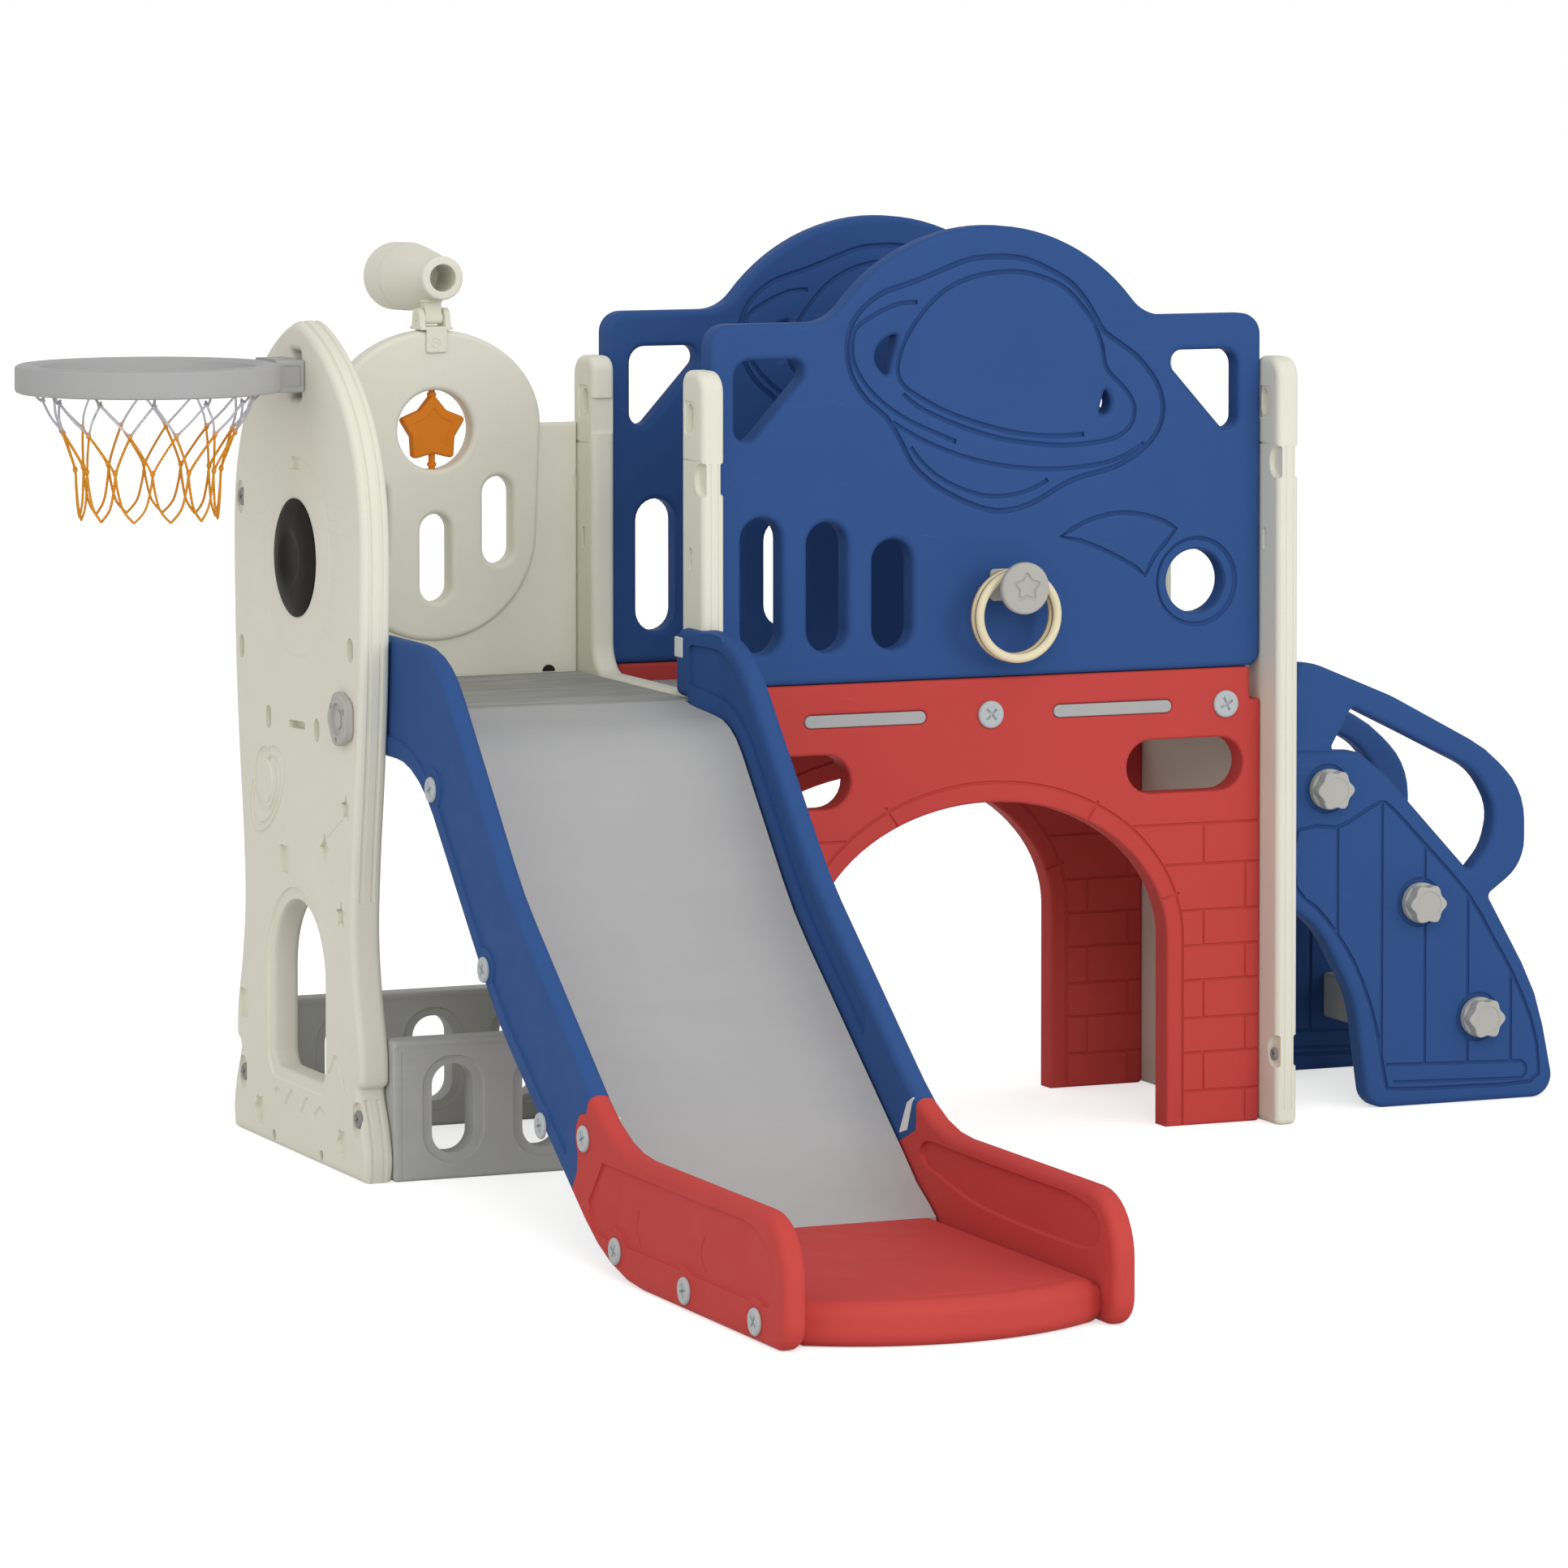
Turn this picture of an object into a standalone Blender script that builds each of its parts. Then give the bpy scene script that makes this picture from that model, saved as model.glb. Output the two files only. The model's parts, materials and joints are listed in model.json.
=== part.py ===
# Slide and climber set: a rocket side panel with a hoop, a platform with a slide,
# a bridge over two arches and a climber. Metres, +Z up, the floor at z = 0.
# It is laid out with X along the bridge, whose middle is at 0, and with Y away from
# the viewer, where 0 is the front face of the front guard panel. The last step moves
# the whole set so that the middle of its footprint is at the origin.

import bmesh
import bpy
import math
from mathutils import Matrix, Vector

# Fits
GAP = 0.0003
ARC_STEP = math.radians(19)

# Bridge panels and columns
BRIDGE_WIDTH = 0.792
PANEL_THICKNESS = 0.038
ROW_PITCH = 0.358
ARCH_PANEL_HEIGHT = 0.608
GUARD_TOP = 1.078
DOME_TOP = 1.200
DOME_RADIUS = 0.266
DOME_FILLET = 0.060
COLUMN_THICKNESS = 0.032
COLUMN_FRONT = -0.048
COLUMN_DEPTH = 0.451
FRONT_POST_DEPTH = 0.071
REAR_POST_DEPTH = 0.073
COLUMN_TOP = 1.021
SILL_TOP = 0.603
FOOT_WIDTH = 0.110
FOOT_GAP_HEIGHT = 0.045
BRIDGE_FLOOR_TOP = 0.585
BRIDGE_FLOOR_THICKNESS = 0.040

# Openings of the guard panels
TRIANGLE_WIDTH = 0.118
TRIANGLE_HEIGHT = 0.130
TRIANGLE_TOP = 1.031
TRIANGLE_MARGIN = 0.034
SLOT_WIDTH = 0.057
SLOT_BOTTOM = 0.650
SLOT_TOPS = (0.827, 0.819, 0.794)
FIRST_SLOT_X = -0.3245
SLOT_PITCH = 0.0928
ROUND_HOLE_X = 0.300
ROUND_HOLE_Z = 0.7245
ROUND_HOLE_RADIUS = 0.042

# Openings of the arch panels
ARCH_HALF_WIDTH = 0.258
ARCH_SPRING = 0.250
ARCH_TOP = 0.444
OVAL_X = 0.2845
OVAL_Z = 0.4805
OVAL_LENGTH = 0.171
OVAL_HEIGHT = 0.071
TAB_X = 0.178
TAB_LENGTH = 0.172
TAB_HEIGHT = 0.022
TAB_Z = 0.5600
ARCH_SCREW_X = 0.343
ARCH_NOTCH = 0.016
ARCH_NOTCH_HEIGHT = 0.043

# Platform bay and left panel
BAY_WIDTH = 0.408
PLATFORM_TOP = 0.600
PLATFORM_THICKNESS = 0.042
PLATFORM_FRONT = -0.020
LEFT_PANEL_THICKNESS = 0.040
LEFT_PANEL_MIDDLE = 0.242
LEFT_PANEL_TOP = 1.082
NOSE_BASE = 0.780
LEFT_PANEL_STATIONS = (
    (0.2500, 0.000),
    (0.2550, 0.030),
    (0.2450, 0.070),
    (0.2260, 0.112),
    (0.2400, 0.126),
    (0.2380, 0.170),
    (0.2200, 0.235),
    (0.2090, 0.310),
    (0.2150, 0.400),
    (0.2320, 0.520),
    (0.2440, 0.640),
    (0.2485, NOSE_BASE),
)
DOORWAY_HALF_WIDTH = 0.099
DOORWAY_BOTTOM = 0.105
DOORWAY_TOP = 0.331
DOORWAY_CORNER = 0.020
PORTHOLE_Z = 0.776
PORTHOLE_RADIUS = 0.079
PORTHOLE_RIM = 0.006
PORTHOLE_BULGE = 0.016
PORTHOLE_PLUG = 0.016
PORTHOLE_SIDES = 28
HOOP_SLOT_WIDTH = 0.040
HOOP_SLOT_HEIGHT = 0.060
HOOP_SLOT_Z = 1.013
SLIDE_CAP_Y = 0.054
SLIDE_CAP_Z = 0.585
SLIDE_CAP_RADIUS = 0.036
SLIDE_CAP_HEIGHT = 0.012

# Back panel with the star and the telescope
BACK_PANEL_FRONT = 0.375
BACK_PANEL_THICKNESS = 0.035
BACK_PANEL_BOTTOM = 0.560
SHOULDER_HEIGHT = 0.931
BACK_DOME_HALF_WIDTH = 0.149
BACK_DOME_TOP = 1.058
STAR_HOLE_Z = 0.926
STAR_HOLE_RADIUS = 0.0525
STAR_RADIUS = 0.0480
STAR_WAIST = 0.66
STAR_THICKNESS = 0.018
STAR_SHAFT_RADIUS = 0.0045
STAR_SOCKET_DEPTH = 0.010
BACK_SLOT_WIDTH = 0.043
BACK_SLOT_HEIGHT = 0.117
BACK_SLOT_PITCH = 0.088
BACK_SLOT_LOW_Z = 0.7565
BACK_SLOT_HIGH_Z = 0.8040

# Telescope
EAR_SPAN = 0.049
EAR_THICKNESS = 0.008
EAR_RADIUS = 0.013
PIVOT_HEIGHT = 0.0155
SADDLE_THICKNESS = 0.006
SADDLE_FRONT_WIDTH = 0.034
SADDLE_DROP = 0.038
KNUCKLE_RADIUS = 0.0088
PIN_RADIUS = 0.0042
STEM_WIDTH = 0.024
STEM_DEPTH = 0.018
BARREL_HEIGHT = 0.0530
BARREL_TILT = math.radians(-1.5)
EYE_LENGTH = 0.046
BARREL_LENGTH = 0.186
EYE_RADIUS = 0.029
EYE_BORE = 0.018
BIG_RADIUS = 0.0455
BIG_BORE = 0.0375

# Boards below the platform
BOARD_HEIGHT = 0.180
BOARD_THICKNESS = 0.040
FRONT_BOARD_Y = -0.012
BACK_BOARD_Y = 0.390
BOARD_HOLE_WIDTH = 0.056
BOARD_HOLE_HEIGHT = 0.114
BOARD_HOLE_Z = 0.090
BOARD_HOLE_PITCH = 0.123

# Slide
RAIL_THICKNESS = 0.029
RAIL_REAR = 0.085
CHUTE_THICKNESS = 0.022
TRAY_JOINT_Y = -0.784
TRAY_FRONT = -1.288
TRAY_SAGITTA = 0.060
TRAY_UNDERCUT = -0.880
CHEEK_THICKNESS = 0.012
CHEEK_REAR = -0.022
CHEEK_FRONT = -0.115
CHEEK_WINDOW_Y = -0.040
CHEEK_WINDOW_WIDTH = 0.020
CHEEK_WINDOW_Z = 0.665
CHEEK_WINDOW_HEIGHT = 0.026
RAIL_TOP_CORNERS = ((-0.148, 0.690, 0.16), (-0.400, 0.417, 0.50), (-0.751, 0.153, 0.25))
RAIL_NOSE_CORNERS = ((-1.268, 0.153, 0.075), (-1.268, 0.000, 0.035))
RAIL_LOW_CORNERS = ((-0.738, 0.000, 0.32), (-0.372, 0.249, 0.50), (-0.088, 0.538, 0.20))
CHUTE_CORNERS = ((-0.152, 0.572, 0.16), (-0.354, 0.349, 0.50), (-0.760, 0.052, 0.25))
CHUTE_REAR_Z = 0.5985
RAIL_JOINT = ((-0.600, 0.040), (-0.618, 0.078), (-0.640, 0.112))
RAIL_LOBE_CENTRE = (-0.665, 0.154)
RAIL_LOBE_RADIUS = 0.030
RAIL_JOINT_END = (-0.700, 0.260)
RAIL_SCREWS_UPPER = ((-0.151, 0.515), (-0.334, 0.313), (-0.526, 0.149))
RAIL_SCREWS_LOWER = ((-0.665, 0.154), (-0.765, 0.036), (-0.978, 0.025), (-1.186, 0.025))

# Climber
CLIMBER_THICKNESS = 0.036
CLIMBER_FRONT = 0.030
CLIMBER_PITCH = 0.336
CLIMBER_BODY = (
    (-0.003, 0.576, 0.004), (0.032, 0.578, 0.010), (0.032, 0.607, 0.014), (0.064, 0.604, 0.020),
    (0.180, 0.556, 0.080), (0.323, 0.480, 0.060), (0.383, 0.420, 0.060), (0.383, 0.320, 0.060),
    (0.326, 0.280, 0.008), (0.403, 0.144, 0.300), (0.432, 0.000, 0.030), (0.143, 0.000, 0.030),
    (0.122, 0.150, 0.160), (0.066, 0.254, 0.120), (-0.003, 0.292, 0.004),
)
CLIMBER_LOOP = (
    (0.085, 0.486, 0.006), (0.108, 0.548, 0.006), (0.200, 0.500, 0.080), (0.306, 0.448, 0.030),
    (0.336, 0.395, 0.030), (0.324, 0.345, 0.020), (0.297, 0.314, 0.006), (0.170, 0.450, 0.100),
    (0.127, 0.484, 0.030),
)
KNOB_PLACES = ((0.086, 0.436), (0.226, 0.276), (0.316, 0.116))
KNOB_RADIUS = 0.0255
KNOB_LOBE = 0.0035
KNOB_LOBES = 6
KNOB_HEIGHT = 0.022
STEP_RISE = 0.020
TREAD_THICKNESS = 0.040
TREAD_HALF_DEPTH = 0.068
RISER_THICKNESS = 0.030
RISER_HEIGHT = 0.120

# Hoop
HOOP_RADIUS = 0.170
HOOP_BAND = 0.030
HOOP_HEIGHT = 0.036
HOOP_REACH = 0.1990
HOOP_SIDES = 40
BRACKET_WIDTH = 0.080
BRACKET_LENGTH = 0.037
HOOK_HEIGHT = 0.042
HOOK_LIP = 0.009
HOOK_LIP_DROP = 0.016
NET_TOP_RADIUS = 0.134
NET_MIDDLE_RADIUS = 0.112
NET_LOW_RADIUS = 0.093
NET_BOTTOM_RADIUS = 0.090
NET_HEIGHT = 0.163
NET_WALL = 0.003

# Ring toss
PEG_X = 0.019
PEG_Z = 0.730
PEG_RADIUS = 0.0115
PEG_LENGTH = 0.070
PEG_CAP_RADIUS = 0.034
PEG_CAP_THICKNESS = 0.012
PEG_BASE_SIZE = 0.042
PEG_BASE_THICKNESS = 0.006
TOSS_RADIUS = 0.0555
TOSS_TUBE = 0.0062
TOSS_PLACES = (-0.032, -0.0455)

# Fasteners
SCREW_RADIUS = 0.0165
RAIL_SCREW_RADIUS = 0.0155
SCREW_HEIGHT = 0.004

# Rounding of the rims
GUARD_RIM = 0.006
ARCH_RIM = 0.004
COLUMN_RIM = 0.008
LEFT_PANEL_RIM = 0.008
BACK_PANEL_RIM = 0.006
STAR_RIM = 0.003
BOARD_RIM = 0.004
RAIL_RIM = 0.007
CLIMBER_RIM = 0.008
KNOB_RIM = 0.003

# Rounding of the corners
GUARD_LOW_CORNER = 0.020
GUARD_TOP_CORNER = 0.028
TRIANGLE_CORNER = 0.012
NOTCH_CORNER = 0.004
ARCH_FOOT_CORNER = 0.006
COLUMN_FOOT_CORNER = 0.008
COLUMN_TOP_CORNER = 0.028
COLUMN_INNER_CORNER = 0.020
COLUMN_SILL_CORNER = 0.040
FOOT_GAP_CORNER = 0.025
SLOT_CORNER = 0.006
STAR_TIP_CORNER = 0.006
STAR_WAIST_CORNER = 0.004
BOARD_HOLE_CORNER = 0.020
RAIL_END_CORNER = 0.020
STEP_SMALL_CORNER = 0.004
STEP_CORNER = 0.010
RISER_CORNER = 0.006

CREAM = (0.74, 0.72, 0.63, 1.0)
BLUE = (0.042, 0.098, 0.282, 1.0)
RED = (0.55, 0.072, 0.058, 1.0)
GREY = (0.41, 0.41, 0.40, 1.0)
DARK_GREY = (0.30, 0.30, 0.29, 1.0)
SMOKE = (0.035, 0.035, 0.033, 1.0)
ORANGE = (0.63, 0.155, 0.022, 1.0)
NET_ORANGE = (0.80, 0.36, 0.04, 1.0)
PALE = (0.56, 0.55, 0.52, 1.0)
SAND = (0.78, 0.66, 0.42, 1.0)

# Places that follow from the sizes above
HALF_BRIDGE = BRIDGE_WIDTH / 2
COLUMN_OUTER = HALF_BRIDGE + COLUMN_THICKNESS
BAY_LEFT = -COLUMN_OUTER - BAY_WIDTH
BAY_MIDDLE = -COLUMN_OUTER - BAY_WIDTH / 2
LEFT_PANEL_OUTER = BAY_LEFT - LEFT_PANEL_THICKNESS
COLUMN_REAR = COLUMN_FRONT + COLUMN_DEPTH
LEFT_RAIL_X = BAY_LEFT + GAP
RIGHT_RAIL_X = -COLUMN_OUTER
CLIMBER_X = COLUMN_OUTER + GAP + 0.003
BACK_PANEL_MID_Y = BACK_PANEL_FRONT + BACK_PANEL_THICKNESS / 2
PIVOT_Z = BACK_DOME_TOP + GAP + SADDLE_THICKNESS + PIVOT_HEIGHT - 0.006
HOOP_X = LEFT_PANEL_OUTER - HOOP_REACH

PLANES = {
    "X": Matrix(((0, 0, 1, 0), (1, 0, 0, 0), (0, 1, 0, 0), (0, 0, 0, 1))),
    "Y": Matrix(((1, 0, 0, 0), (0, 0, -1, 0), (0, 1, 0, 0), (0, 0, 0, 1))),
    "Z": Matrix.Identity(4),
}


def clear_scene():
    """Remove the objects and collections that a new file opens with."""
    for obj in list(bpy.data.objects):
        bpy.data.objects.remove(obj, do_unlink=True)
    for collection in list(bpy.data.collections):
        bpy.data.collections.remove(collection)


def make_collection(name):
    """Return a new collection linked to the scene."""
    collection = bpy.data.collections.new(name)
    bpy.context.scene.collection.children.link(collection)
    return collection


def make_material(name, colour, roughness=0.45):
    """Return a plastic-like Principled material."""
    material = bpy.data.materials.new(name)
    material.use_nodes = True
    shader = material.node_tree.nodes["Principled BSDF"]
    shader.inputs["Base Color"].default_value = colour
    shader.inputs["Roughness"].default_value = roughness
    shader.inputs["Metallic"].default_value = 0.0
    material.diffuse_color = colour
    return material


def rounded(corners):
    """Return the points of a closed outline whose corners (a, b, radius) are arcs."""
    points = []
    count = len(corners)
    for index, (a, b, radius) in enumerate(corners):
        here = Vector((a, b))
        before = Vector(corners[index - 1][:2])
        after = Vector(corners[(index + 1) % count][:2])
        points += fillet(before, here, after, radius)
    return points


def fillet(before, here, after, radius):
    """Return the arc points that round one corner, or the corner when its radius is 0."""
    to_before = (before - here).normalized()
    to_after = (after - here).normalized()
    half_angle = to_before.angle(to_after) / 2
    if radius <= 0 or half_angle > math.radians(89.5):
        return [here]
    room = 0.49 * min((before - here).length, (after - here).length)
    setback = min(radius / math.tan(half_angle), room)
    radius = setback * math.tan(half_angle)
    centre = here + (to_before + to_after).normalized() * radius / math.sin(half_angle)
    start = here + to_before * setback - centre
    sweep = math.pi - 2 * half_angle
    if start.x * (here - centre).y - start.y * (here - centre).x < 0:
        sweep = -sweep
    steps = max(1, math.ceil(abs(sweep) / ARC_STEP))
    return [centre + rotate(start, sweep * step / steps) for step in range(steps + 1)]


def rotate(vector, angle):
    """Return a 2D vector turned by an angle."""
    cosine = math.cos(angle)
    sine = math.sin(angle)
    return Vector((vector.x * cosine - vector.y * sine, vector.x * sine + vector.y * cosine))


def circle(a, b, radius, sides=24):
    """Return the points of a circle."""
    angles = [2 * math.pi * side / sides for side in range(sides)]
    return [Vector((a + radius * math.cos(angle), b + radius * math.sin(angle))) for angle in angles]


def rectangle(a0, a1, b0, b1, radius=0.0):
    """Return a rectangle with rounded corners."""
    return rounded(((a0, b0, radius), (a1, b0, radius), (a1, b1, radius), (a0, b1, radius)))


def stadium(a, b, width, height):
    """Return a slot with full round ends, centred on (a, b)."""
    radius = min(width, height) / 2
    reach = max(width, height) / 2 - radius
    flat = width > height
    ends = []
    for side in (1, -1):
        centre_a = a + side * reach if flat else a
        centre_b = b if flat else b + side * reach
        start = (-math.pi / 2 if flat else 0.0) + (0.0 if side > 0 else math.pi)
        ends += ellipse_arc(centre_a, centre_b, radius, radius, start, start + math.pi, 8)
    return ends


def ellipse_arc(a, b, half_width, height, start, end, steps):
    """Return points along part of an ellipse."""
    angles = [start + (end - start) * step / steps for step in range(steps + 1)]
    return [Vector((a + half_width * math.cos(t), b + height * math.sin(t))) for t in angles]


def smooth_chain(stations, steps=3):
    """Return a smooth chain of points through the given stations."""
    points = []
    last = len(stations) - 1
    for index in range(last):
        p0 = Vector(stations[max(index - 1, 0)])
        p1 = Vector(stations[index])
        p2 = Vector(stations[index + 1])
        p3 = Vector(stations[min(index + 2, last)])
        for step in range(steps):
            t = step / steps
            points.append(
                0.5 * (2 * p1 + (p2 - p0) * t + (2 * p0 - 5 * p1 + 4 * p2 - p3) * t ** 2
                       + (3 * p1 - p0 - 3 * p2 + p3) * t ** 3)
            )
    points.append(Vector(stations[-1]))
    return points


def bake(obj):
    """Replace an object by a mesh object that holds its evaluated shape, and return that."""
    graph = bpy.context.evaluated_depsgraph_get()
    graph.update()
    mesh = bpy.data.meshes.new_from_object(obj.evaluated_get(graph))
    name = obj.name
    collection = obj.users_collection[0]
    matrix = obj.matrix_world.copy()
    bpy.data.objects.remove(obj, do_unlink=True)
    shape = bmesh.new()
    shape.from_mesh(mesh)
    bmesh.ops.remove_doubles(shape, verts=shape.verts, dist=0.00002)
    bmesh.ops.recalc_face_normals(shape, faces=shape.faces)
    shape.to_mesh(mesh)
    shape.free()
    solid = bpy.data.objects.new(name, mesh)
    mesh.name = name
    solid.matrix_world = matrix
    collection.objects.link(solid)
    bpy.context.view_layer.update()
    return solid


def plate(name, outline, plane, low, high, holes=(), rounding=0.0):
    """Make a flat solid from an outline in the plane square to an axis, with through holes."""
    curve = bpy.data.curves.new(name, "CURVE")
    curve.dimensions = "2D"
    curve.fill_mode = "BOTH"
    curve.extrude = (high - low) / 2 - rounding
    curve.bevel_depth = rounding
    curve.bevel_resolution = 0
    curve.offset = -rounding
    for loop in (outline, *holes):
        spline = curve.splines.new("POLY")
        spline.points.add(len(loop) - 1)
        for point, place in zip(spline.points, loop):
            point.co = (place.x, place.y, 0.0, 1.0)
        spline.use_cyclic_u = True
    obj = bpy.data.objects.new(name, curve)
    PARTS.objects.link(obj)
    middle = (low + high) / 2
    if plane == "Y":
        middle = -middle
    obj.matrix_world = PLANES[plane] @ Matrix.Translation((0, 0, middle))
    bpy.context.view_layer.update()
    return bake(obj)


def turned(name, profile, sides=32):
    """Make a solid of revolution about local Z from a (radius, height) profile."""
    mesh = bpy.data.meshes.new(name)
    shape = bmesh.new()
    verts = [shape.verts.new((radius, 0.0, height)) for radius, height in profile]
    for first, second in zip(verts, verts[1:]):
        shape.edges.new((first, second))
    if profile[0][0] > 0:
        shape.edges.new((verts[-1], verts[0]))
    shape.to_mesh(mesh)
    shape.free()
    obj = bpy.data.objects.new(name, mesh)
    PARTS.objects.link(obj)
    screw = obj.modifiers.new("Turned", "SCREW")
    screw.axis = "Z"
    screw.angle = 2 * math.pi
    screw.steps = sides
    screw.render_steps = sides
    screw.use_merge_vertices = True
    screw.merge_threshold = 0.00005
    return obj


def primitive(name, shape):
    """Put the shape that a bmesh operator made into a new object."""
    mesh = bpy.data.meshes.new(name)
    shape.to_mesh(mesh)
    shape.free()
    obj = bpy.data.objects.new(name, mesh)
    PARTS.objects.link(obj)
    return obj


def cylinder(name, axis, centre, radius, length, sides=20):
    """Make a closed cylinder along an axis."""
    shape = bmesh.new()
    bmesh.ops.create_cone(
        shape, cap_ends=True, segments=sides, radius1=radius, radius2=radius, depth=length,
        matrix=Matrix.Translation(centre) @ PLANES[axis],
    )
    return primitive(name, shape)


def box(name, x, y, z):
    """Make a closed box from three (low, high) pairs."""
    centre = Vector([(low + high) / 2 for low, high in (x, y, z)])
    size = [high - low for low, high in (x, y, z)]
    shape = bmesh.new()
    place = Matrix.Translation(centre) @ Matrix.Diagonal((*size, 1.0))
    bmesh.ops.create_cube(shape, size=1.0, matrix=place)
    return primitive(name, shape)


def combine(target, other, operation):
    """Apply a Boolean to the target and move the other object to the cutters."""
    modifier = target.modifiers.new(operation.title(), "BOOLEAN")
    modifier.operation = operation
    modifier.solver = "EXACT"
    modifier.object = other
    PARTS.objects.unlink(other)
    CUTTERS.objects.link(other)
    other.hide_render = True
    other.display_type = "WIRE"
    return target


def settle(target):
    """Bake the Booleans of a solid, then remove its cutters."""
    cutters = [modifier.object for modifier in target.modifiers if modifier.type == "BOOLEAN"]
    solid = bake(target)
    for cutter in cutters:
        bpy.data.objects.remove(cutter, do_unlink=True)
    return solid


def finish(obj, material):
    """Give a solid its material and smooth shading with sharp edges kept."""
    obj.data.materials.clear()
    obj.data.materials.append(material)
    obj.data.shade_smooth()
    obj.data.set_sharp_from_angle(angle=math.radians(35))
    return obj


def put_origin(obj, place):
    """Move an object's origin to a world place without moving its shape."""
    bpy.context.view_layer.update()
    world = obj.matrix_world.copy()
    target = Matrix.Translation(place)
    obj.data.transform(target.inverted() @ world)
    obj.matrix_world = target


def guard_outline():
    """Return half of the guard panel's top, mirrored to the whole outline."""
    base = ARCH_PANEL_HEIGHT + GAP
    edge = HALF_BRIDGE - GAP
    centre_z = DOME_TOP - DOME_RADIUS
    reach = math.sqrt((DOME_RADIUS + DOME_FILLET) ** 2 - (GUARD_TOP + DOME_FILLET - centre_z) ** 2)
    angle = math.atan2(GUARD_TOP + DOME_FILLET - centre_z, reach)
    corners = (
        (0.0, base, 0.0), (edge, base, GUARD_LOW_CORNER), (edge, GUARD_TOP, GUARD_TOP_CORNER),
        (reach, GUARD_TOP, 0.0),
    )
    right = rounded(corners)[1:]
    hollow = ellipse_arc(
        reach, GUARD_TOP + DOME_FILLET, DOME_FILLET, DOME_FILLET, -math.pi / 2, angle - math.pi, 5
    )
    crown = ellipse_arc(0.0, centre_z, DOME_RADIUS, DOME_RADIUS, angle, math.pi / 2, 6)
    half = right[:-1] + hollow + crown[1:]
    return half + [Vector((-point.x, point.y)) for point in reversed(half[:-1])]


def guard_holes():
    """Return the triangle windows, the three slots and the round hole of a guard panel."""
    left = -HALF_BRIDGE + TRIANGLE_MARGIN
    bottom = TRIANGLE_TOP - TRIANGLE_HEIGHT
    triangle = (
        (left, TRIANGLE_TOP, TRIANGLE_CORNER), (left + TRIANGLE_WIDTH, TRIANGLE_TOP, TRIANGLE_CORNER),
        (left, bottom, TRIANGLE_CORNER),
    )
    mirrored = tuple((-a, b, radius) for a, b, radius in triangle)
    holes = [rounded(triangle), rounded(mirrored)]
    for index, top in enumerate(SLOT_TOPS):
        slot_x = FIRST_SLOT_X + index * SLOT_PITCH
        holes.append(stadium(slot_x, (SLOT_BOTTOM + top) / 2, SLOT_WIDTH, top - SLOT_BOTTOM))
    holes.append(circle(ROUND_HOLE_X, ROUND_HOLE_Z, ROUND_HOLE_RADIUS, 28))
    return holes


def arch_outline():
    """Return the arch panel's outline, with its feet and notched top corners."""
    edge = HALF_BRIDGE - GAP
    top = ARCH_PANEL_HEIGHT
    low = top - ARCH_NOTCH_HEIGHT
    inner = edge - ARCH_NOTCH
    outer = rounded((
        (edge, 0.0, ARCH_FOOT_CORNER), (edge, low, NOTCH_CORNER), (inner, low, NOTCH_CORNER),
        (inner, top, NOTCH_CORNER), (-inner, top, NOTCH_CORNER), (-inner, low, NOTCH_CORNER),
        (-edge, low, NOTCH_CORNER), (-edge, 0.0, ARCH_FOOT_CORNER),
    ))
    opening = ellipse_arc(0.0, ARCH_SPRING, ARCH_HALF_WIDTH, ARCH_TOP - ARCH_SPRING, math.pi, 0.0, 20)
    return outer + [Vector((-ARCH_HALF_WIDTH, 0.0))] + opening + [Vector((ARCH_HALF_WIDTH, 0.0))]


def arch_holes():
    """Return the oval windows and the slots for the bridge floor's tabs."""
    holes = []
    for side in (-1, 1):
        holes.append(stadium(side * OVAL_X, OVAL_Z, OVAL_LENGTH, OVAL_HEIGHT))
        holes.append(stadium(side * TAB_X, TAB_Z, TAB_LENGTH + 2 * GAP, TAB_HEIGHT + 2 * GAP))
    return holes


def column_outline():
    """Return the U-shaped column panel's outline: two posts, a sill and two feet."""
    inner_front = COLUMN_FRONT + FRONT_POST_DEPTH
    inner_rear = COLUMN_REAR - REAR_POST_DEPTH
    foot_front = COLUMN_FRONT + FOOT_WIDTH
    foot_rear = COLUMN_REAR - FOOT_WIDTH
    return rounded((
        (COLUMN_FRONT, 0.0, COLUMN_FOOT_CORNER), (COLUMN_FRONT, COLUMN_TOP, COLUMN_TOP_CORNER),
        (inner_front, COLUMN_TOP, COLUMN_INNER_CORNER), (inner_front, SILL_TOP, COLUMN_SILL_CORNER),
        (inner_rear, SILL_TOP, COLUMN_SILL_CORNER), (inner_rear, COLUMN_TOP, COLUMN_INNER_CORNER),
        (COLUMN_REAR, COLUMN_TOP, COLUMN_TOP_CORNER), (COLUMN_REAR, 0.0, COLUMN_FOOT_CORNER),
        (foot_rear, 0.0, NOTCH_CORNER), (foot_rear, FOOT_GAP_HEIGHT, FOOT_GAP_CORNER),
        (foot_front, FOOT_GAP_HEIGHT, FOOT_GAP_CORNER), (foot_front, 0.0, NOTCH_CORNER),
    ))


def left_panel_outline():
    """Return the rocket outline: flared base, waist and round nose."""
    side = smooth_chain(LEFT_PANEL_STATIONS)
    top_height = LEFT_PANEL_TOP - NOSE_BASE
    widest = LEFT_PANEL_STATIONS[-1][0]
    steps = 12
    for step in range(1, steps + 1):
        t = math.sin(math.pi / 2 * step / steps)
        width = widest * max(1 - t ** 2.6, 0.0) ** 0.75
        side.append(Vector((width, NOSE_BASE + top_height * t)))
    rear = [Vector((LEFT_PANEL_MIDDLE + point.x, point.y)) for point in side]
    front = [Vector((LEFT_PANEL_MIDDLE - point.x, point.y)) for point in reversed(side[:-1])]
    return rear + front


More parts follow.
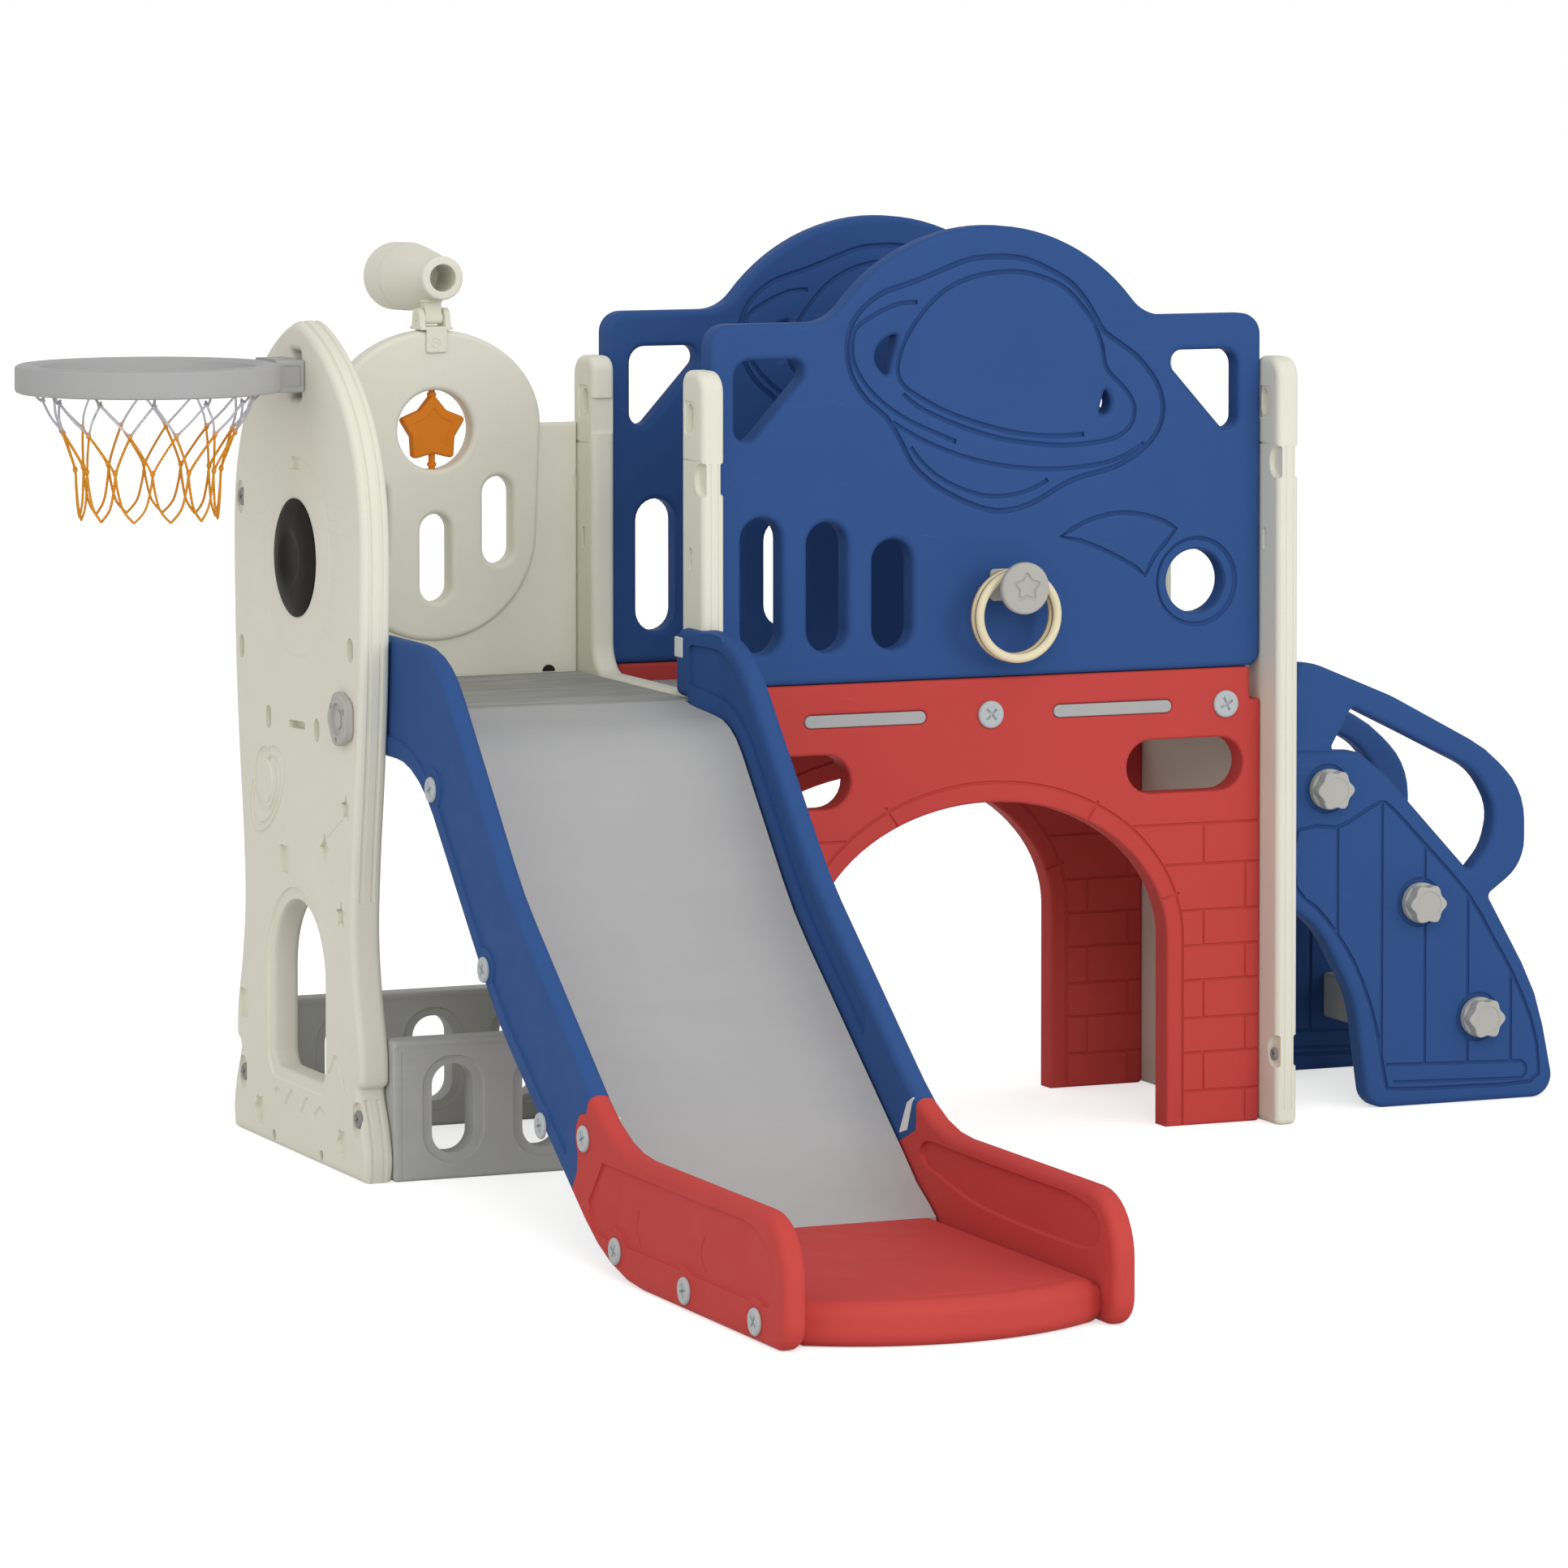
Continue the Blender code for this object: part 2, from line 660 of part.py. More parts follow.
def left_panel_holes():
    """Return the doorway, the porthole and the hoop's slot."""
    low = LEFT_PANEL_MIDDLE - DOORWAY_HALF_WIDTH
    high = LEFT_PANEL_MIDDLE + DOORWAY_HALF_WIDTH
    arch = DOORWAY_HALF_WIDTH * 0.98
    doorway = rounded((
        (low, DOORWAY_BOTTOM, DOORWAY_CORNER), (high, DOORWAY_BOTTOM, DOORWAY_CORNER),
        (high, DOORWAY_TOP, arch), (low, DOORWAY_TOP, arch),
    ))
    porthole = circle(LEFT_PANEL_MIDDLE, PORTHOLE_Z, PORTHOLE_RADIUS - PORTHOLE_RIM, PORTHOLE_SIDES)
    slot = rectangle(
        LEFT_PANEL_MIDDLE - HOOP_SLOT_WIDTH / 2, LEFT_PANEL_MIDDLE + HOOP_SLOT_WIDTH / 2,
        HOOP_SLOT_Z - HOOP_SLOT_HEIGHT / 2, HOOP_SLOT_Z + HOOP_SLOT_HEIGHT / 2, SLOT_CORNER,
    )
    return [doorway, porthole, slot]


def back_panel_outline():
    """Return the back panel's outline: flat shoulders under a round dome."""
    left = BAY_LEFT + GAP
    right = -COLUMN_OUTER - GAP
    dome = ellipse_arc(
        BAY_MIDDLE, SHOULDER_HEIGHT, BACK_DOME_HALF_WIDTH, BACK_DOME_TOP - SHOULDER_HEIGHT, 0.0, math.pi, 18
    )
    corners = [
        Vector(place) for place in (
            (left, SHOULDER_HEIGHT), (left, BACK_PANEL_BOTTOM), (right, BACK_PANEL_BOTTOM),
        )
    ]
    return dome + corners + [Vector((right, SHOULDER_HEIGHT))]


def rail_outline():
    """Return the side outline of a slide rail, from its rear end to its nose."""
    top = ((RAIL_REAR, RAIL_TOP_CORNERS[0][1], RAIL_END_CORNER), *RAIL_TOP_CORNERS)
    low = (*RAIL_LOW_CORNERS, (RAIL_REAR, RAIL_LOW_CORNERS[-1][1], RAIL_END_CORNER))
    return rounded((*top, *RAIL_NOSE_CORNERS, *low))


def joint_region(shift, upper):
    """Return the area on one side of the joint between the upper and the lower rail."""
    lobe_y, lobe_z = RAIL_LOBE_CENTRE
    line = [Vector((y + shift, z)) for y, z in RAIL_JOINT]
    start = math.radians(-40)
    end = math.radians(100)
    radius = RAIL_LOBE_RADIUS + shift
    line += ellipse_arc(lobe_y, lobe_z, radius, radius, start, end, 8)
    line.append(Vector((RAIL_JOINT_END[0] + shift, RAIL_JOINT_END[1])))
    far = RAIL_REAR + 0.1 if upper else RAIL_NOSE_CORNERS[0][0] - 0.1
    above = RAIL_TOP_CORNERS[0][1] + 0.1
    line += [Vector((line[-1].x, above)), Vector((far, above))]
    line += [Vector((far, -0.1)), Vector((line[0].x, -0.1))]
    return line


def slide_surface():
    """Return the sliding surface as an open chain from the platform to the tray's front."""
    ends = ((PLATFORM_FRONT - GAP, CHUTE_REAR_Z, 0.0), (TRAY_FRONT - 0.02, CHUTE_CORNERS[-1][1], 0.0))
    corners = (ends[0], *CHUTE_CORNERS, ends[1])
    chain = [Vector(ends[0][:2])]
    for index in range(1, len(corners) - 1):
        before, here, after = (Vector(corners[index + offset][:2]) for offset in (-1, 0, 1))
        chain += fillet(before, here, after, corners[index][2])
    chain.append(Vector(ends[1][:2]))
    return chain


def cut_chain(chain, limit):
    """Split an open chain that runs toward -Y at a given Y and return both halves."""
    for index in range(1, len(chain)):
        first = chain[index - 1]
        second = chain[index]
        if second.x < limit:
            share = (first.x - limit) / (first.x - second.x)
            place = first.lerp(second, share)
            return chain[:index] + [place], [place] + chain[index:]
    raise ValueError("the chain doesn't reach the cut")


def lowered(chain, depth):
    """Return a chain moved down square to itself, with its two ends straight below."""
    moved = []
    last = len(chain) - 1
    for index, point in enumerate(chain):
        ahead = chain[min(index + 1, last)]
        behind = chain[max(index - 1, 0)]
        along = (ahead - behind).normalized()
        moved.append(point + Vector((-along.y, along.x)) * depth)
    moved[0].x = chain[0].x
    moved[-1].x = chain[-1].x
    return moved


def make_bridge():
    """Make the guard panels, the arch panels and the bridge floor."""
    rows = (("front", 0.0), ("back", ROW_PITCH))
    for row, start in rows:
        end = start + PANEL_THICKNESS
        guard = plate(f"{row}_guard_panel", guard_outline(), "Y", start, end, guard_holes(), GUARD_RIM)
        finish(guard, BLUE_PLASTIC)
        arch = plate(f"{row}_arch_panel", arch_outline(), "Y", start, end, arch_holes(), ARCH_RIM)
        finish(arch, RED_PLASTIC)
    edge = HALF_BRIDGE - GAP
    near = PANEL_THICKNESS + GAP
    far = ROW_PITCH - GAP
    top = BRIDGE_FLOOR_TOP
    floor = box("bridge_floor", (-edge, edge), (near, far), (top - BRIDGE_FLOOR_THICKNESS, top))
    for side in (-1, 1):
        tab = plate(
            f"tab_{side}", stadium(side * TAB_X, TAB_Z, TAB_LENGTH, TAB_HEIGHT), "Y",
            GAP, ROW_PITCH + PANEL_THICKNESS - GAP,
        )
        combine(floor, tab, "UNION")
    finish(settle(floor), GREY_PLASTIC)


def make_columns():
    """Make the two U-shaped column panels."""
    for name, start in (("mid_column", -COLUMN_OUTER), ("right_column", HALF_BRIDGE)):
        column = plate(name, column_outline(), "X", start, start + COLUMN_THICKNESS, (), COLUMN_RIM)
        finish(column, CREAM_PLASTIC)


def make_left_panel():
    """Make the rocket panel, its porthole and the slide's cap."""
    panel = plate(
        "left_panel", left_panel_outline(), "X", LEFT_PANEL_OUTER, BAY_LEFT, left_panel_holes(),
        LEFT_PANEL_RIM,
    )
    finish(panel, CREAM_PLASTIC)
    inner = PORTHOLE_RADIUS - PORTHOLE_RIM - GAP
    steps = 4
    profile = [(0.0, GAP + PORTHOLE_BULGE)]
    for step in range(1, steps + 1):
        angle = math.pi / 2 * (1 - step / steps)
        profile.append((PORTHOLE_RADIUS * math.cos(angle), GAP + PORTHOLE_BULGE * math.sin(angle)))
    profile += [(inner, GAP), (inner, -PORTHOLE_PLUG), (0.0, -PORTHOLE_PLUG)]
    window = turned("porthole_dome", profile, PORTHOLE_SIDES)
    place = Matrix.Translation((LEFT_PANEL_OUTER, LEFT_PANEL_MIDDLE, PORTHOLE_Z))
    window.matrix_world = place @ Matrix.Rotation(math.radians(-90), 4, "Y")
    finish(bake(window), SMOKE_PLASTIC)
    cap_x = LEFT_PANEL_OUTER - GAP - SLIDE_CAP_HEIGHT / 2
    cap = cylinder(
        "slide_cap", "X", (cap_x, SLIDE_CAP_Y, SLIDE_CAP_Z), SLIDE_CAP_RADIUS, SLIDE_CAP_HEIGHT, 24
    )
    finish(cap, PALE_PLASTIC)


def make_back_panel():
    """Make the back panel with its hole, slots and sockets, and the star in it."""
    holes = [circle(BAY_MIDDLE, STAR_HOLE_Z, STAR_HOLE_RADIUS, 36)]
    holes.append(stadium(BAY_MIDDLE, BACK_SLOT_LOW_Z, BACK_SLOT_WIDTH, BACK_SLOT_HEIGHT))
    for side in (-1, 1):
        slot_x = BAY_MIDDLE + side * BACK_SLOT_PITCH
        holes.append(stadium(slot_x, BACK_SLOT_HIGH_Z, BACK_SLOT_WIDTH, BACK_SLOT_HEIGHT))
    far = BACK_PANEL_FRONT + BACK_PANEL_THICKNESS
    panel = plate("back_panel", back_panel_outline(), "Y", BACK_PANEL_FRONT, far, holes, BACK_PANEL_RIM)
    panel = bake(panel)
    length = 2 * (STAR_HOLE_RADIUS + STAR_SOCKET_DEPTH)
    centre = (BAY_MIDDLE, BACK_PANEL_MID_Y, STAR_HOLE_Z)
    socket = cylinder("socket", "Z", centre, STAR_SHAFT_RADIUS + GAP, length, 12)
    combine(panel, socket, "DIFFERENCE")
    finish(settle(panel), CREAM_PLASTIC)
    star_points = []
    for index in range(10):
        angle = math.pi / 2 + index * math.pi / 5
        radius = STAR_RADIUS if index % 2 == 0 else STAR_RADIUS * STAR_WAIST
        corner = STAR_TIP_CORNER if index % 2 == 0 else STAR_WAIST_CORNER
        tip_x = BAY_MIDDLE + radius * math.cos(angle)
        tip_z = STAR_HOLE_Z + radius * math.sin(angle)
        star_points.append((tip_x, tip_z, corner))
    near = BACK_PANEL_MID_Y - STAR_THICKNESS / 2
    star = plate("star_spinner", rounded(star_points), "Y", near, near + STAR_THICKNESS, (), STAR_RIM)
    shaft = cylinder("shaft", "Z", centre, STAR_SHAFT_RADIUS, length - 2 * GAP, 12)
    combine(star, shaft, "UNION")
    star = finish(settle(star), ORANGE_PLASTIC)
    put_origin(star, centre)


def make_telescope():
    """Make the telescope's bracket and the barrel that tilts in it."""
    near = BACK_PANEL_FRONT - GAP - SADDLE_THICKNESS
    far = BACK_PANEL_FRONT + BACK_PANEL_THICKNESS + GAP + SADDLE_THICKNESS
    base = BACK_DOME_TOP + GAP
    top = base + SADDLE_THICKNESS
    half = EAR_SPAN / 2
    bracket = box("telescope_bracket", (BAY_MIDDLE - half, BAY_MIDDLE + half), (near, far), (base, top))
    for index, start in enumerate((near, far - SADDLE_THICKNESS)):
        width = SADDLE_FRONT_WIDTH / 2
        flap = box(
            f"flap_{index}", (BAY_MIDDLE - width, BAY_MIDDLE + width), (start, start + SADDLE_THICKNESS),
            (base - SADDLE_DROP, top - 0.001),
        )
        combine(bracket, flap, "UNION")
    ear = rounded((
        (BACK_PANEL_MID_Y - EAR_RADIUS, base + 0.001, 0.0),
        (BACK_PANEL_MID_Y + EAR_RADIUS, base + 0.001, 0.0),
        (BACK_PANEL_MID_Y + EAR_RADIUS, PIVOT_Z + EAR_RADIUS, EAR_RADIUS * 0.98),
        (BACK_PANEL_MID_Y - EAR_RADIUS, PIVOT_Z + EAR_RADIUS, EAR_RADIUS * 0.98),
    ))
    pin_hole = circle(BACK_PANEL_MID_Y, PIVOT_Z, PIN_RADIUS + GAP, 16)
    for index, start in enumerate((BAY_MIDDLE - half + 0.0005, BAY_MIDDLE + half - 0.0005 - EAR_THICKNESS)):
        cheek = plate(f"ear_{index}", ear, "X", start, start + EAR_THICKNESS, [pin_hole])
        combine(bracket, cheek, "UNION")
    finish(settle(bracket), CREAM_PLASTIC)

    profile = [
        (EYE_BORE, -EYE_LENGTH), (EYE_RADIUS - 0.003, -EYE_LENGTH), (EYE_RADIUS, -EYE_LENGTH + 0.004),
        (EYE_RADIUS + 0.001, -0.018), (BIG_RADIUS - 0.003, 0.060), (BIG_RADIUS, 0.085),
        (BIG_RADIUS, BARREL_LENGTH - EYE_LENGTH - 0.004), (BIG_RADIUS - 0.004, BARREL_LENGTH - EYE_LENGTH),
        (BIG_BORE, BARREL_LENGTH - EYE_LENGTH), (BIG_BORE, 0.080), (EYE_BORE, 0.020),
    ]
    barrel = turned("telescope_barrel", profile, 28)
    pivot = Vector((BAY_MIDDLE, BACK_PANEL_MID_Y, PIVOT_Z))
    place = Matrix.Translation(pivot + Vector((0, 0, BARREL_HEIGHT)))
    barrel.matrix_world = place @ Matrix.Rotation(math.radians(-90), 4, "X")
    barrel = bake(barrel)
    gap_width = EAR_SPAN - 2 * EAR_THICKNESS - 2 * GAP - 0.001
    knuckle = cylinder("knuckle", "X", pivot, KNUCKLE_RADIUS, gap_width, 20)
    pin = cylinder("pin", "X", pivot, PIN_RADIUS, EAR_SPAN, 16)
    stem = box(
        "stem", (pivot.x - STEM_WIDTH / 2, pivot.x + STEM_WIDTH / 2),
        (pivot.y - STEM_DEPTH / 2, pivot.y + STEM_DEPTH / 2),
        (pivot.z, pivot.z + BARREL_HEIGHT - EYE_RADIUS + 0.004),
    )
    for piece in (knuckle, pin, stem):
        combine(barrel, piece, "UNION")
    barrel = settle(barrel)
    put_origin(barrel, pivot)
    barrel.data.transform(Matrix.Rotation(BARREL_TILT, 4, "X"))
    finish(barrel, CREAM_PLASTIC)


def make_platform():
    """Make the platform and the two boards below it."""
    left = BAY_LEFT + GAP
    right = -COLUMN_OUTER - GAP
    notch_x = LEFT_RAIL_X + RAIL_THICKNESS + GAP
    notch_y = RAIL_REAR + GAP
    rear = BACK_PANEL_FRONT - GAP
    outline = [
        Vector(place) for place in (
            (notch_x, PLATFORM_FRONT), (right, PLATFORM_FRONT), (right, rear), (left, rear),
            (left, notch_y), (notch_x, notch_y),
        )
    ]
    platform = plate("platform", outline, "Z", PLATFORM_TOP - PLATFORM_THICKNESS, PLATFORM_TOP)
    finish(platform, GREY_PLASTIC)
    for name, start in (("front_board", FRONT_BOARD_Y), ("back_board", BACK_BOARD_Y)):
        holes = []
        for offset in (-1, 0, 1):
            hole_x = BAY_MIDDLE + offset * BOARD_HOLE_PITCH
            holes.append(rectangle(
                hole_x - BOARD_HOLE_WIDTH / 2, hole_x + BOARD_HOLE_WIDTH / 2,
                BOARD_HOLE_Z - BOARD_HOLE_HEIGHT / 2, BOARD_HOLE_Z + BOARD_HOLE_HEIGHT / 2,
                BOARD_HOLE_CORNER,
            ))
        outline = rectangle(left, right, 0.0, BOARD_HEIGHT, BOARD_RIM)
        board = plate(name, outline, "Y", start, start + BOARD_THICKNESS, holes, BOARD_RIM)
        finish(board, DARK_GREY_PLASTIC)


def make_rails():
    """Make the upper and lower rails of both sides and the screws of the left one."""
    for side, start in (("left", LEFT_RAIL_X), ("right", RIGHT_RAIL_X)):
        end = start + RAIL_THICKNESS
        for part, material in (("upper", BLUE_PLASTIC), ("lower", RED_PLASTIC)):
            rail = bake(plate(f"{side}_{part}_rail", rail_outline(), "X", start, end, (), RAIL_RIM))
            region = joint_region(-GAP if part == "lower" else GAP, part == "lower")
            combine(rail, plate("region", region, "X", start - 0.05, end + 0.05), "DIFFERENCE")
            if side == "right" and part == "upper":
                rail = settle(rail)
                add_cheek(rail)
            finish(settle(rail), material)
    for part, places in (("upper", RAIL_SCREWS_UPPER), ("lower", RAIL_SCREWS_LOWER)):
        for index, (y, z) in enumerate(places):
            screw = cylinder(
                f"{part}_rail_screw_{index + 1}", "X", (LEFT_RAIL_X - GAP - SCREW_HEIGHT / 2, y, z),
                RAIL_SCREW_RADIUS, SCREW_HEIGHT,
            )
            finish(screw, PALE_PLASTIC)


def add_cheek(rail):
    """Shorten the right upper rail at the post and give it the cheek beside the post."""
    rear = COLUMN_FRONT - GAP
    end = plate(
        "end", rectangle(rear, RAIL_REAR + 0.1, 0.3, 0.9), "X",
        RIGHT_RAIL_X - 0.01, RIGHT_RAIL_X + RAIL_THICKNESS + 0.01,
    )
    combine(rail, end, "DIFFERENCE")
    top = RAIL_TOP_CORNERS[0][1] - 0.004
    low = RAIL_LOW_CORNERS[-1][1] + 0.004
    outline = rounded((
        (CHEEK_REAR, top, 0.015), (CHEEK_REAR, low, 0.015), (CHEEK_FRONT, low, 0.010),
        (CHEEK_FRONT, top - 0.012, 0.020),
    ))
    window = rectangle(
        CHEEK_WINDOW_Y - CHEEK_WINDOW_WIDTH / 2, CHEEK_WINDOW_Y + CHEEK_WINDOW_WIDTH / 2,
        CHEEK_WINDOW_Z - CHEEK_WINDOW_HEIGHT / 2, CHEEK_WINDOW_Z + CHEEK_WINDOW_HEIGHT / 2, 0.003,
    )
    cheek = plate("cheek", outline, "X", RIGHT_RAIL_X - GAP - CHEEK_THICKNESS, RIGHT_RAIL_X - GAP, [window])
    web = plate(
        "web", rectangle(CHEEK_FRONT + 0.004, COLUMN_FRONT - 0.012, low + 0.02, top - 0.03), "X",
        RIGHT_RAIL_X - 0.004, RIGHT_RAIL_X + 0.010,
    )
    combine(rail, cheek, "UNION")
    combine(rail, web, "UNION")


def make_slide_bed():
    """Make the grey chute and the red exit tray between the rails."""
    left = LEFT_RAIL_X + RAIL_THICKNESS + GAP
    right = RIGHT_RAIL_X - GAP
    upper, lower = cut_chain(slide_surface(), TRAY_JOINT_Y)
    bed = upper + list(reversed(lowered(upper, CHUTE_THICKNESS)))
    chute = plate("slide_chute", bed, "X", left, right)
    notch = box(
        "notch", (RIGHT_RAIL_X - CHEEK_THICKNESS - 3 * GAP, right + 0.01), (CHEEK_FRONT - GAP, 0.1),
        (0.4, 0.8),
    )
    combine(chute, notch, "DIFFERENCE")
    finish(settle(chute), GREY_PLASTIC)

    under = lowered(lower[:2], CHUTE_THICKNESS)[0]
    lower[0] = lower[0] - Vector((GAP, 0.0))
    under.x -= GAP
    section = lower + [Vector((TRAY_FRONT - 0.02, 0.0)), Vector((TRAY_UNDERCUT, 0.0)), under]
    tray = plate("slide_exit", section, "X", left, right)
    half = (right - left) / 2
    radius = (half ** 2 + TRAY_SAGITTA ** 2) / (2 * TRAY_SAGITTA)
    angle = math.asin(half / radius)
    middle = (left + right) / 2
    front = ellipse_arc(
        middle, TRAY_FRONT + radius, radius, radius,
        -math.pi / 2 - angle * 1.2, -math.pi / 2 + angle * 1.2, 16,
    )
    plan = front + [Vector((right + 0.1, -0.5)), Vector((left - 0.1, -0.5))]
    combine(tray, plate("plan", plan, "Z", -0.1, 0.3), "INTERSECT")
    tray = settle(tray)
    finish(tray, RED_PLASTIC)


def make_climber():
    """Make the climber's sides, steps and knobs."""
    body = rounded([(CLIMBER_X + a, b, radius) for a, b, radius in CLIMBER_BODY])
    loop = rounded([(CLIMBER_X + a, b, radius) for a, b, radius in CLIMBER_LOOP])
    inner_near = CLIMBER_FRONT + CLIMBER_THICKNESS + GAP
    inner_far = CLIMBER_FRONT + CLIMBER_PITCH - GAP
    for name, start in (("front", CLIMBER_FRONT), ("back", CLIMBER_FRONT + CLIMBER_PITCH)):
        end = start + CLIMBER_THICKNESS
        side = plate(f"{name}_climber_side", body, "Y", start, end, [loop], CLIMBER_RIM)
        finish(side, BLUE_PLASTIC)
    for index, (x, z) in enumerate(KNOB_PLACES):
        centre = CLIMBER_X + x
        top = z + STEP_RISE
        rear = centre - TREAD_HALF_DEPTH
        front = centre + TREAD_HALF_DEPTH
        low = max(top - RISER_HEIGHT, 0.012)
        outline = rounded((
            (rear, top, STEP_SMALL_CORNER), (front, top, STEP_CORNER),
            (front, top - TREAD_THICKNESS, STEP_CORNER),
            (rear + RISER_THICKNESS, top - TREAD_THICKNESS, STEP_CORNER),
            (rear + RISER_THICKNESS, low, RISER_CORNER), (rear, low, RISER_CORNER),
        ))
        finish(plate(f"climber_step_{index + 1}", outline, "Y", inner_near, inner_far), GREY_PLASTIC)
        grip = []
        points = 4 * KNOB_LOBES
        for point in range(points):
            angle = 2 * math.pi * point / points
            radius = KNOB_RADIUS + KNOB_LOBE * math.cos(KNOB_LOBES * angle)
            grip.append(Vector((centre + radius * math.cos(angle), z + radius * math.sin(angle))))
        front_face = CLIMBER_FRONT - GAP - KNOB_HEIGHT
        back_face = CLIMBER_FRONT + CLIMBER_PITCH + CLIMBER_THICKNESS + GAP
        for name, start in (("front", front_face), ("back", back_face)):
            knob = plate(f"{name}_knob_{index + 1}", grip, "Y", start, start + KNOB_HEIGHT, (), KNOB_RIM)
            finish(knob, PALE_PLASTIC)


def make_hoop():
    """Make the hoop with its hook, and the plain solid of its net."""
    half = HOOP_HEIGHT / 2
    inner = HOOP_RADIUS - HOOP_BAND
    profile = [
        (inner, -half), (HOOP_RADIUS - 0.004, -half), (HOOP_RADIUS, -half + 0.004),
        (HOOP_RADIUS, half - 0.004), (HOOP_RADIUS - 0.004, half), (inner, half),
    ]
    hoop = turned("hoop_ring", profile, HOOP_SIDES)
    hoop.matrix_world = Matrix.Translation((HOOP_X, LEFT_PANEL_MIDDLE, HOOP_SLOT_Z))
    hoop = bake(hoop)
    near = LEFT_PANEL_MIDDLE - BRACKET_WIDTH / 2
    far = LEFT_PANEL_MIDDLE + BRACKET_WIDTH / 2
    face = LEFT_PANEL_OUTER - GAP
    tall = HOOK_HEIGHT / 2
    bracket = box(
        "bracket", (face - BRACKET_LENGTH - 0.012, face), (near, far),
        (HOOP_SLOT_Z - tall, HOOP_SLOT_Z + tall),
    )
    hook_half = HOOP_SLOT_WIDTH / 2 - 0.0015
    hook = box(
        "hook", (face - 0.010, BAY_LEFT + GAP + HOOK_LIP),
        (LEFT_PANEL_MIDDLE - hook_half, LEFT_PANEL_MIDDLE + hook_half),
        (HOOP_SLOT_Z - tall + 0.002, HOOP_SLOT_Z + tall - 0.002),
    )
    lip = box(
        "lip", (BAY_LEFT + GAP, BAY_LEFT + GAP + HOOK_LIP),
        (LEFT_PANEL_MIDDLE - hook_half + 0.002, LEFT_PANEL_MIDDLE + hook_half - 0.002),
        (HOOP_SLOT_Z - HOOP_SLOT_HEIGHT / 2 - HOOK_LIP_DROP, HOOP_SLOT_Z),
    )
    core = cylinder("core", "Z", (HOOP_X, LEFT_PANEL_MIDDLE, HOOP_SLOT_Z), HOOP_RADIUS - 0.006, 0.2, 48)
    combine(bracket, core, "DIFFERENCE")
    bracket = settle(bracket)
    for piece in (bracket, hook, lip):
        combine(hoop, piece, "UNION")
    finish(settle(hoop), GREY_PLASTIC)

    outer = (
        (inner - GAP, 0.0), (NET_TOP_RADIUS, -half), (NET_MIDDLE_RADIUS, -half - NET_HEIGHT * 0.30),
        (NET_LOW_RADIUS, -half - NET_HEIGHT * 0.60), (NET_BOTTOM_RADIUS, -half - NET_HEIGHT),
    )
    profile = [*outer, *((radius - NET_WALL, height) for radius, height in reversed(outer))]
    net = turned("hoop_net", profile, HOOP_SIDES)
    net.matrix_world = Matrix.Translation((HOOP_X, LEFT_PANEL_MIDDLE, HOOP_SLOT_Z))
    finish(bake(net), NET_CORD)


def make_ring_toss():
    """Make the peg on the front guard panel and the two rings that hang on it."""
    cap_face = -PEG_LENGTH
    profile = [
        (0.0, cap_face), (PEG_CAP_RADIUS - 0.003, cap_face), (PEG_CAP_RADIUS, cap_face + 0.003),
        (PEG_CAP_RADIUS, cap_face + PEG_CAP_THICKNESS), (PEG_RADIUS, cap_face + PEG_CAP_THICKNESS),
        (PEG_RADIUS, -GAP - 0.001), (0.0, -GAP - 0.001),
    ]
    peg = turned("ring_peg", profile, 32)
    place = Matrix.Translation((PEG_X, 0, PEG_Z))
    peg.matrix_world = place @ Matrix.Rotation(math.radians(-90), 4, "X")
    peg = bake(peg)
    half = PEG_BASE_SIZE / 2
    outline = rectangle(PEG_X - half, PEG_X + half, PEG_Z - half, PEG_Z + half, 0.006)
    combine(peg, plate("base", outline, "Y", -GAP - PEG_BASE_THICKNESS, -GAP), "UNION")
    finish(settle(peg), PALE_PLASTIC)
    drop = TOSS_RADIUS - TOSS_TUBE - PEG_RADIUS - GAP
    for index, y in enumerate(TOSS_PLACES):
        bpy.ops.mesh.primitive_torus_add(
            major_radius=TOSS_RADIUS, minor_radius=TOSS_TUBE, major_segments=40, minor_segments=8,
            location=(PEG_X, y, PEG_Z - drop), rotation=(math.pi / 2, 0, 0),
        )
        ring = bpy.context.active_object
        ring.name = f"toss_ring_{index + 1}"
        ring.data.name = ring.name
        for collection in list(ring.users_collection):
            collection.objects.unlink(ring)
        PARTS.objects.link(ring)
        put_origin(ring, Vector((PEG_X, y, PEG_Z)))
        finish(ring, RING_PLASTIC)


def make_arch_screws():
    """Make the screw heads on the front arch panel."""
    for index, x in enumerate((-ARCH_SCREW_X, 0.0, ARCH_SCREW_X)):
        centre = (x, -GAP - SCREW_HEIGHT / 2, TAB_Z)
        screw = cylinder(f"arch_screw_{index + 1}", "Y", centre, SCREW_RADIUS, SCREW_HEIGHT)
        finish(screw, PALE_PLASTIC)


def centre_footprint():
    """Move every piece so that the middle of the set's footprint is at the origin."""
    bpy.context.view_layer.update()
    corners = []
    for obj in PARTS.objects:
        corners += [obj.matrix_world @ vertex.co for vertex in obj.data.vertices]
    middle = Vector((
        (min(corner.x for corner in corners) + max(corner.x for corner in corners)) / 2,
        (min(corner.y for corner in corners) + max(corner.y for corner in corners)) / 2,
        0.0,
    ))
    for obj in PARTS.objects:
        obj.matrix_world = Matrix.Translation(-middle) @ obj.matrix_world
    print(f"Middle of the footprint in the layout: {middle.x:.6f}, {middle.y:.6f}")


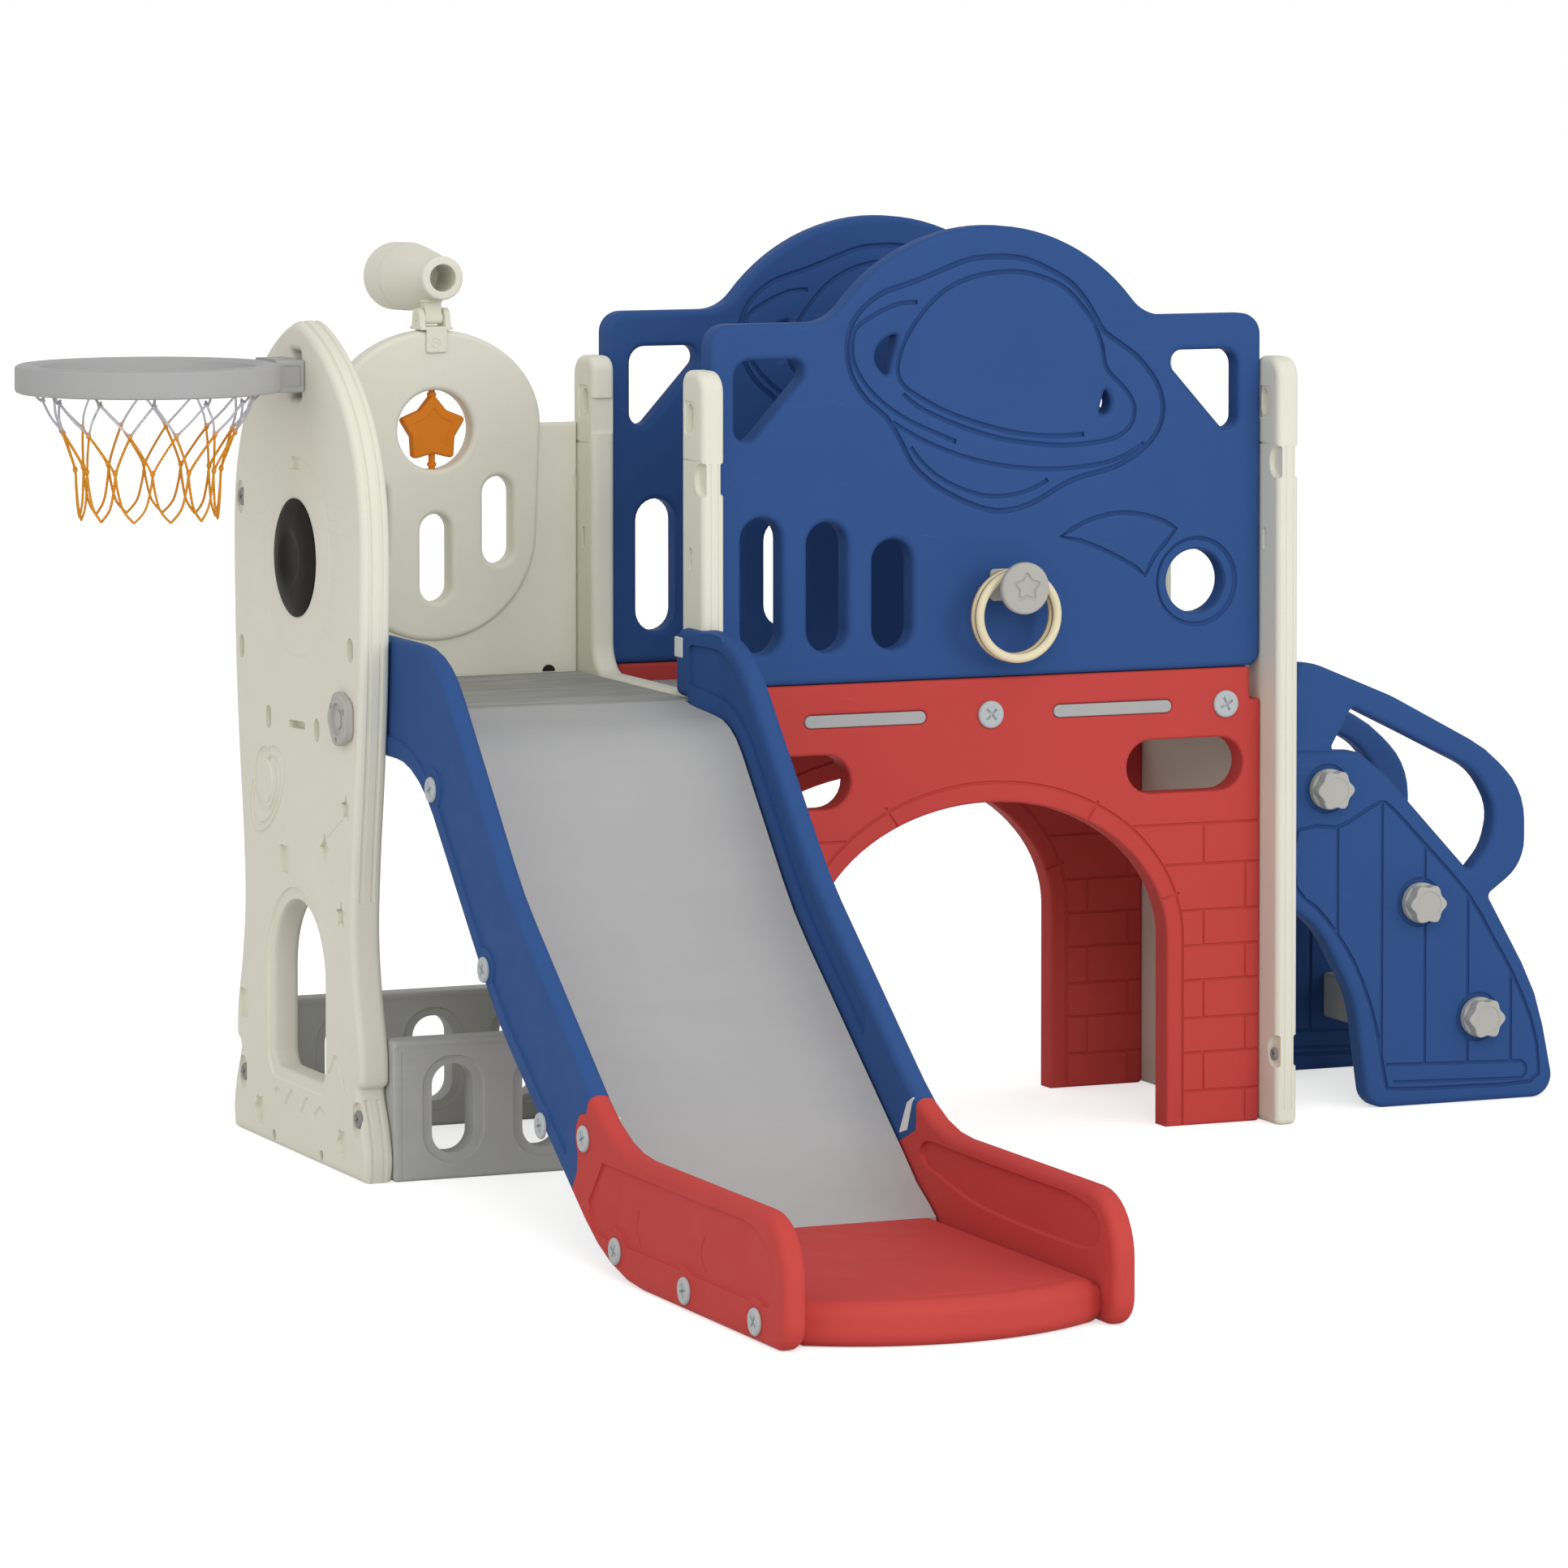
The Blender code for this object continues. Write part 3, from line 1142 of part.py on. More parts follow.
clear_scene()
PARTS = make_collection("slide_and_climber_set")
CUTTERS = make_collection("cutters")
CUTTERS.hide_render = True
CREAM_PLASTIC = make_material("cream_plastic", CREAM)
BLUE_PLASTIC = make_material("blue_plastic", BLUE)
RED_PLASTIC = make_material("red_plastic", RED)
GREY_PLASTIC = make_material("grey_plastic", GREY)
DARK_GREY_PLASTIC = make_material("dark_grey_plastic", DARK_GREY)
SMOKE_PLASTIC = make_material("smoke_plastic", SMOKE, 0.15)
ORANGE_PLASTIC = make_material("orange_plastic", ORANGE)
PALE_PLASTIC = make_material("pale_plastic", PALE)
RING_PLASTIC = make_material("ring_plastic", SAND)
NET_CORD = make_material("net_cord", NET_ORANGE, 0.8)

make_left_panel()
make_back_panel()
make_telescope()
make_platform()
make_columns()
make_bridge()
make_rails()
make_slide_bed()
make_climber()
make_hoop()
make_ring_toss()
make_arch_screws()
centre_footprint()
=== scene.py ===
import json
import logging
import math
from dataclasses import dataclass
from enum import Enum
from typing import Optional, Sequence

import bmesh
import bpy
from mathutils import Matrix, Vector

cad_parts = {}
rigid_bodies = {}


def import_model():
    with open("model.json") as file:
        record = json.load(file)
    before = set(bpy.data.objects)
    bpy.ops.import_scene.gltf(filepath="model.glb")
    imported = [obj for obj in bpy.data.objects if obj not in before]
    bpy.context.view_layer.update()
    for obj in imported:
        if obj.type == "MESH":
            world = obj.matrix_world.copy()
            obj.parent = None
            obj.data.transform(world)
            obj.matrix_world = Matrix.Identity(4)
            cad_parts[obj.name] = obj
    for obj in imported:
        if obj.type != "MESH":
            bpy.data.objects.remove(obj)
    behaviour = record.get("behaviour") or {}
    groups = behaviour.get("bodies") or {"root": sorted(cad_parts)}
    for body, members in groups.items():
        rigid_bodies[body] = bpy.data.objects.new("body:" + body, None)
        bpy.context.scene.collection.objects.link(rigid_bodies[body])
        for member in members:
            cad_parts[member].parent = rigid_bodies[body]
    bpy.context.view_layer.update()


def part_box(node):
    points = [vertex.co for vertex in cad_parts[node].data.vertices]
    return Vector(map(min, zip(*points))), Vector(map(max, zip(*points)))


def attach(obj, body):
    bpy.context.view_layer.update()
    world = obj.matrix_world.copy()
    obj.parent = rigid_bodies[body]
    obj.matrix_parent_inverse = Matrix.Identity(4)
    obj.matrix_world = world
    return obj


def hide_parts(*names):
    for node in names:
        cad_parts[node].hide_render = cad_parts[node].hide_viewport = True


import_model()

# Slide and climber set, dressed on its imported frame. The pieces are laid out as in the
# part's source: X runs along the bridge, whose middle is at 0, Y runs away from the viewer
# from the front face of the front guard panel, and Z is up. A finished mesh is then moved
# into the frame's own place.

LOG = logging.getLogger("slide_and_climber")
GAP = 0.0003
ARC_STEP = math.radians(10)
SCREW_Z = 0.5600
LAYOUT_CORNER = Vector((-0.3957, 0.0, 0.6083))
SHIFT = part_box("front_guard_panel")[0] - LAYOUT_CORNER

Loop = list[Vector]
Places = Sequence[tuple[float, float]]
Corners = Sequence[tuple[float, float, float]]
Piece = bpy.types.Object


class Plane(Enum):
    """The axis that a flat outline is square to."""

    X = "X"
    Y = "Y"
    Z = "Z"

    def turn(self) -> Matrix:
        """Return the turn from an outline's own plane to the layout."""
        if self is Plane.X:
            return Matrix(((0, 0, 1, 0), (1, 0, 0, 0), (0, 1, 0, 0), (0, 0, 0, 1)))
        if self is Plane.Y:
            return Matrix(((1, 0, 0, 0), (0, 0, -1, 0), (0, 1, 0, 0), (0, 0, 0, 1)))
        return Matrix.Identity(4)

    def place(self, a: float, b: float, along: float) -> Vector:
        """Return the layout point of an outline point at a place along the axis."""
        if self is Plane.X:
            return Vector((along, a, b))
        if self is Plane.Y:
            return Vector((a, along, b))
        return Vector((a, b, along))


class Body(Enum):
    """The bodies of the frame that a piece can ride on."""

    FRAME = "frame"
    STAR = "star"
    TELESCOPE = "telescope"
    NEAR_RING = "ring_near_panel"
    CAP_RING = "ring_near_cap"


# Outlines


def run(*places: Sequence[float]) -> Loop:
    """Return the chain of straight lines through the given places."""
    return [Vector(place) for place in places]


def rotate(vector: Vector, angle: float) -> Vector:
    """Return a 2D vector turned by an angle."""
    cosine = math.cos(angle)
    sine = math.sin(angle)
    return Vector((vector.x * cosine - vector.y * sine, vector.x * sine + vector.y * cosine))


def fillet(before: Vector, here: Vector, after: Vector, radius: float) -> Loop:
    """Round one corner of an outline.

    Args:
        before: the corner before it.
        here: the corner itself.
        after: the corner after it.
        radius: the rounding, or 0 to keep the corner.

    Returns:
        The points of the arc, or the corner alone.
    """
    to_before = (before - here).normalized()
    to_after = (after - here).normalized()
    half_angle = to_before.angle(to_after) / 2
    if radius <= 0 or half_angle > math.radians(89.5):
        return [here]
    room = 0.49 * min((before - here).length, (after - here).length)
    setback = min(radius / math.tan(half_angle), room)
    radius = setback * math.tan(half_angle)
    centre = here + (to_before + to_after).normalized() * radius / math.sin(half_angle)
    start = here + to_before * setback - centre
    sweep = math.pi - 2 * half_angle
    if start.x * (here - centre).y - start.y * (here - centre).x < 0:
        sweep = -sweep
    steps = max(2, math.ceil(abs(sweep) / ARC_STEP))
    return [centre + rotate(start, sweep * step / steps) for step in range(steps + 1)]


def rounded(corners: Corners) -> Loop:
    """Return a closed outline whose corners (a, b, radius) are arcs."""
    points: Loop = []
    count = len(corners)
    for index, (a, b, radius) in enumerate(corners):
        before = Vector(corners[index - 1][:2])
        after = Vector(corners[(index + 1) % count][:2])
        points += fillet(before, Vector((a, b)), after, radius)
    return points


def ellipse_arc(
    a: float, b: float, half_width: float, height: float, start: float, end: float, steps: int
) -> Loop:
    """Return points along part of an ellipse from one angle to another."""
    angles = [start + (end - start) * step / steps for step in range(steps + 1)]
    return [Vector((a + half_width * math.cos(t), b + height * math.sin(t))) for t in angles]


def circle(a: float, b: float, radius: float, sides: int = 40) -> Loop:
    """Return the points of a circle."""
    return ellipse_arc(a, b, radius, radius, 0.0, 2 * math.pi, sides)[:-1]


def rectangle(a0: float, a1: float, b0: float, b1: float, radius: float = 0.0) -> Loop:
    """Return a rectangle with rounded corners."""
    return rounded(((a0, b0, radius), (a1, b0, radius), (a1, b1, radius), (a0, b1, radius)))


def centred(a: float, b: float, width: float, height: float, radius: float = 0.0) -> Loop:
    """Return a rectangle with rounded corners about its middle (a, b)."""
    return rectangle(a - width / 2, a + width / 2, b - height / 2, b + height / 2, radius)


def stadium(a: float, b: float, width: float, height: float) -> Loop:
    """Return a slot with full round ends, centred on (a, b)."""
    radius = min(width, height) / 2
    reach = max(width, height) / 2 - radius
    flat = width > height
    ends: Loop = []
    for side in (1, -1):
        centre_a = a + side * reach if flat else a
        centre_b = b if flat else b + side * reach
        start = (-math.pi / 2 if flat else 0.0) + (0.0 if side > 0 else math.pi)
        ends += ellipse_arc(centre_a, centre_b, radius, radius, start, start + math.pi, 12)
    return ends


def lobed(a: float, b: float, radius: float, lobe: float, lobes: int, sides: int = 48) -> Loop:
    """Return a circle whose radius swells into a number of lobes."""
    points: Loop = []
    for side in range(sides):
        angle = 2 * math.pi * side / sides
        reach = radius + lobe * math.cos(lobes * angle)
        points.append(Vector((a + reach * math.cos(angle), b + reach * math.sin(angle))))
    return points


def star(a: float, b: float, radius: float, waist: float, tips: int = 5, corner: float = 0.0) -> Loop:
    """Return a star that stands on two tips, with an optional rounding at tips and waist."""
    corners = []
    for index in range(2 * tips):
        angle = math.pi / 2 + index * math.pi / tips
        reach = radius if index % 2 == 0 else radius * waist
        corners.append((a + reach * math.cos(angle), b + reach * math.sin(angle), corner))
    return rounded(corners)


def smooth(stations: Sequence[Sequence[float]], steps: int = 3, closed: bool = False) -> Loop:
    """Return a smooth chain through the given stations.

    Args:
        stations: the places that the chain passes through.
        steps: how many points are made for each station.
        closed: whether the chain runs back to its start.

    Returns:
        The points of the chain.
    """
    points: Loop = []
    count = len(stations)
    last = count if closed else count - 1
    for index in range(last):
        if closed:
            p0, p1, p2, p3 = (Vector(stations[(index + k) % count]) for k in (-1, 0, 1, 2))
        else:
            p0, p1 = Vector(stations[max(index - 1, 0)]), Vector(stations[index])
            p2, p3 = Vector(stations[index + 1]), Vector(stations[min(index + 2, count - 1)])
        for step in range(steps):
            t = step / steps
            points.append(
                0.5 * (2 * p1 + (p2 - p0) * t + (2 * p0 - 5 * p1 + 4 * p2 - p3) * t ** 2
                       + (3 * p1 - p0 - 3 * p2 + p3) * t ** 3)
            )
    if not closed:
        points.append(Vector(stations[-1]))
    return points


def lowered(chain: Loop, depth: float) -> Loop:
    """Return an open chain moved down square to itself, with its ends straight below."""
    moved: Loop = []
    last = len(chain) - 1
    for index, point in enumerate(chain):
        along = (chain[min(index + 1, last)] - chain[max(index - 1, 0)]).normalized()
        moved.append(point + Vector((-along.y, along.x)) * depth)
    moved[0].x = chain[0].x
    moved[-1].x = chain[-1].x
    return moved


# Solids


def link(name: str, data: bpy.types.ID) -> Piece:
    """Put mesh or curve data into a new object in the scene."""
    piece = bpy.data.objects.new(name, data)
    bpy.context.scene.collection.objects.link(piece)
    return piece


def tidy(mesh: bpy.types.Mesh) -> bpy.types.Mesh:
    """Merge the doubles of a closed mesh and turn its faces outward."""
    shape = bmesh.new()
    shape.from_mesh(mesh)
    bmesh.ops.remove_doubles(shape, verts=shape.verts, dist=0.00001)
    bmesh.ops.dissolve_degenerate(shape, dist=0.000005, edges=shape.edges)
    bmesh.ops.recalc_face_normals(shape, faces=shape.faces)
    shape.to_mesh(mesh)
    shape.free()
    return mesh


def settle(piece: Piece) -> Piece:
    """Replace a curve or a piece with modifiers by a plain mesh piece in the same place."""
    graph = bpy.context.evaluated_depsgraph_get()
    graph.update()
    mesh = bpy.data.meshes.new_from_object(piece.evaluated_get(graph))
    mesh.transform(piece.matrix_world)
    bpy.data.objects.remove(piece, do_unlink=True)
    return link("solid", tidy(mesh))


def from_shape(shape: bmesh.types.BMesh) -> Piece:
    """Put a bmesh into a new piece and free it."""
    mesh = bpy.data.meshes.new("solid")
    shape.to_mesh(mesh)
    shape.free()
    return link("solid", mesh)


def plate(
    outline: Loop, plane: Plane, low: float, high: float, holes: Sequence[Loop] = (),
    rounding: float = 0.0, grow: float = 0.0, steps: int = 2,
) -> Piece:
    """Make a flat solid with rounded rims.

    Args:
        outline: the outside, in the plane square to an axis.
        plane: that axis.
        low: where the solid starts along the axis.
        high: where it ends.
        holes: outlines of through holes.
        rounding: the radius of the rims, also at the holes.
        grow: how far the outline is moved outward first.
        steps: how finely the rims are rounded.

    Returns:
        The solid.
    """
    curve = bpy.data.curves.new("plate", "CURVE")
    curve.dimensions = "2D"
    curve.fill_mode = "BOTH"
    curve.extrude = (high - low) / 2 - rounding
    curve.bevel_depth = rounding
    curve.bevel_resolution = steps
    curve.offset = grow - rounding
    for loop in (outline, *holes):
        spline = curve.splines.new("POLY")
        spline.points.add(len(loop) - 1)
        for point, place in zip(spline.points, loop):
            point.co = (place.x, place.y, 0.0, 1.0)
        spline.use_cyclic_u = True
    piece = link("plate", curve)
    middle = (low + high) / 2 * (-1 if plane is Plane.Y else 1)
    piece.matrix_world = plane.turn() @ Matrix.Translation((0, 0, middle))
    bpy.context.view_layer.update()
    return settle(piece)


def tube(points: Sequence[Vector], radius: float, closed: bool = False, sides: int = 2) -> Piece:
    """Make a round tube with filled ends along a path of layout points."""
    curve = bpy.data.curves.new("tube", "CURVE")
    curve.dimensions = "3D"
    curve.bevel_depth = radius
    curve.bevel_resolution = sides
    curve.use_fill_caps = not closed
    spline = curve.splines.new("POLY")
    spline.points.add(len(points) - 1)
    for point, place in zip(spline.points, points):
        point.co = (*place, 1.0)
    spline.use_cyclic_u = closed
    return settle(link("tube", curve))


def turned(profile: Places, place: Matrix, sides: int = 48) -> Piece:
    """Spin a (radius, height) profile about a placed local Z axis.

    Args:
        profile: the places that the outline passes through, closed on the axis or on itself.
        place: where the axis stands.
        sides: how many steps make the turn.

    Returns:
        The closed solid of revolution.
    """
    shape = bmesh.new()
    verts = [shape.verts.new((radius, 0.0, height)) for radius, height in profile]
    edges = [shape.edges.new(pair) for pair in zip(verts, verts[1:])]
    if profile[0][0] > 0:
        edges.append(shape.edges.new((verts[-1], verts[0])))
    bmesh.ops.spin(
        shape, geom=verts + edges, cent=(0, 0, 0), axis=(0, 0, 1), angle=2 * math.pi,
        steps=sides, use_merge=True,
    )
    bmesh.ops.remove_doubles(shape, verts=shape.verts, dist=0.00001)
    bmesh.ops.recalc_face_normals(shape, faces=shape.faces)
    bmesh.ops.transform(shape, matrix=place, verts=shape.verts)
    return from_shape(shape)


def block(
    x: tuple[float, float], y: tuple[float, float], z: tuple[float, float], rounding: float = 0.0
) -> Piece:
    """Make a block from three (low, high) pairs, with all its edges rounded."""
    low, high = Vector((x[0], y[0], z[0])), Vector((x[1], y[1], z[1]))
    shape = bmesh.new()
    place = Matrix.Translation((low + high) / 2) @ Matrix.Diagonal((*(high - low), 1.0))
    bmesh.ops.create_cube(shape, size=1.0, matrix=place)
    if rounding > 0:
        bmesh.ops.bevel(
            shape, geom=shape.edges[:], offset=rounding, segments=3, profile=0.5,
            affect="EDGES", material=-1,
        )
    return from_shape(shape)


def rod(
    plane: Plane, centre: Vector, radius: float, length: float, rounding: float, sides: int = 32
) -> Piece:
    """Make a round bar along an axis with rounded ends."""
    half = length / 2
    soft = rounding * 0.3
    profile = [
        (0.0, -half), (radius - rounding, -half), (radius - soft, -half + soft), (radius, -half + rounding),
        (radius, half - rounding), (radius - soft, half - soft), (radius - rounding, half), (0.0, half),
    ]
    return turned(profile, Matrix.Translation(centre) @ plane.turn(), sides)


def joined(pieces: Sequence[Piece]) -> Piece:
    """Put several closed shells into one piece."""
    shape = bmesh.new()
    for piece in pieces:
        shape.from_mesh(piece.data)
        bpy.data.objects.remove(piece, do_unlink=True)
    return from_shape(shape)


def carved(body: Piece, cutters: Sequence[Piece], operation: str = "DIFFERENCE") -> Piece:
    """Cut a group of solids out of a body.

    Args:
        body: the piece to cut.
        cutters: the solids to remove from it, which are used up.
        operation: the kind of Boolean.

    Returns:
        The cut piece.
    """
    tools = bpy.data.collections.new("cutters")
    bpy.context.scene.collection.children.link(tools)
    for cutter in cutters:
        bpy.context.scene.collection.objects.unlink(cutter)
        tools.objects.link(cutter)
    cut = body.modifiers.new("Carve", "BOOLEAN")
    cut.operation = operation
    cut.operand_type = "COLLECTION"
    cut.collection = tools
    cut.solver = "EXACT"
    cut.use_self = True
    result = settle(body)
    for cutter in list(tools.objects):
        bpy.data.objects.remove(cutter, do_unlink=True)
    bpy.data.collections.remove(tools)
    return result


@dataclass(frozen=True)
class Face:
    """One flat face of a panel, on which grooves, pockets and bosses are laid out."""

    plane: Plane
    at: float
    outward: int

    def slab(self, inside: float, outside: float) -> tuple[float, float]:
        """Return the low and high place of a slab that reaches inside and outside."""
        ends = (self.at - self.outward * inside, self.at + self.outward * outside)
        return min(ends), max(ends)

    def pocket(self, outline: Loop, depth: float, rounding: float = 0.001, grow: float = 0.0) -> Piece:
        """Return the cutter of a recess with a rounded bottom edge."""
        low, high = self.slab(depth, 2 * rounding + 0.002)
        return plate(outline, self.plane, low, high, (), rounding, grow, 1)

    def boss(self, outline: Loop, height: float, rounding: float, root: float = 0.001) -> Piece:
        """Return a raised field with a rounded rim, rooted below the face."""
        low, high = self.slab(max(root, rounding + 0.0005), height)
        return plate(outline, self.plane, low, high, (), rounding, 0.0, 2)

    def groove(self, path: Loop, width: float, depth: float, closed: bool = False) -> Piece:
        """Return the round cutter of a soft groove along a path."""
        radius = (width ** 2 / 4 + depth ** 2) / (2 * depth)
        along = self.at + self.outward * (radius - depth)
        points = [self.plane.place(point.x, point.y, along) for point in path]
        return tube(points, radius, closed, 2)

    def trough(self, path: Loop, width: float, depth: float, closed: bool = False) -> list[Piece]:
        """Return the cutters of a groove whose shoulders are soft and whose middle is narrow and deep."""
        radius = depth / 1.5
        along = self.at - self.outward * radius * 0.5
        points = [self.plane.place(point.x, point.y, along) for point in path]
        return [self.groove(path, width, depth * 0.35, closed), tube(points, radius, closed, 2)]

    def line(self, first: Sequence[float], second: Sequence[float], width: float, depth: float) -> Piece:
        """Return the cutter of a straight groove between two places."""
        return self.groove(run(first, second), width, depth)


def both_faces(plane: Plane, start: float, end: float) -> tuple[Face, Face]:
    """Return the low and the high face of a panel that lies between two places."""
    return Face(plane, start, -1), Face(plane, end, 1)


# Finishes


def linear(colour: tuple[int, int, int]) -> tuple[float, float, float, float]:
    """Return a display colour, 0 to 255 a channel, as linear light with full cover."""
    values = [channel / 255 for channel in colour]
    light = [v / 12.92 if v <= 0.04045 else ((v + 0.055) / 1.055) ** 2.4 for v in values]
    return (light[0], light[1], light[2], 1.0)


class Graph:
    """A node tree with short calls to add and join its nodes."""

    def __init__(self, tree: bpy.types.NodeTree) -> None:
        """Start with a tree."""
        self.tree = tree

    def add(self, kind: str, settings: Optional[dict] = None, **values: object) -> bpy.types.Node:
        """Add a node.

        Args:
            kind: the node's type.
            settings: its own properties by name.
            **values: its input values or the sockets that feed them, by input name with _ for a space.

        Returns:
            The node.
        """
        node = self.tree.nodes.new(kind)
        for key, value in (settings or {}).items():
            setattr(node, key, value)
        for key, value in values.items():
            numbered = key[0] == "i" and key[1:].isdigit()
            socket = node.inputs[int(key[1:]) if numbered else key.replace("_", " ")]
            if isinstance(value, bpy.types.NodeSocket):
                self.tree.links.new(value, socket)
            else:
                socket.default_value = value
        return node

    def maths(self, operation: str, first: object, second: object = 0.0) -> bpy.types.NodeSocket:
        """Return the result of a calculation on two values."""
        return self.add("ShaderNodeMath", {"operation": operation}, i0=first, i1=second).outputs[0]

    def scaled(self, first: object, second: object, third: object) -> bpy.types.NodeSocket:
        """Return the first value times the second, plus the third."""
        return self.add(
            "ShaderNodeMath", {"operation": "MULTIPLY_ADD"}, i0=first, i1=second, i2=third
        ).outputs[0]

    def mix(self, factor: object, first: object, second: object) -> bpy.types.NodeSocket:
        """Return the blend of two colours."""
        return self.add(
            "ShaderNodeMix", {"data_type": "RGBA"}, Factor=factor, i6=first, i7=second
        ).outputs[2]

    def link(self, feeds: dict[str, bpy.types.NodeSocket], shader: bpy.types.Node) -> None:
        """Feed a shader's sockets, given by name."""
        for label, socket in feeds.items():
            self.tree.links.new(socket, shader.inputs[label])

    def seen(self) -> bpy.types.NodeSocket:
        """Return 1 where a surface is seen directly, in a reflection or through glass."""
        path = self.add("ShaderNodeLightPath").outputs
        indirect = self.maths("MAXIMUM", path["Is Glossy Ray"], path["Is Transmission Ray"])
        return self.maths("MAXIMUM", path["Is Camera Ray"], indirect)

    def skin(self, place: object, colour: object, cloud: float, rub: float, roughness: float,
             strength: float, peel: float) -> dict[str, bpy.types.NodeSocket]:
        """Add the skin of moulded plastic.

        Args:
            place: where the pattern is read.
            colour: the plastic's colour.
            cloud: how far the clouding goes.
            rub: how strong the rubs are.
            roughness: the roughness without them.
            strength: how strong the orange peel is.
            peel: how high it stands.

        Returns:
            What feeds the shader, by socket name.
        """
        skin = self.add(
            "ShaderNodeGroup", {"node_tree": moulded_skin()}, Place=place, Colour=colour,
            Cloud=cloud, Rub=rub, Roughness=roughness,
        ).outputs
        bump = self.add("ShaderNodeBump", None, Strength=strength, Distance=peel, Height=skin["Height"])
        return {
            "Base Color": skin["Colour"], "Roughness": skin["Roughness"], "Normal": bump.outputs["Normal"]
        }

    def spread(
        self, value: object, low: float, high: float, to_low: float, to_high: float
    ) -> bpy.types.NodeSocket:
        """Return a value mapped from one range to another and held inside it."""
        settings = {"interpolation_type": "SMOOTHSTEP"}
        node = self.add(
            "ShaderNodeMapRange", settings, Value=value, From_Min=low, From_Max=high,
            To_Min=to_low, To_Max=to_high,
        )
        return node.outputs[0]

    def noise(
        self, place: object, scale: float, detail: float = 2.0, distortion: float = 0.0
    ) -> bpy.types.NodeSocket:
        """Return a noise value, 0 to 1, at a scale in cycles to the metre."""
        return self.add(
            "ShaderNodeTexNoise", None, Vector=place, Scale=scale, Detail=detail, Distortion=distortion
        ).outputs["Fac"]


def open_group(name: str, inputs: Sequence[tuple[str, str]], outputs: Sequence[tuple[str, str]]) -> Graph:
    """Start a shader node group with named sockets and return its graph."""
    tree = bpy.data.node_groups.new(name, "ShaderNodeTree")
    for label, kind in inputs:
        tree.interface.new_socket(name=label, in_out="INPUT", socket_type=kind)
    for label, kind in outputs:
        tree.interface.new_socket(name=label, in_out="OUTPUT", socket_type=kind)
    return Graph(tree)


FLOAT = "NodeSocketFloat"
COLOUR = "NodeSocketColor"
VECTOR = "NodeSocketVector"


def moulded_skin() -> bpy.types.NodeTree:
    """Return the skin of moulded plastic: clouding, orange peel, fine grain and light rubs."""
    known = bpy.data.node_groups.get("moulded_skin")
    if known:
        return known
    graph = open_group(
        "moulded_skin",
        (("Place", VECTOR), ("Colour", COLOUR), ("Cloud", FLOAT), ("Rub", FLOAT), ("Roughness", FLOAT)),
        (("Colour", COLOUR), ("Roughness", FLOAT), ("Height", FLOAT)),
    )
    given = graph.add("NodeGroupInput").outputs
    place = given["Place"]
    cloud = graph.spread(graph.noise(place, 7.0, 4.0, 0.6), 0.30, 0.70, -1.0, 1.0)
    speck = graph.spread(graph.noise(place, 420.0, 2.0), 0.35, 0.65, -1.0, 1.0)
    shade = graph.scaled(cloud, given["Cloud"], 1.0)
    fine = graph.scaled(speck, 0.008, shade)
    toned = graph.add("ShaderNodeVectorMath", {"operation": "SCALE"}, i0=given["Colour"], Scale=fine)
    long_place = graph.add(
        "ShaderNodeMapping", None, Vector=place, Rotation=(0.5, 0.3, 0.9), Scale=(14.0, 260.0, 90.0)
    )
    scratch = graph.spread(graph.noise(long_place.outputs[0], 1.0, 3.0, 0.4), 0.66, 0.72, 0.0, 1.0)
    patch = graph.spread(graph.noise(place, 5.0, 3.0), 0.50, 0.66, 0.0, 1.0)
    rub = graph.maths("MULTIPLY", graph.maths("MULTIPLY", scratch, patch), given["Rub"])
    worn = graph.mix(graph.maths("MULTIPLY", rub, 0.025), toned.outputs[0], (0.85, 0.85, 0.83, 1.0))
    haze = graph.spread(graph.noise(place, 26.0, 3.0), 0.3, 0.7, -0.05, 0.05)
    rough = graph.maths(
        "ADD", graph.maths("ADD", given["Roughness"], haze), graph.maths("MULTIPLY", rub, 0.20)
    )
    peel = graph.maths("MULTIPLY", graph.noise(place, 180.0, 1.0), 0.7)
    grain = graph.maths("MULTIPLY", graph.noise(place, 1400.0, 2.0), 0.3)
    height = graph.maths("SUBTRACT", graph.maths("ADD", peel, grain), graph.maths("MULTIPLY", rub, 0.5))
    graph.add("NodeGroupOutput", None, Colour=worn, Roughness=rough, Height=height)
    return graph.tree


def flow_marks() -> bpy.types.NodeTree:
    """Return the long, soft flow marks of blow-moulded plastic as a mask from 0 to 1."""
    known = bpy.data.node_groups.get("flow_marks")
    if known:
        return known
    graph = open_group("flow_marks", (("Place", VECTOR), ("Scale", FLOAT)), (("Mask", FLOAT),))
    given = graph.add("NodeGroupInput").outputs
    place = graph.add("ShaderNodeMapping", None, Vector=given["Place"], Scale=(1.0, 7.0, 5.0))
    bent = graph.add(
        "ShaderNodeTexNoise", None, Vector=place.outputs[0], Scale=given["Scale"], Detail=5.0, Distortion=1.6
    )
    mask = graph.spread(bent.outputs["Fac"], 0.38, 0.66, 0.0, 1.0)
    graph.add("NodeGroupOutput", None, Mask=mask)
    return graph.tree


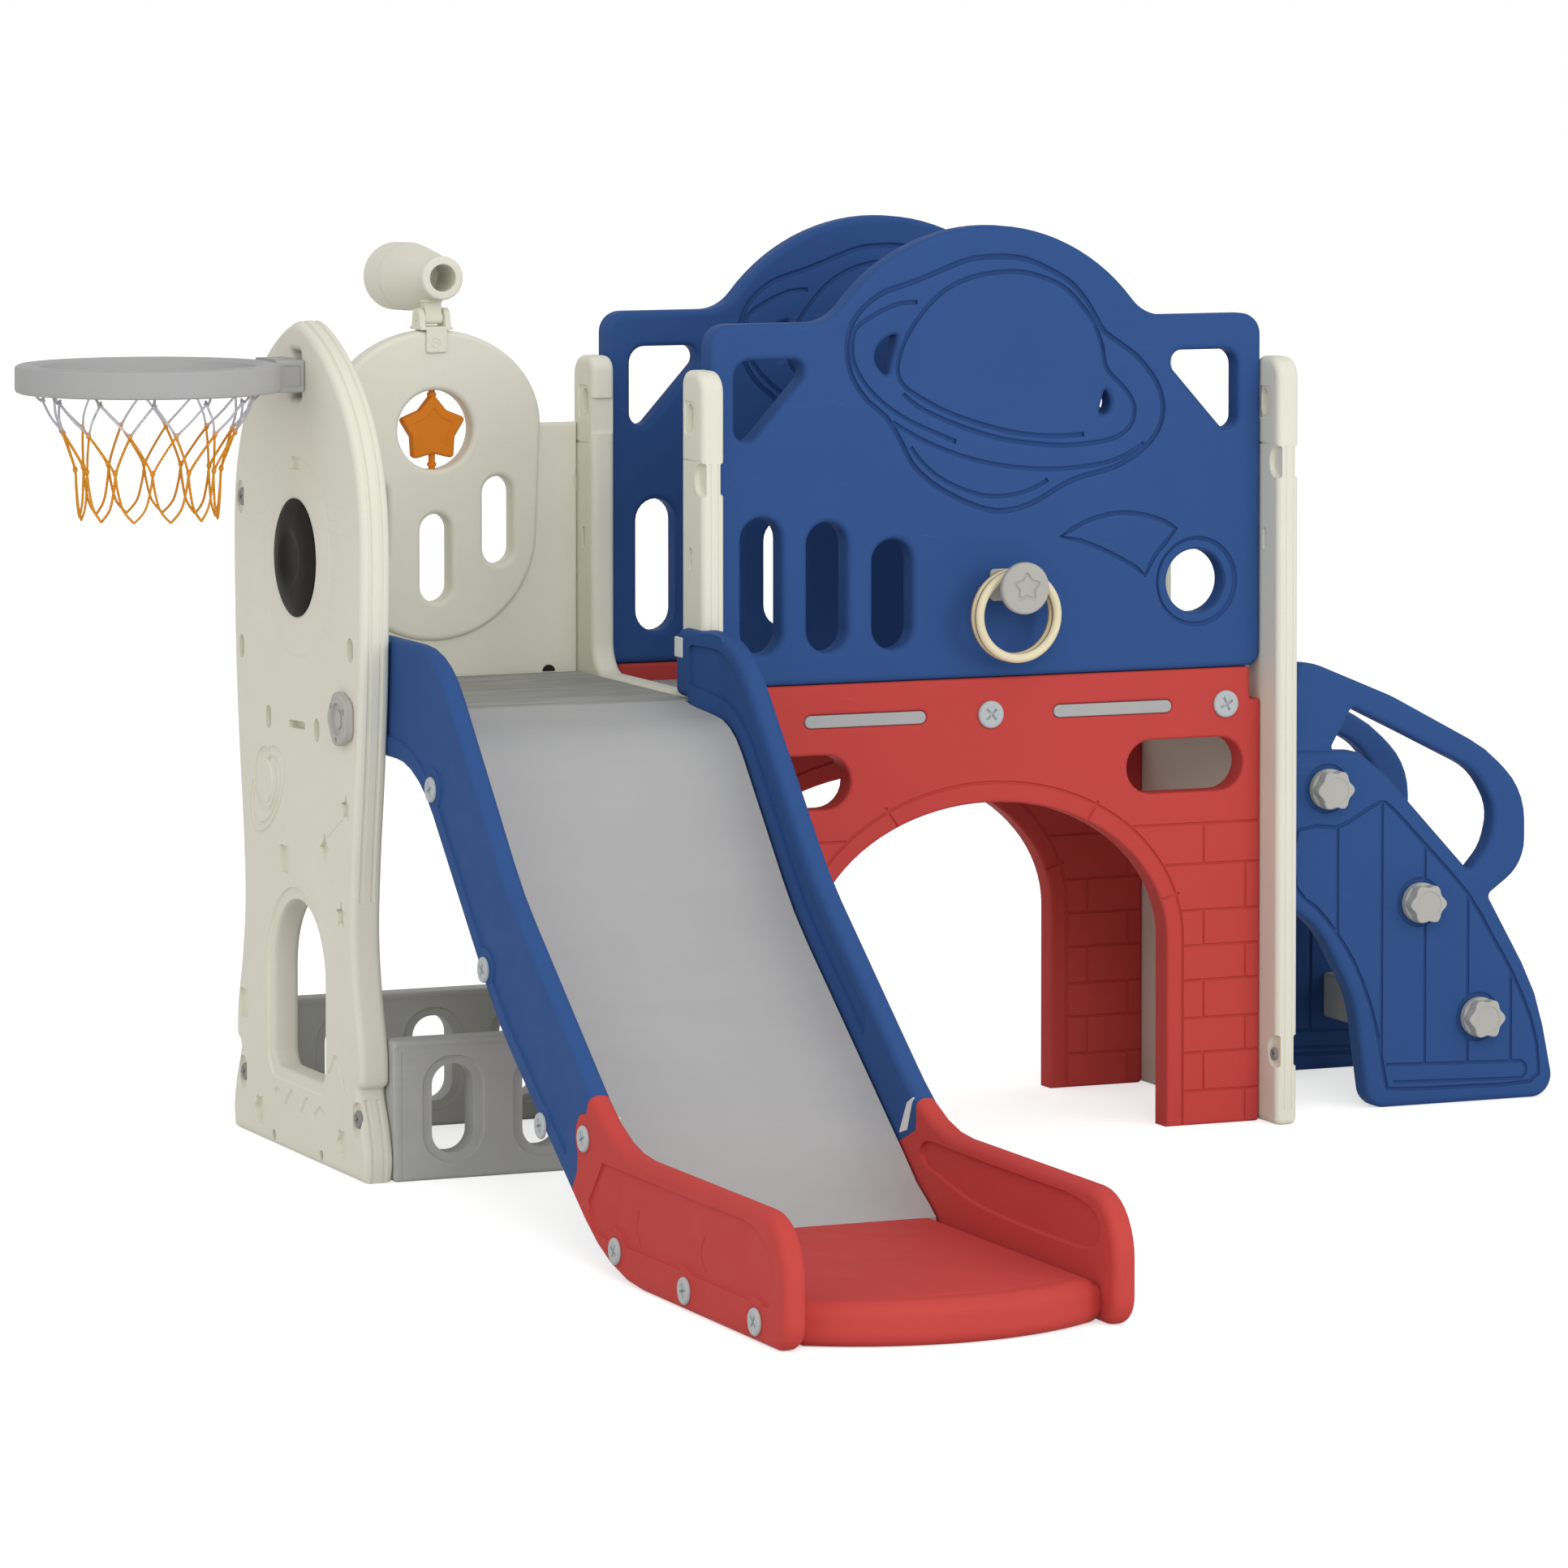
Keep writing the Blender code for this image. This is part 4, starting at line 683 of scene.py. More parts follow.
@dataclass(frozen=True)
class Finish:
    """The look of one kind of piece."""

    name: str

    def material(self) -> bpy.types.Material:
        """Return the material, which is built the first time."""
        known = bpy.data.materials.get(self.name)
        if known:
            return known
        material = bpy.data.materials.new(self.name)
        material.use_nodes = True
        graph = Graph(material.node_tree)
        shader = material.node_tree.nodes["Principled BSDF"]
        graph.link(self.paint(graph, graph.add("ShaderNodeTexCoord").outputs["Object"]), shader)
        for label, value in self.constants().items():
            shader.inputs[label].default_value = value
        return material

    def paint(self, graph: Graph, place: bpy.types.NodeSocket) -> dict[str, bpy.types.NodeSocket]:
        """Add the nodes and return what feeds the shader, by socket name."""
        raise NotImplementedError

    def constants(self) -> dict[str, float]:
        """Return the shader's fixed values, by socket name."""
        return {"Specular IOR Level": 0.15}


@dataclass(frozen=True)
class PlasticFinish(Finish):
    """Moulded plastic in one colour, with its clouding, rubs and flow marks."""

    colour: tuple[int, int, int]
    roughness: float = 0.42
    cloud: float = 0.020
    rub: float = 0.5
    peel: float = 0.00012
    flow: float = 0.0
    flow_scale: float = 3.0

    def paint(self, graph: Graph, place: bpy.types.NodeSocket) -> dict[str, bpy.types.NodeSocket]:
        """Add the plastic's skin over its colour, which the flow marks vary."""
        base = linear(self.colour)
        colour: object = base
        if self.flow > 0:
            marks = graph.add(
                "ShaderNodeGroup", {"node_tree": flow_marks()}, Place=place, Scale=self.flow_scale
            )
            dark = tuple(channel * (1 - self.flow) for channel in base[:3]) + (1.0,)
            light = tuple(min(channel * (1 + self.flow), 1.0) for channel in base[:3]) + (1.0,)
            colour = graph.mix(marks.outputs["Mask"], dark, light)
        return graph.skin(place, colour, self.cloud, self.rub, self.roughness, 0.6, self.peel)

    def constants(self) -> dict[str, float]:
        """Return the shader's fixed values: next to no mirror of the white studio."""
        return {"Specular IOR Level": 0.015}


CREAM = PlasticFinish("cream_plastic_moulded", (230, 229, 214), 0.48, cloud=0.012)
BLUE = PlasticFinish("blue_plastic_moulded", (53, 85, 140), 0.48, 0.015, 0.6)
RED = PlasticFinish("red_plastic_moulded", (196, 74, 70), 0.48, 0.015, 0.6)
GREY = PlasticFinish("grey_plastic_moulded", (176, 176, 176), 0.46, 0.012, 0.6, flow=0.008, flow_scale=2.5)
DECK_GREY = PlasticFinish("deck_grey_plastic", (160, 160, 157), 0.46, 0.025, 0.9, flow=0.11, flow_scale=4.0)
BOARD_GREY = PlasticFinish("board_grey_plastic", (186, 186, 184), 0.48, 0.020, 0.8, flow=0.02)
PALE = PlasticFinish("pale_plastic_turned", (183, 182, 177), 0.44, 0.045, 0.6)
SMOKE = PlasticFinish("smoke_plastic_window", (44, 43, 40), 0.45, 0.020, 0.2, 0.00003)
ORANGE = PlasticFinish("orange_plastic_star", (222, 130, 43), 0.46, 0.020, 0.4)
SCREW = PlasticFinish("screw_plastic", (188, 194, 196), 0.36, 0.020, 0.5)
TAB = PlasticFinish("tab_plastic", (222, 226, 224), 0.40, 0.010, 0.4)
BOLT = PlasticFinish("bolt_plastic", (150, 150, 148), 0.40, 0.020, 0.5)


@dataclass(frozen=True)
class RingFinish(Finish):
    """A cream toss ring with a gold-brown line along its middle."""

    middle: float
    cream: tuple[int, int, int] = (232, 222, 188)
    line: tuple[int, int, int] = (170, 118, 62)

    def paint(self, graph: Graph, place: bpy.types.NodeSocket) -> dict[str, bpy.types.NodeSocket]:
        """Add the plastic's skin, with the line at the ring's own middle plane."""
        moved = graph.add("ShaderNodeMapping", None, Vector=place, Location=(0.0, -self.middle, 0.0))
        across = graph.add("ShaderNodeSeparateXYZ", None, Vector=moved.outputs[0]).outputs["Y"]
        wander = graph.scaled(graph.noise(place, 30.0, 2.0), 0.0012, -0.0006)
        off = graph.maths("ABSOLUTE", graph.maths("ADD", across, wander))
        mask = graph.spread(off, 0.0010, 0.0018, 1.0, 0.0)
        colour = graph.mix(mask, linear(self.cream), linear(self.line))
        return graph.skin(place, colour, 0.03, 0.5, 0.4, 0.5, 0.0001)


@dataclass(frozen=True)
class CordFinish(Finish):
    """Twisted net cord that turns from white at the hoop to orange below."""

    change: float
    white: tuple[int, int, int] = (214, 214, 222)
    orange: tuple[int, int, int] = (236, 158, 46)

    def paint(self, graph: Graph, place: bpy.types.NodeSocket) -> dict[str, bpy.types.NodeSocket]:
        """Add the cord's strands, which are bands that climb round it, with painted shade in the creases
        between them.
        """
        height = graph.add("ShaderNodeSeparateXYZ", None, Vector=place).outputs["Z"]
        mask = graph.spread(height, self.change - 0.006, self.change + 0.006, 0.0, 1.0)
        tint = graph.mix(mask, linear(self.orange), linear(self.white))
        wave = graph.add(
            "ShaderNodeTexWave", {"bands_direction": "DIAGONAL"}, Vector=place, Scale=160.0, Distortion=1.0
        ).outputs["Fac"]
        # The colour drops to 0.70 between strands: painted shade in the twist's creases, on top of the bump.
        lit = graph.scaled(wave, 0.35, 0.70)
        shaded = graph.add("ShaderNodeVectorMath", {"operation": "SCALE"}, i0=tint, Scale=lit)
        bump = graph.add("ShaderNodeBump", None, Strength=0.8, Distance=0.0004, Height=wave)
        return {"Base Color": shaded.outputs[0], "Normal": bump.outputs["Normal"]}

    def constants(self) -> dict[str, float]:
        """Return the shader's fixed values."""
        return {"Roughness": 0.75, "Specular IOR Level": 0.15}


def dress(
    piece: Piece, name: str, finish: Finish, nodes: Sequence[str] = (),
    body: Body = Body.FRAME, sharp: float = 42.0,
) -> Piece:
    """Finish a piece: name, place, shading, material, and its tie to the frame.

    Args:
        piece: the piece in layout coordinates.
        name: its name.
        finish: what it is made of.
        nodes: the frame's nodes that it stands for.
        body: the body that it rides on.
        sharp: the angle in degrees from which an edge is kept sharp.

    Returns:
        The finished piece.
    """
    piece.name = name
    piece.data.name = name
    piece.data.transform(Matrix.Translation(SHIFT))
    piece.data.shade_smooth()
    piece.data.set_sharp_from_angle(angle=math.radians(sharp))
    weigh = piece.modifiers.new("Even shading", "WEIGHTED_NORMAL")
    weigh.keep_sharp = True
    weigh.weight = 90
    piece.data.materials.clear()
    piece.data.materials.append(finish.material())
    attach(piece, body.value)
    if nodes:
        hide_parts(*nodes)
    LOG.info("%s: %d faces", name, len(piece.data.polygons))
    return piece


def face_frame(face: Face, a: float, b: float, lift: float = GAP) -> Matrix:
    """Return the place of a fitting on a face, whose local Z points outward."""
    across = face.plane.place(1.0, 0.0, 0.0)
    outward = face.plane.place(0.0, 0.0, float(face.outward))
    turn = Matrix((across, outward.cross(across), outward)).transposed().to_4x4()
    return Matrix.Translation(face.plane.place(a, b, face.at + face.outward * lift)) @ turn


@dataclass(frozen=True)
class ScrewHead:
    """A round plastic screw head with a cross recess."""

    radius: float = 0.0180
    height: float = 0.0046
    slot_width: float = 0.0034
    slot_reach: float = 0.0096
    turn: float = 0.5

    def build(self, face: Face, a: float, b: float) -> Piece:
        """Return the head at a place on a face."""
        profile = [
            (0.0, 0.0), (self.radius - 0.0004, 0.0), (self.radius, 0.0006),
            (self.radius, self.height * 0.55), (self.radius - 0.0012, self.height * 0.9),
            (self.radius - 0.0030, self.height), (self.radius * 0.62, self.height),
            (self.radius * 0.56, self.height - 0.0007), (0.0, self.height - 0.0007),
        ]
        head = turned(profile, Matrix.Identity(4), 36)
        wide, reach = self.slot_width / 2, self.slot_reach
        arms = [
            block((-reach, reach), (-wide, wide), (self.height - 0.0040, self.height + 0.002), 0.0006),
            block((-wide, wide), (-reach, reach), (self.height - 0.0041, self.height + 0.002), 0.0006),
        ]
        head = carved(head, arms)
        head.data.transform(face_frame(face, a, b) @ Matrix.Rotation(self.turn, 4, "Z"))
        return head


@dataclass
class RocketPanel:
    """The cream side panel: a rocket with a doorway, a porthole and raised space motifs."""

    outer: float = -0.876
    inner: float = -0.836
    middle: float = 0.242
    top: float = 1.082
    nose_base: float = 0.780
    rim: float = 0.009
    door_half: float = 0.099
    door_bottom: float = 0.105
    door_top: float = 0.331
    porthole_z: float = 0.776
    porthole_radius: float = 0.0768
    porthole_lap: float = 0.006
    halo_radius: float = 0.130
    globe_centre: tuple[float, float] = (0.362, 0.476)
    cap_centre: tuple[float, float] = (0.054, 0.585)
    bolts: Places = ((0.459, 0.840), (0.454, 0.079), (0.017, 0.079))
    bolt_seat: float = 0.0048
    stations: Places = (
        (0.2500, 0.000), (0.2550, 0.030), (0.2450, 0.070), (0.2260, 0.112), (0.2400, 0.126),
        (0.2380, 0.170), (0.2200, 0.235), (0.2090, 0.310), (0.2150, 0.400), (0.2320, 0.520),
        (0.2440, 0.640), (0.2485, 0.780),
    )

    def outline(self) -> Loop:
        """Return the rocket outline: flared base, waist and round nose."""
        side = smooth(self.stations, 4)
        widest = self.stations[-1][0]
        steps = 26
        for step in range(1, steps + 1):
            t = math.sin(math.pi / 2 * step / steps)
            width = widest * max(1 - t ** 2.6, 0.0) ** 0.75
            side.append(Vector((width, self.nose_base + (self.top - self.nose_base) * t)))
        rear = [Vector((self.middle + point.x, point.y)) for point in side]
        front = [Vector((self.middle - point.x, point.y)) for point in reversed(side[:-1])]
        return rear + front

    def doorway(self) -> Loop:
        """Return the doorway's outline."""
        low, high = self.middle - self.door_half, self.middle + self.door_half
        arch = self.door_half * 0.98
        return rounded((
            (low, self.door_bottom, 0.020), (high, self.door_bottom, 0.020),
            (high, self.door_top, arch), (low, self.door_top, arch),
        ))

    def halo(self) -> Loop:
        """Return the circle round the porthole."""
        return circle(self.middle, self.porthole_z, self.halo_radius, 56)

    def edge_grooves(self) -> list[Piece]:
        """Return the cutters of the two mould lines that follow the panel's edge."""
        above = [point for point in self.outline() if point.y > 0.345]
        below = [point for point in self.outline() if point.y < 0.106 and point.x < self.middle]
        cutters = []
        for along, radius in ((self.outer + 0.0125, 0.0030), (self.outer + 0.0275, 0.0026)):
            for chain in (above, below):
                cutters.append(tube([Plane.X.place(p.x, p.y, along) for p in chain], radius, False, 1))
        return cutters

    def motifs(self, face: Face) -> list[Piece]:
        """Return the cutters of the recesses and grooves of one side."""
        cutters = [face.pocket(stadium(*bolt, 0.028, 0.044), 0.005, 0.0015) for bolt in self.bolts]
        for dimple in (
            (0.037, 0.674, 0.024, 0.031), (0.455, 0.643, 0.020, 0.031), (0.349, 0.560, 0.021, 0.030),
            (0.163, 0.560, 0.021, 0.030), (0.332, 0.013, 0.014, 0.015), (0.149, 0.013, 0.014, 0.015),
        ):
            cutters.append(face.pocket(stadium(*dimple), 0.016, 0.0015))
        dash = rounded((
            (0.208, 0.566, 0.003), (0.208, 0.556, 0.003), (0.268, 0.554, 0.003), (0.268, 0.564, 0.003)
        ))
        cutters.append(face.pocket(dash, 0.012))
        for hatch in (
            (0.246, 0.898, 0.036, 0.016), (0.290, 0.380, 0.034, 0.036), (0.453, 0.171, 0.036, 0.038)
        ):
            cutters.append(face.pocket(centred(*hatch, 0.003), 0.006))
        for y, z in ((0.389, 0.038), (0.072, 0.039)):
            cutters.append(face.pocket(lobed(y, z, 0.0185, 0.0022, 6), 0.006, 0.0012))
        for y, z, tips in ((0.054, 0.471, 5), (0.134, 0.412, 4), (0.073, 0.332, 5)):
            cutters.append(face.pocket(star(y, z, 0.019, 0.50, tips), 0.006, 0.0))
        for first, second in (((0.066, 0.455), (0.126, 0.424)), ((0.132, 0.398), (0.084, 0.348))):
            cutters.append(face.line(first, second, 0.0034, 0.0014))
        for scale, width in ((1.0, 0.0065), (0.78, 0.0055)):
            orbit = [
                Vector((0.357, 0.462)) + rotate(offset, math.radians(-38)) for offset in
                ellipse_arc(0.0, 0.0, 0.078 * scale, 0.044 * scale, math.radians(118), math.radians(422), 30)
            ]
            cutters.append(face.groove(orbit, width, 0.0026))
        cutters.append(face.groove(circle(*self.globe_centre, 0.040), 0.0085, 0.0036, True))
        wave = (
            (0.130, 0.066), (0.155, 0.073), (0.180, 0.060), (0.205, 0.078), (0.232, 0.056),
            (0.262, 0.080), (0.292, 0.058), (0.312, 0.074), (0.331, 0.070),
        )
        cutters.append(face.groove(smooth(wave, 4), 0.0070, 0.0028))
        cutters.append(face.groove(self.halo(), 0.014, 0.0022, True))
        step = (
            (0.128, 0.118), (0.112, 0.130), (0.098, 0.146), (0.082, 0.143), (0.072, 0.126), (0.060, 0.108)
        )
        cutters.append(face.groove(smooth(step, 4), 0.008, 0.0030))
        cutters.append(plate(self.doorway(), face.plane, *face.slab(0.0035, 0.010), (), 0.003, 0.017, 2))
        return cutters

    def build(self) -> None:
        """Make the panel, its bolts, the porthole and the slide's cap."""
        holes = [
            self.doorway(),
            circle(self.middle, self.porthole_z, self.porthole_radius - self.porthole_lap, 56),
            rectangle(self.middle - 0.020, self.middle + 0.020, 0.983, 1.043, 0.006),
        ]
        shell = plate(self.outline(), Plane.X, self.outer, self.inner, holes, self.rim, 0.0, 3)
        outer_face, inner_face = both_faces(Plane.X, self.outer, self.inner)
        shell = carved(shell, self.edge_grooves() + self.motifs(outer_face))
        inside = [
            inner_face.groove(self.halo(), 0.010, 0.0014, True),
            plate(self.doorway(), Plane.X, *inner_face.slab(0.0025, 0.010), (), 0.002, 0.017, 1),
        ]
        shell = carved(shell, inside)
        globe = outer_face.boss(circle(*self.globe_centre, 0.030, 36), 0.0022, 0.0020)
        dress(joined([shell, globe]), "rocket_panel", CREAM, ("left_panel",))
        seat = Face(Plane.X, self.outer + self.bolt_seat, -1)
        bolts = [ScrewHead(0.0115, 0.0044, 0.0026, 0.006).build(seat, *bolt) for bolt in self.bolts]
        dress(joined(bolts), "rocket_panel_bolts", BOLT)
        self.build_porthole(outer_face)
        self.build_cap(outer_face)

    def build_porthole(self, face: Face) -> None:
        """Make the smoked window with its raised rim and its dished middle."""
        radius = self.porthole_radius
        bore = radius - self.porthole_lap - GAP
        profile = [
            (0.0, 0.0030), (0.014, 0.0034), (0.024, 0.0046), (0.030, 0.0064), (0.034, 0.0082),
            (0.038, 0.0092), (0.044, 0.0094), (0.054, 0.0086), (0.063, 0.0070), (0.070, 0.0048),
            (0.0745, 0.0026), (radius, 0.0010), (radius - 0.0004, 0.0), (bore, 0.0),
            (bore, -0.0150), (bore - 0.001, -0.0160), (0.0, -0.0160),
        ]
        window = turned(profile, face_frame(face, self.middle, self.porthole_z), 56)
        dress(window, "porthole_window", SMOKE, ("porthole_dome",), sharp=50)

    def build_cap(self, face: Face) -> None:
        """Make the knob that holds the slide to the panel."""
        low, high = face.slab(-GAP, 0.0123)
        y, z = self.cap_centre
        grip = plate(lobed(y, z, 0.0338, 0.0018, 5, 60), Plane.X, low, high, (), 0.003, 0.0, 3)
        front = Face(Plane.X, low, -1)
        cuts = [front.pocket(circle(y, z, 0.021, 32), 0.004, 0.0015)]
        for angle in (0.6, 2.7, 4.8):
            dot = circle(y + 0.0265 * math.cos(angle), z + 0.0265 * math.sin(angle), 0.004, 16)
            cuts.append(front.pocket(dot, 0.003))
        grip = carved(grip, cuts)
        core = front.boss(circle(y, z, 0.012, 28), -0.0012, 0.0012, 0.006)
        dress(joined([grip, core]), "slide_cap_knob", PALE, ("slide_cap",))


@dataclass
class BackPanel:
    """The cream panel behind the platform, with the orange star that turns in it."""

    left: float = -0.8357
    right: float = -0.4283
    middle: float = -0.632
    front: float = 0.375
    rear: float = 0.410
    bottom: float = 0.560
    shoulder: float = 0.931
    dome_half: float = 0.149
    dome_top: float = 1.058
    field_half: float = 0.1432
    field_turn: float = 0.790
    field_rim: float = 0.0075
    step: float = 0.0075
    slot_size: tuple[float, float] = (0.043, 0.117)
    star_z: float = 0.926
    star_hole: float = 0.0525
    star_half: float = 0.009
    shaft: float = 0.0045

    def slots(self) -> list[Loop]:
        """Return the outlines of the three slots."""
        return [stadium(self.middle + across, z, *self.slot_size) for across, z in (
            (0.0, 0.7565), (-0.088, 0.8040), (0.088, 0.8040))]

    def field(self) -> Loop:
        """Return the outline of the thick field: the dome above and a half circle below."""
        rise, reach = self.dome_top - self.shoulder, self.field_half
        dome = ellipse_arc(self.middle, self.shoulder, self.dome_half, rise, 0.0, math.pi, 40)
        return dome + ellipse_arc(self.middle, self.field_turn, reach, reach, math.pi, 2 * math.pi, 40)

    def skirt(self) -> Loop:
        """Return the outline of the thin board round the field, which starts inside the field."""
        reach = self.field_half - 0.022
        hollow = ellipse_arc(self.middle, self.field_turn, reach, reach, 0.0, -math.pi, 32)
        board = run(
            (self.left, self.shoulder), (self.left, self.bottom), (self.right, self.bottom),
            (self.right, self.shoulder), (self.middle + reach, self.shoulder),
        )
        return board + hollow + run((self.middle - reach, self.shoulder))

    def build(self) -> None:
        """Make the panel, a dark half-disc at its foot as painted shade of a deep hole, and the star."""
        hole = circle(self.middle, self.star_z, self.star_hole, 56)
        holes = [hole, *self.slots()]
        field = plate(self.field(), Plane.Y, self.front, self.rear, holes, self.field_rim, 0.0, 4)
        bore = rod(Plane.Z, self.star_centre(), self.shaft + GAP, 2 * (self.star_hole + 0.010), 0.0005, 20)
        field = carved(field, [bore])
        near, far = self.front + self.step, self.rear - self.step
        skirt = plate(self.skirt(), Plane.Y, near, far, (), 0.0065, 0.0, 3)
        face = Face(Plane.Y, near, -1)
        skirt = carved(skirt, [face.pocket(circle(self.right + 0.018, 0.853, 0.0245, 32), 0.006, 0.002)])
        dress(joined([field, skirt]), "dome_panel", CREAM, ("back_panel",))
        # A smoke-dark half-disc on the skirt paints the shade of a deep hole at the panel's foot.
        shade_patch = ellipse_arc(-0.4705, 0.6004, 0.0088, 0.0085, 0.0, math.pi, 16)
        dress(face.boss(shade_patch, 0.0022, 0.0008, 0.002), "panel_foot_painted_shade", SMOKE)
        self.build_star()

    def star_centre(self) -> Vector:
        """Return the middle of the star, half way through the panel."""
        return Vector((self.middle, (self.front + self.rear) / 2, self.star_z))

    def build_star(self) -> None:
        """Make the star with its shaft and the collars where it turns."""
        centre = self.star_centre()
        outline = star(self.middle, self.star_z, 0.0480, 0.66, 5, 0.005)
        low, high = centre.y - self.star_half, centre.y + self.star_half
        body = plate(outline, Plane.Y, low, high, (), 0.0035, 0.0, 3)
        dish = star(self.middle, self.star_z, 0.030, 0.66, 5, 0.003)
        body = carved(body, [face.pocket(dish, 0.0012, 0.0010) for face in both_faces(Plane.Y, low, high)])
        half = self.star_hole + 0.010 - GAP
        shaft = rod(Plane.Z, centre, self.shaft, 2 * half, 0.0006, 24)
        collars = [
            rod(Plane.Z, centre + Vector((0, 0, offset)), 0.0062, 0.0050, 0.0010, 24)
            for offset in (-0.0462, 0.0462)
        ]
        whole = joined([body, shaft, *collars])
        dress(whole, "turning_star", ORANGE, ("star_spinner",), Body.STAR)


@dataclass
class Telescope:
    """The cream telescope that tilts in its saddle on top of the back panel."""

    middle: float = -0.632
    panel_front: float = 0.375
    panel_rear: float = 0.410
    base: float = 1.0583
    plate_thickness: float = 0.0045
    pivot_z: float = 1.0738
    ear_span: float = 0.045
    ear_thickness: float = 0.008
    ear_radius: float = 0.013
    pin: float = 0.0042
    barrel_height: float = 0.053
    tilt: float = math.radians(-1.5)
    flap_half: float = 0.0145
    mark: tuple[float, float] = (-0.634, 1.040)

    @property
    def mid_y(self) -> float:
        """Return the middle of the panel that the saddle stands on."""
        return (self.panel_front + self.panel_rear) / 2

    def build_saddle(self) -> None:
        """Make the saddle: a top plate, two flaps over the panel and two ears."""
        near = self.panel_front - GAP - self.plate_thickness
        far = self.panel_rear + GAP + self.plate_thickness
        top = self.base + self.plate_thickness
        half = self.ear_span / 2
        shells = [block((self.middle - half, self.middle + half), (near, far), (self.base, top), 0.0015)]
        flap_outline = rectangle(
            self.middle - self.flap_half, self.middle + self.flap_half, self.base - 0.030, top - 0.001, 0.004
        )
        for start, outward in ((near, -1), (far - self.plate_thickness, 1)):
            flap = plate(flap_outline, Plane.Y, start, start + self.plate_thickness, (), 0.0018, 0.0, 2)
            face = Face(Plane.Y, start if outward < 0 else start + self.plate_thickness, outward)
            shells.append(carved(flap, [
                face.groove(circle(*self.mark, 0.0062, 24), 0.0026, 0.0013, True),
                face.pocket(circle(*self.mark, 0.0030, 16), 0.0010, 0.0004),
            ]))
        reach, low, high = self.ear_radius, self.base + 0.001, self.pivot_z + self.ear_radius
        ear = rounded((
            (self.mid_y - reach - 0.004, low, 0.0), (self.mid_y + reach + 0.004, low, 0.0),
            (self.mid_y + reach, high, reach * 0.98), (self.mid_y - reach, high, reach * 0.98),
        ))
        hole = circle(self.mid_y, self.pivot_z, self.pin + GAP, 28)
        for start in (self.middle - half + 0.0005, self.middle + half - 0.0005 - self.ear_thickness):
            shells.append(plate(ear, Plane.X, start, start + self.ear_thickness, [hole], 0.0012, 0.0, 2))
        dress(joined(shells), "telescope_saddle", CREAM, ("telescope_bracket",))

    def build_barrel(self) -> None:
        """Make the barrel, open at both ends, with its stem, knuckle and pin."""
        profile = [
            (0.018, -0.045), (0.019, -0.046), (0.0262, -0.046), (0.0280, -0.0450), (0.0290, -0.0425),
            (0.0290, -0.0340), (0.0283, -0.0328), (0.0283, -0.0305), (0.0292, -0.0295), (0.0300, -0.0180),
            (0.0330, 0.0000), (0.0380, 0.0300), (0.0425, 0.0600), (0.0443, 0.0720), (0.0443, 0.0745),
            (0.0433, 0.0760), (0.0433, 0.0785), (0.0455, 0.0810), (0.0455, 0.1340), (0.0445, 0.1380),
            (0.0420, 0.1400), (0.0390, 0.1400), (0.0375, 0.1385), (0.0375, 0.0800), (0.0360, 0.0770),
            (0.018, 0.0200),
        ]
        pivot = Vector((self.middle, self.mid_y, self.pivot_z))
        centre = pivot + Vector((0, 0, self.barrel_height))
        barrel = turned(profile, Matrix.Translation(centre) @ Matrix.Rotation(math.radians(-90), 4, "X"), 64)
        inner_gap = self.ear_span - 2 * self.ear_thickness - 2 * GAP - 0.001
        knuckle = rod(Plane.X, pivot, 0.0088, inner_gap, 0.0010)
        pin = rod(Plane.X, pivot, self.pin, self.ear_span, 0.0010)
        stem = block(
            (pivot.x - 0.012, pivot.x + 0.012), (pivot.y - 0.009, pivot.y + 0.009),
            (pivot.z, pivot.z + self.barrel_height - 0.025), 0.0025,
        )
        collar = rod(Plane.Z, pivot + Vector((0, 0, 0.0235)), 0.0155, 0.006, 0.0015)
        whole = joined([barrel, knuckle, pin, stem, collar])
        whole.data.transform(
            Matrix.Translation(pivot) @ Matrix.Rotation(self.tilt, 4, "X") @ Matrix.Translation(-pivot)
        )
        dress(whole, "telescope_tube", CREAM, ("telescope_barrel",), Body.TELESCOPE)

    def build(self) -> None:
        """Make both parts of the telescope."""
        self.build_saddle()
        self.build_barrel()


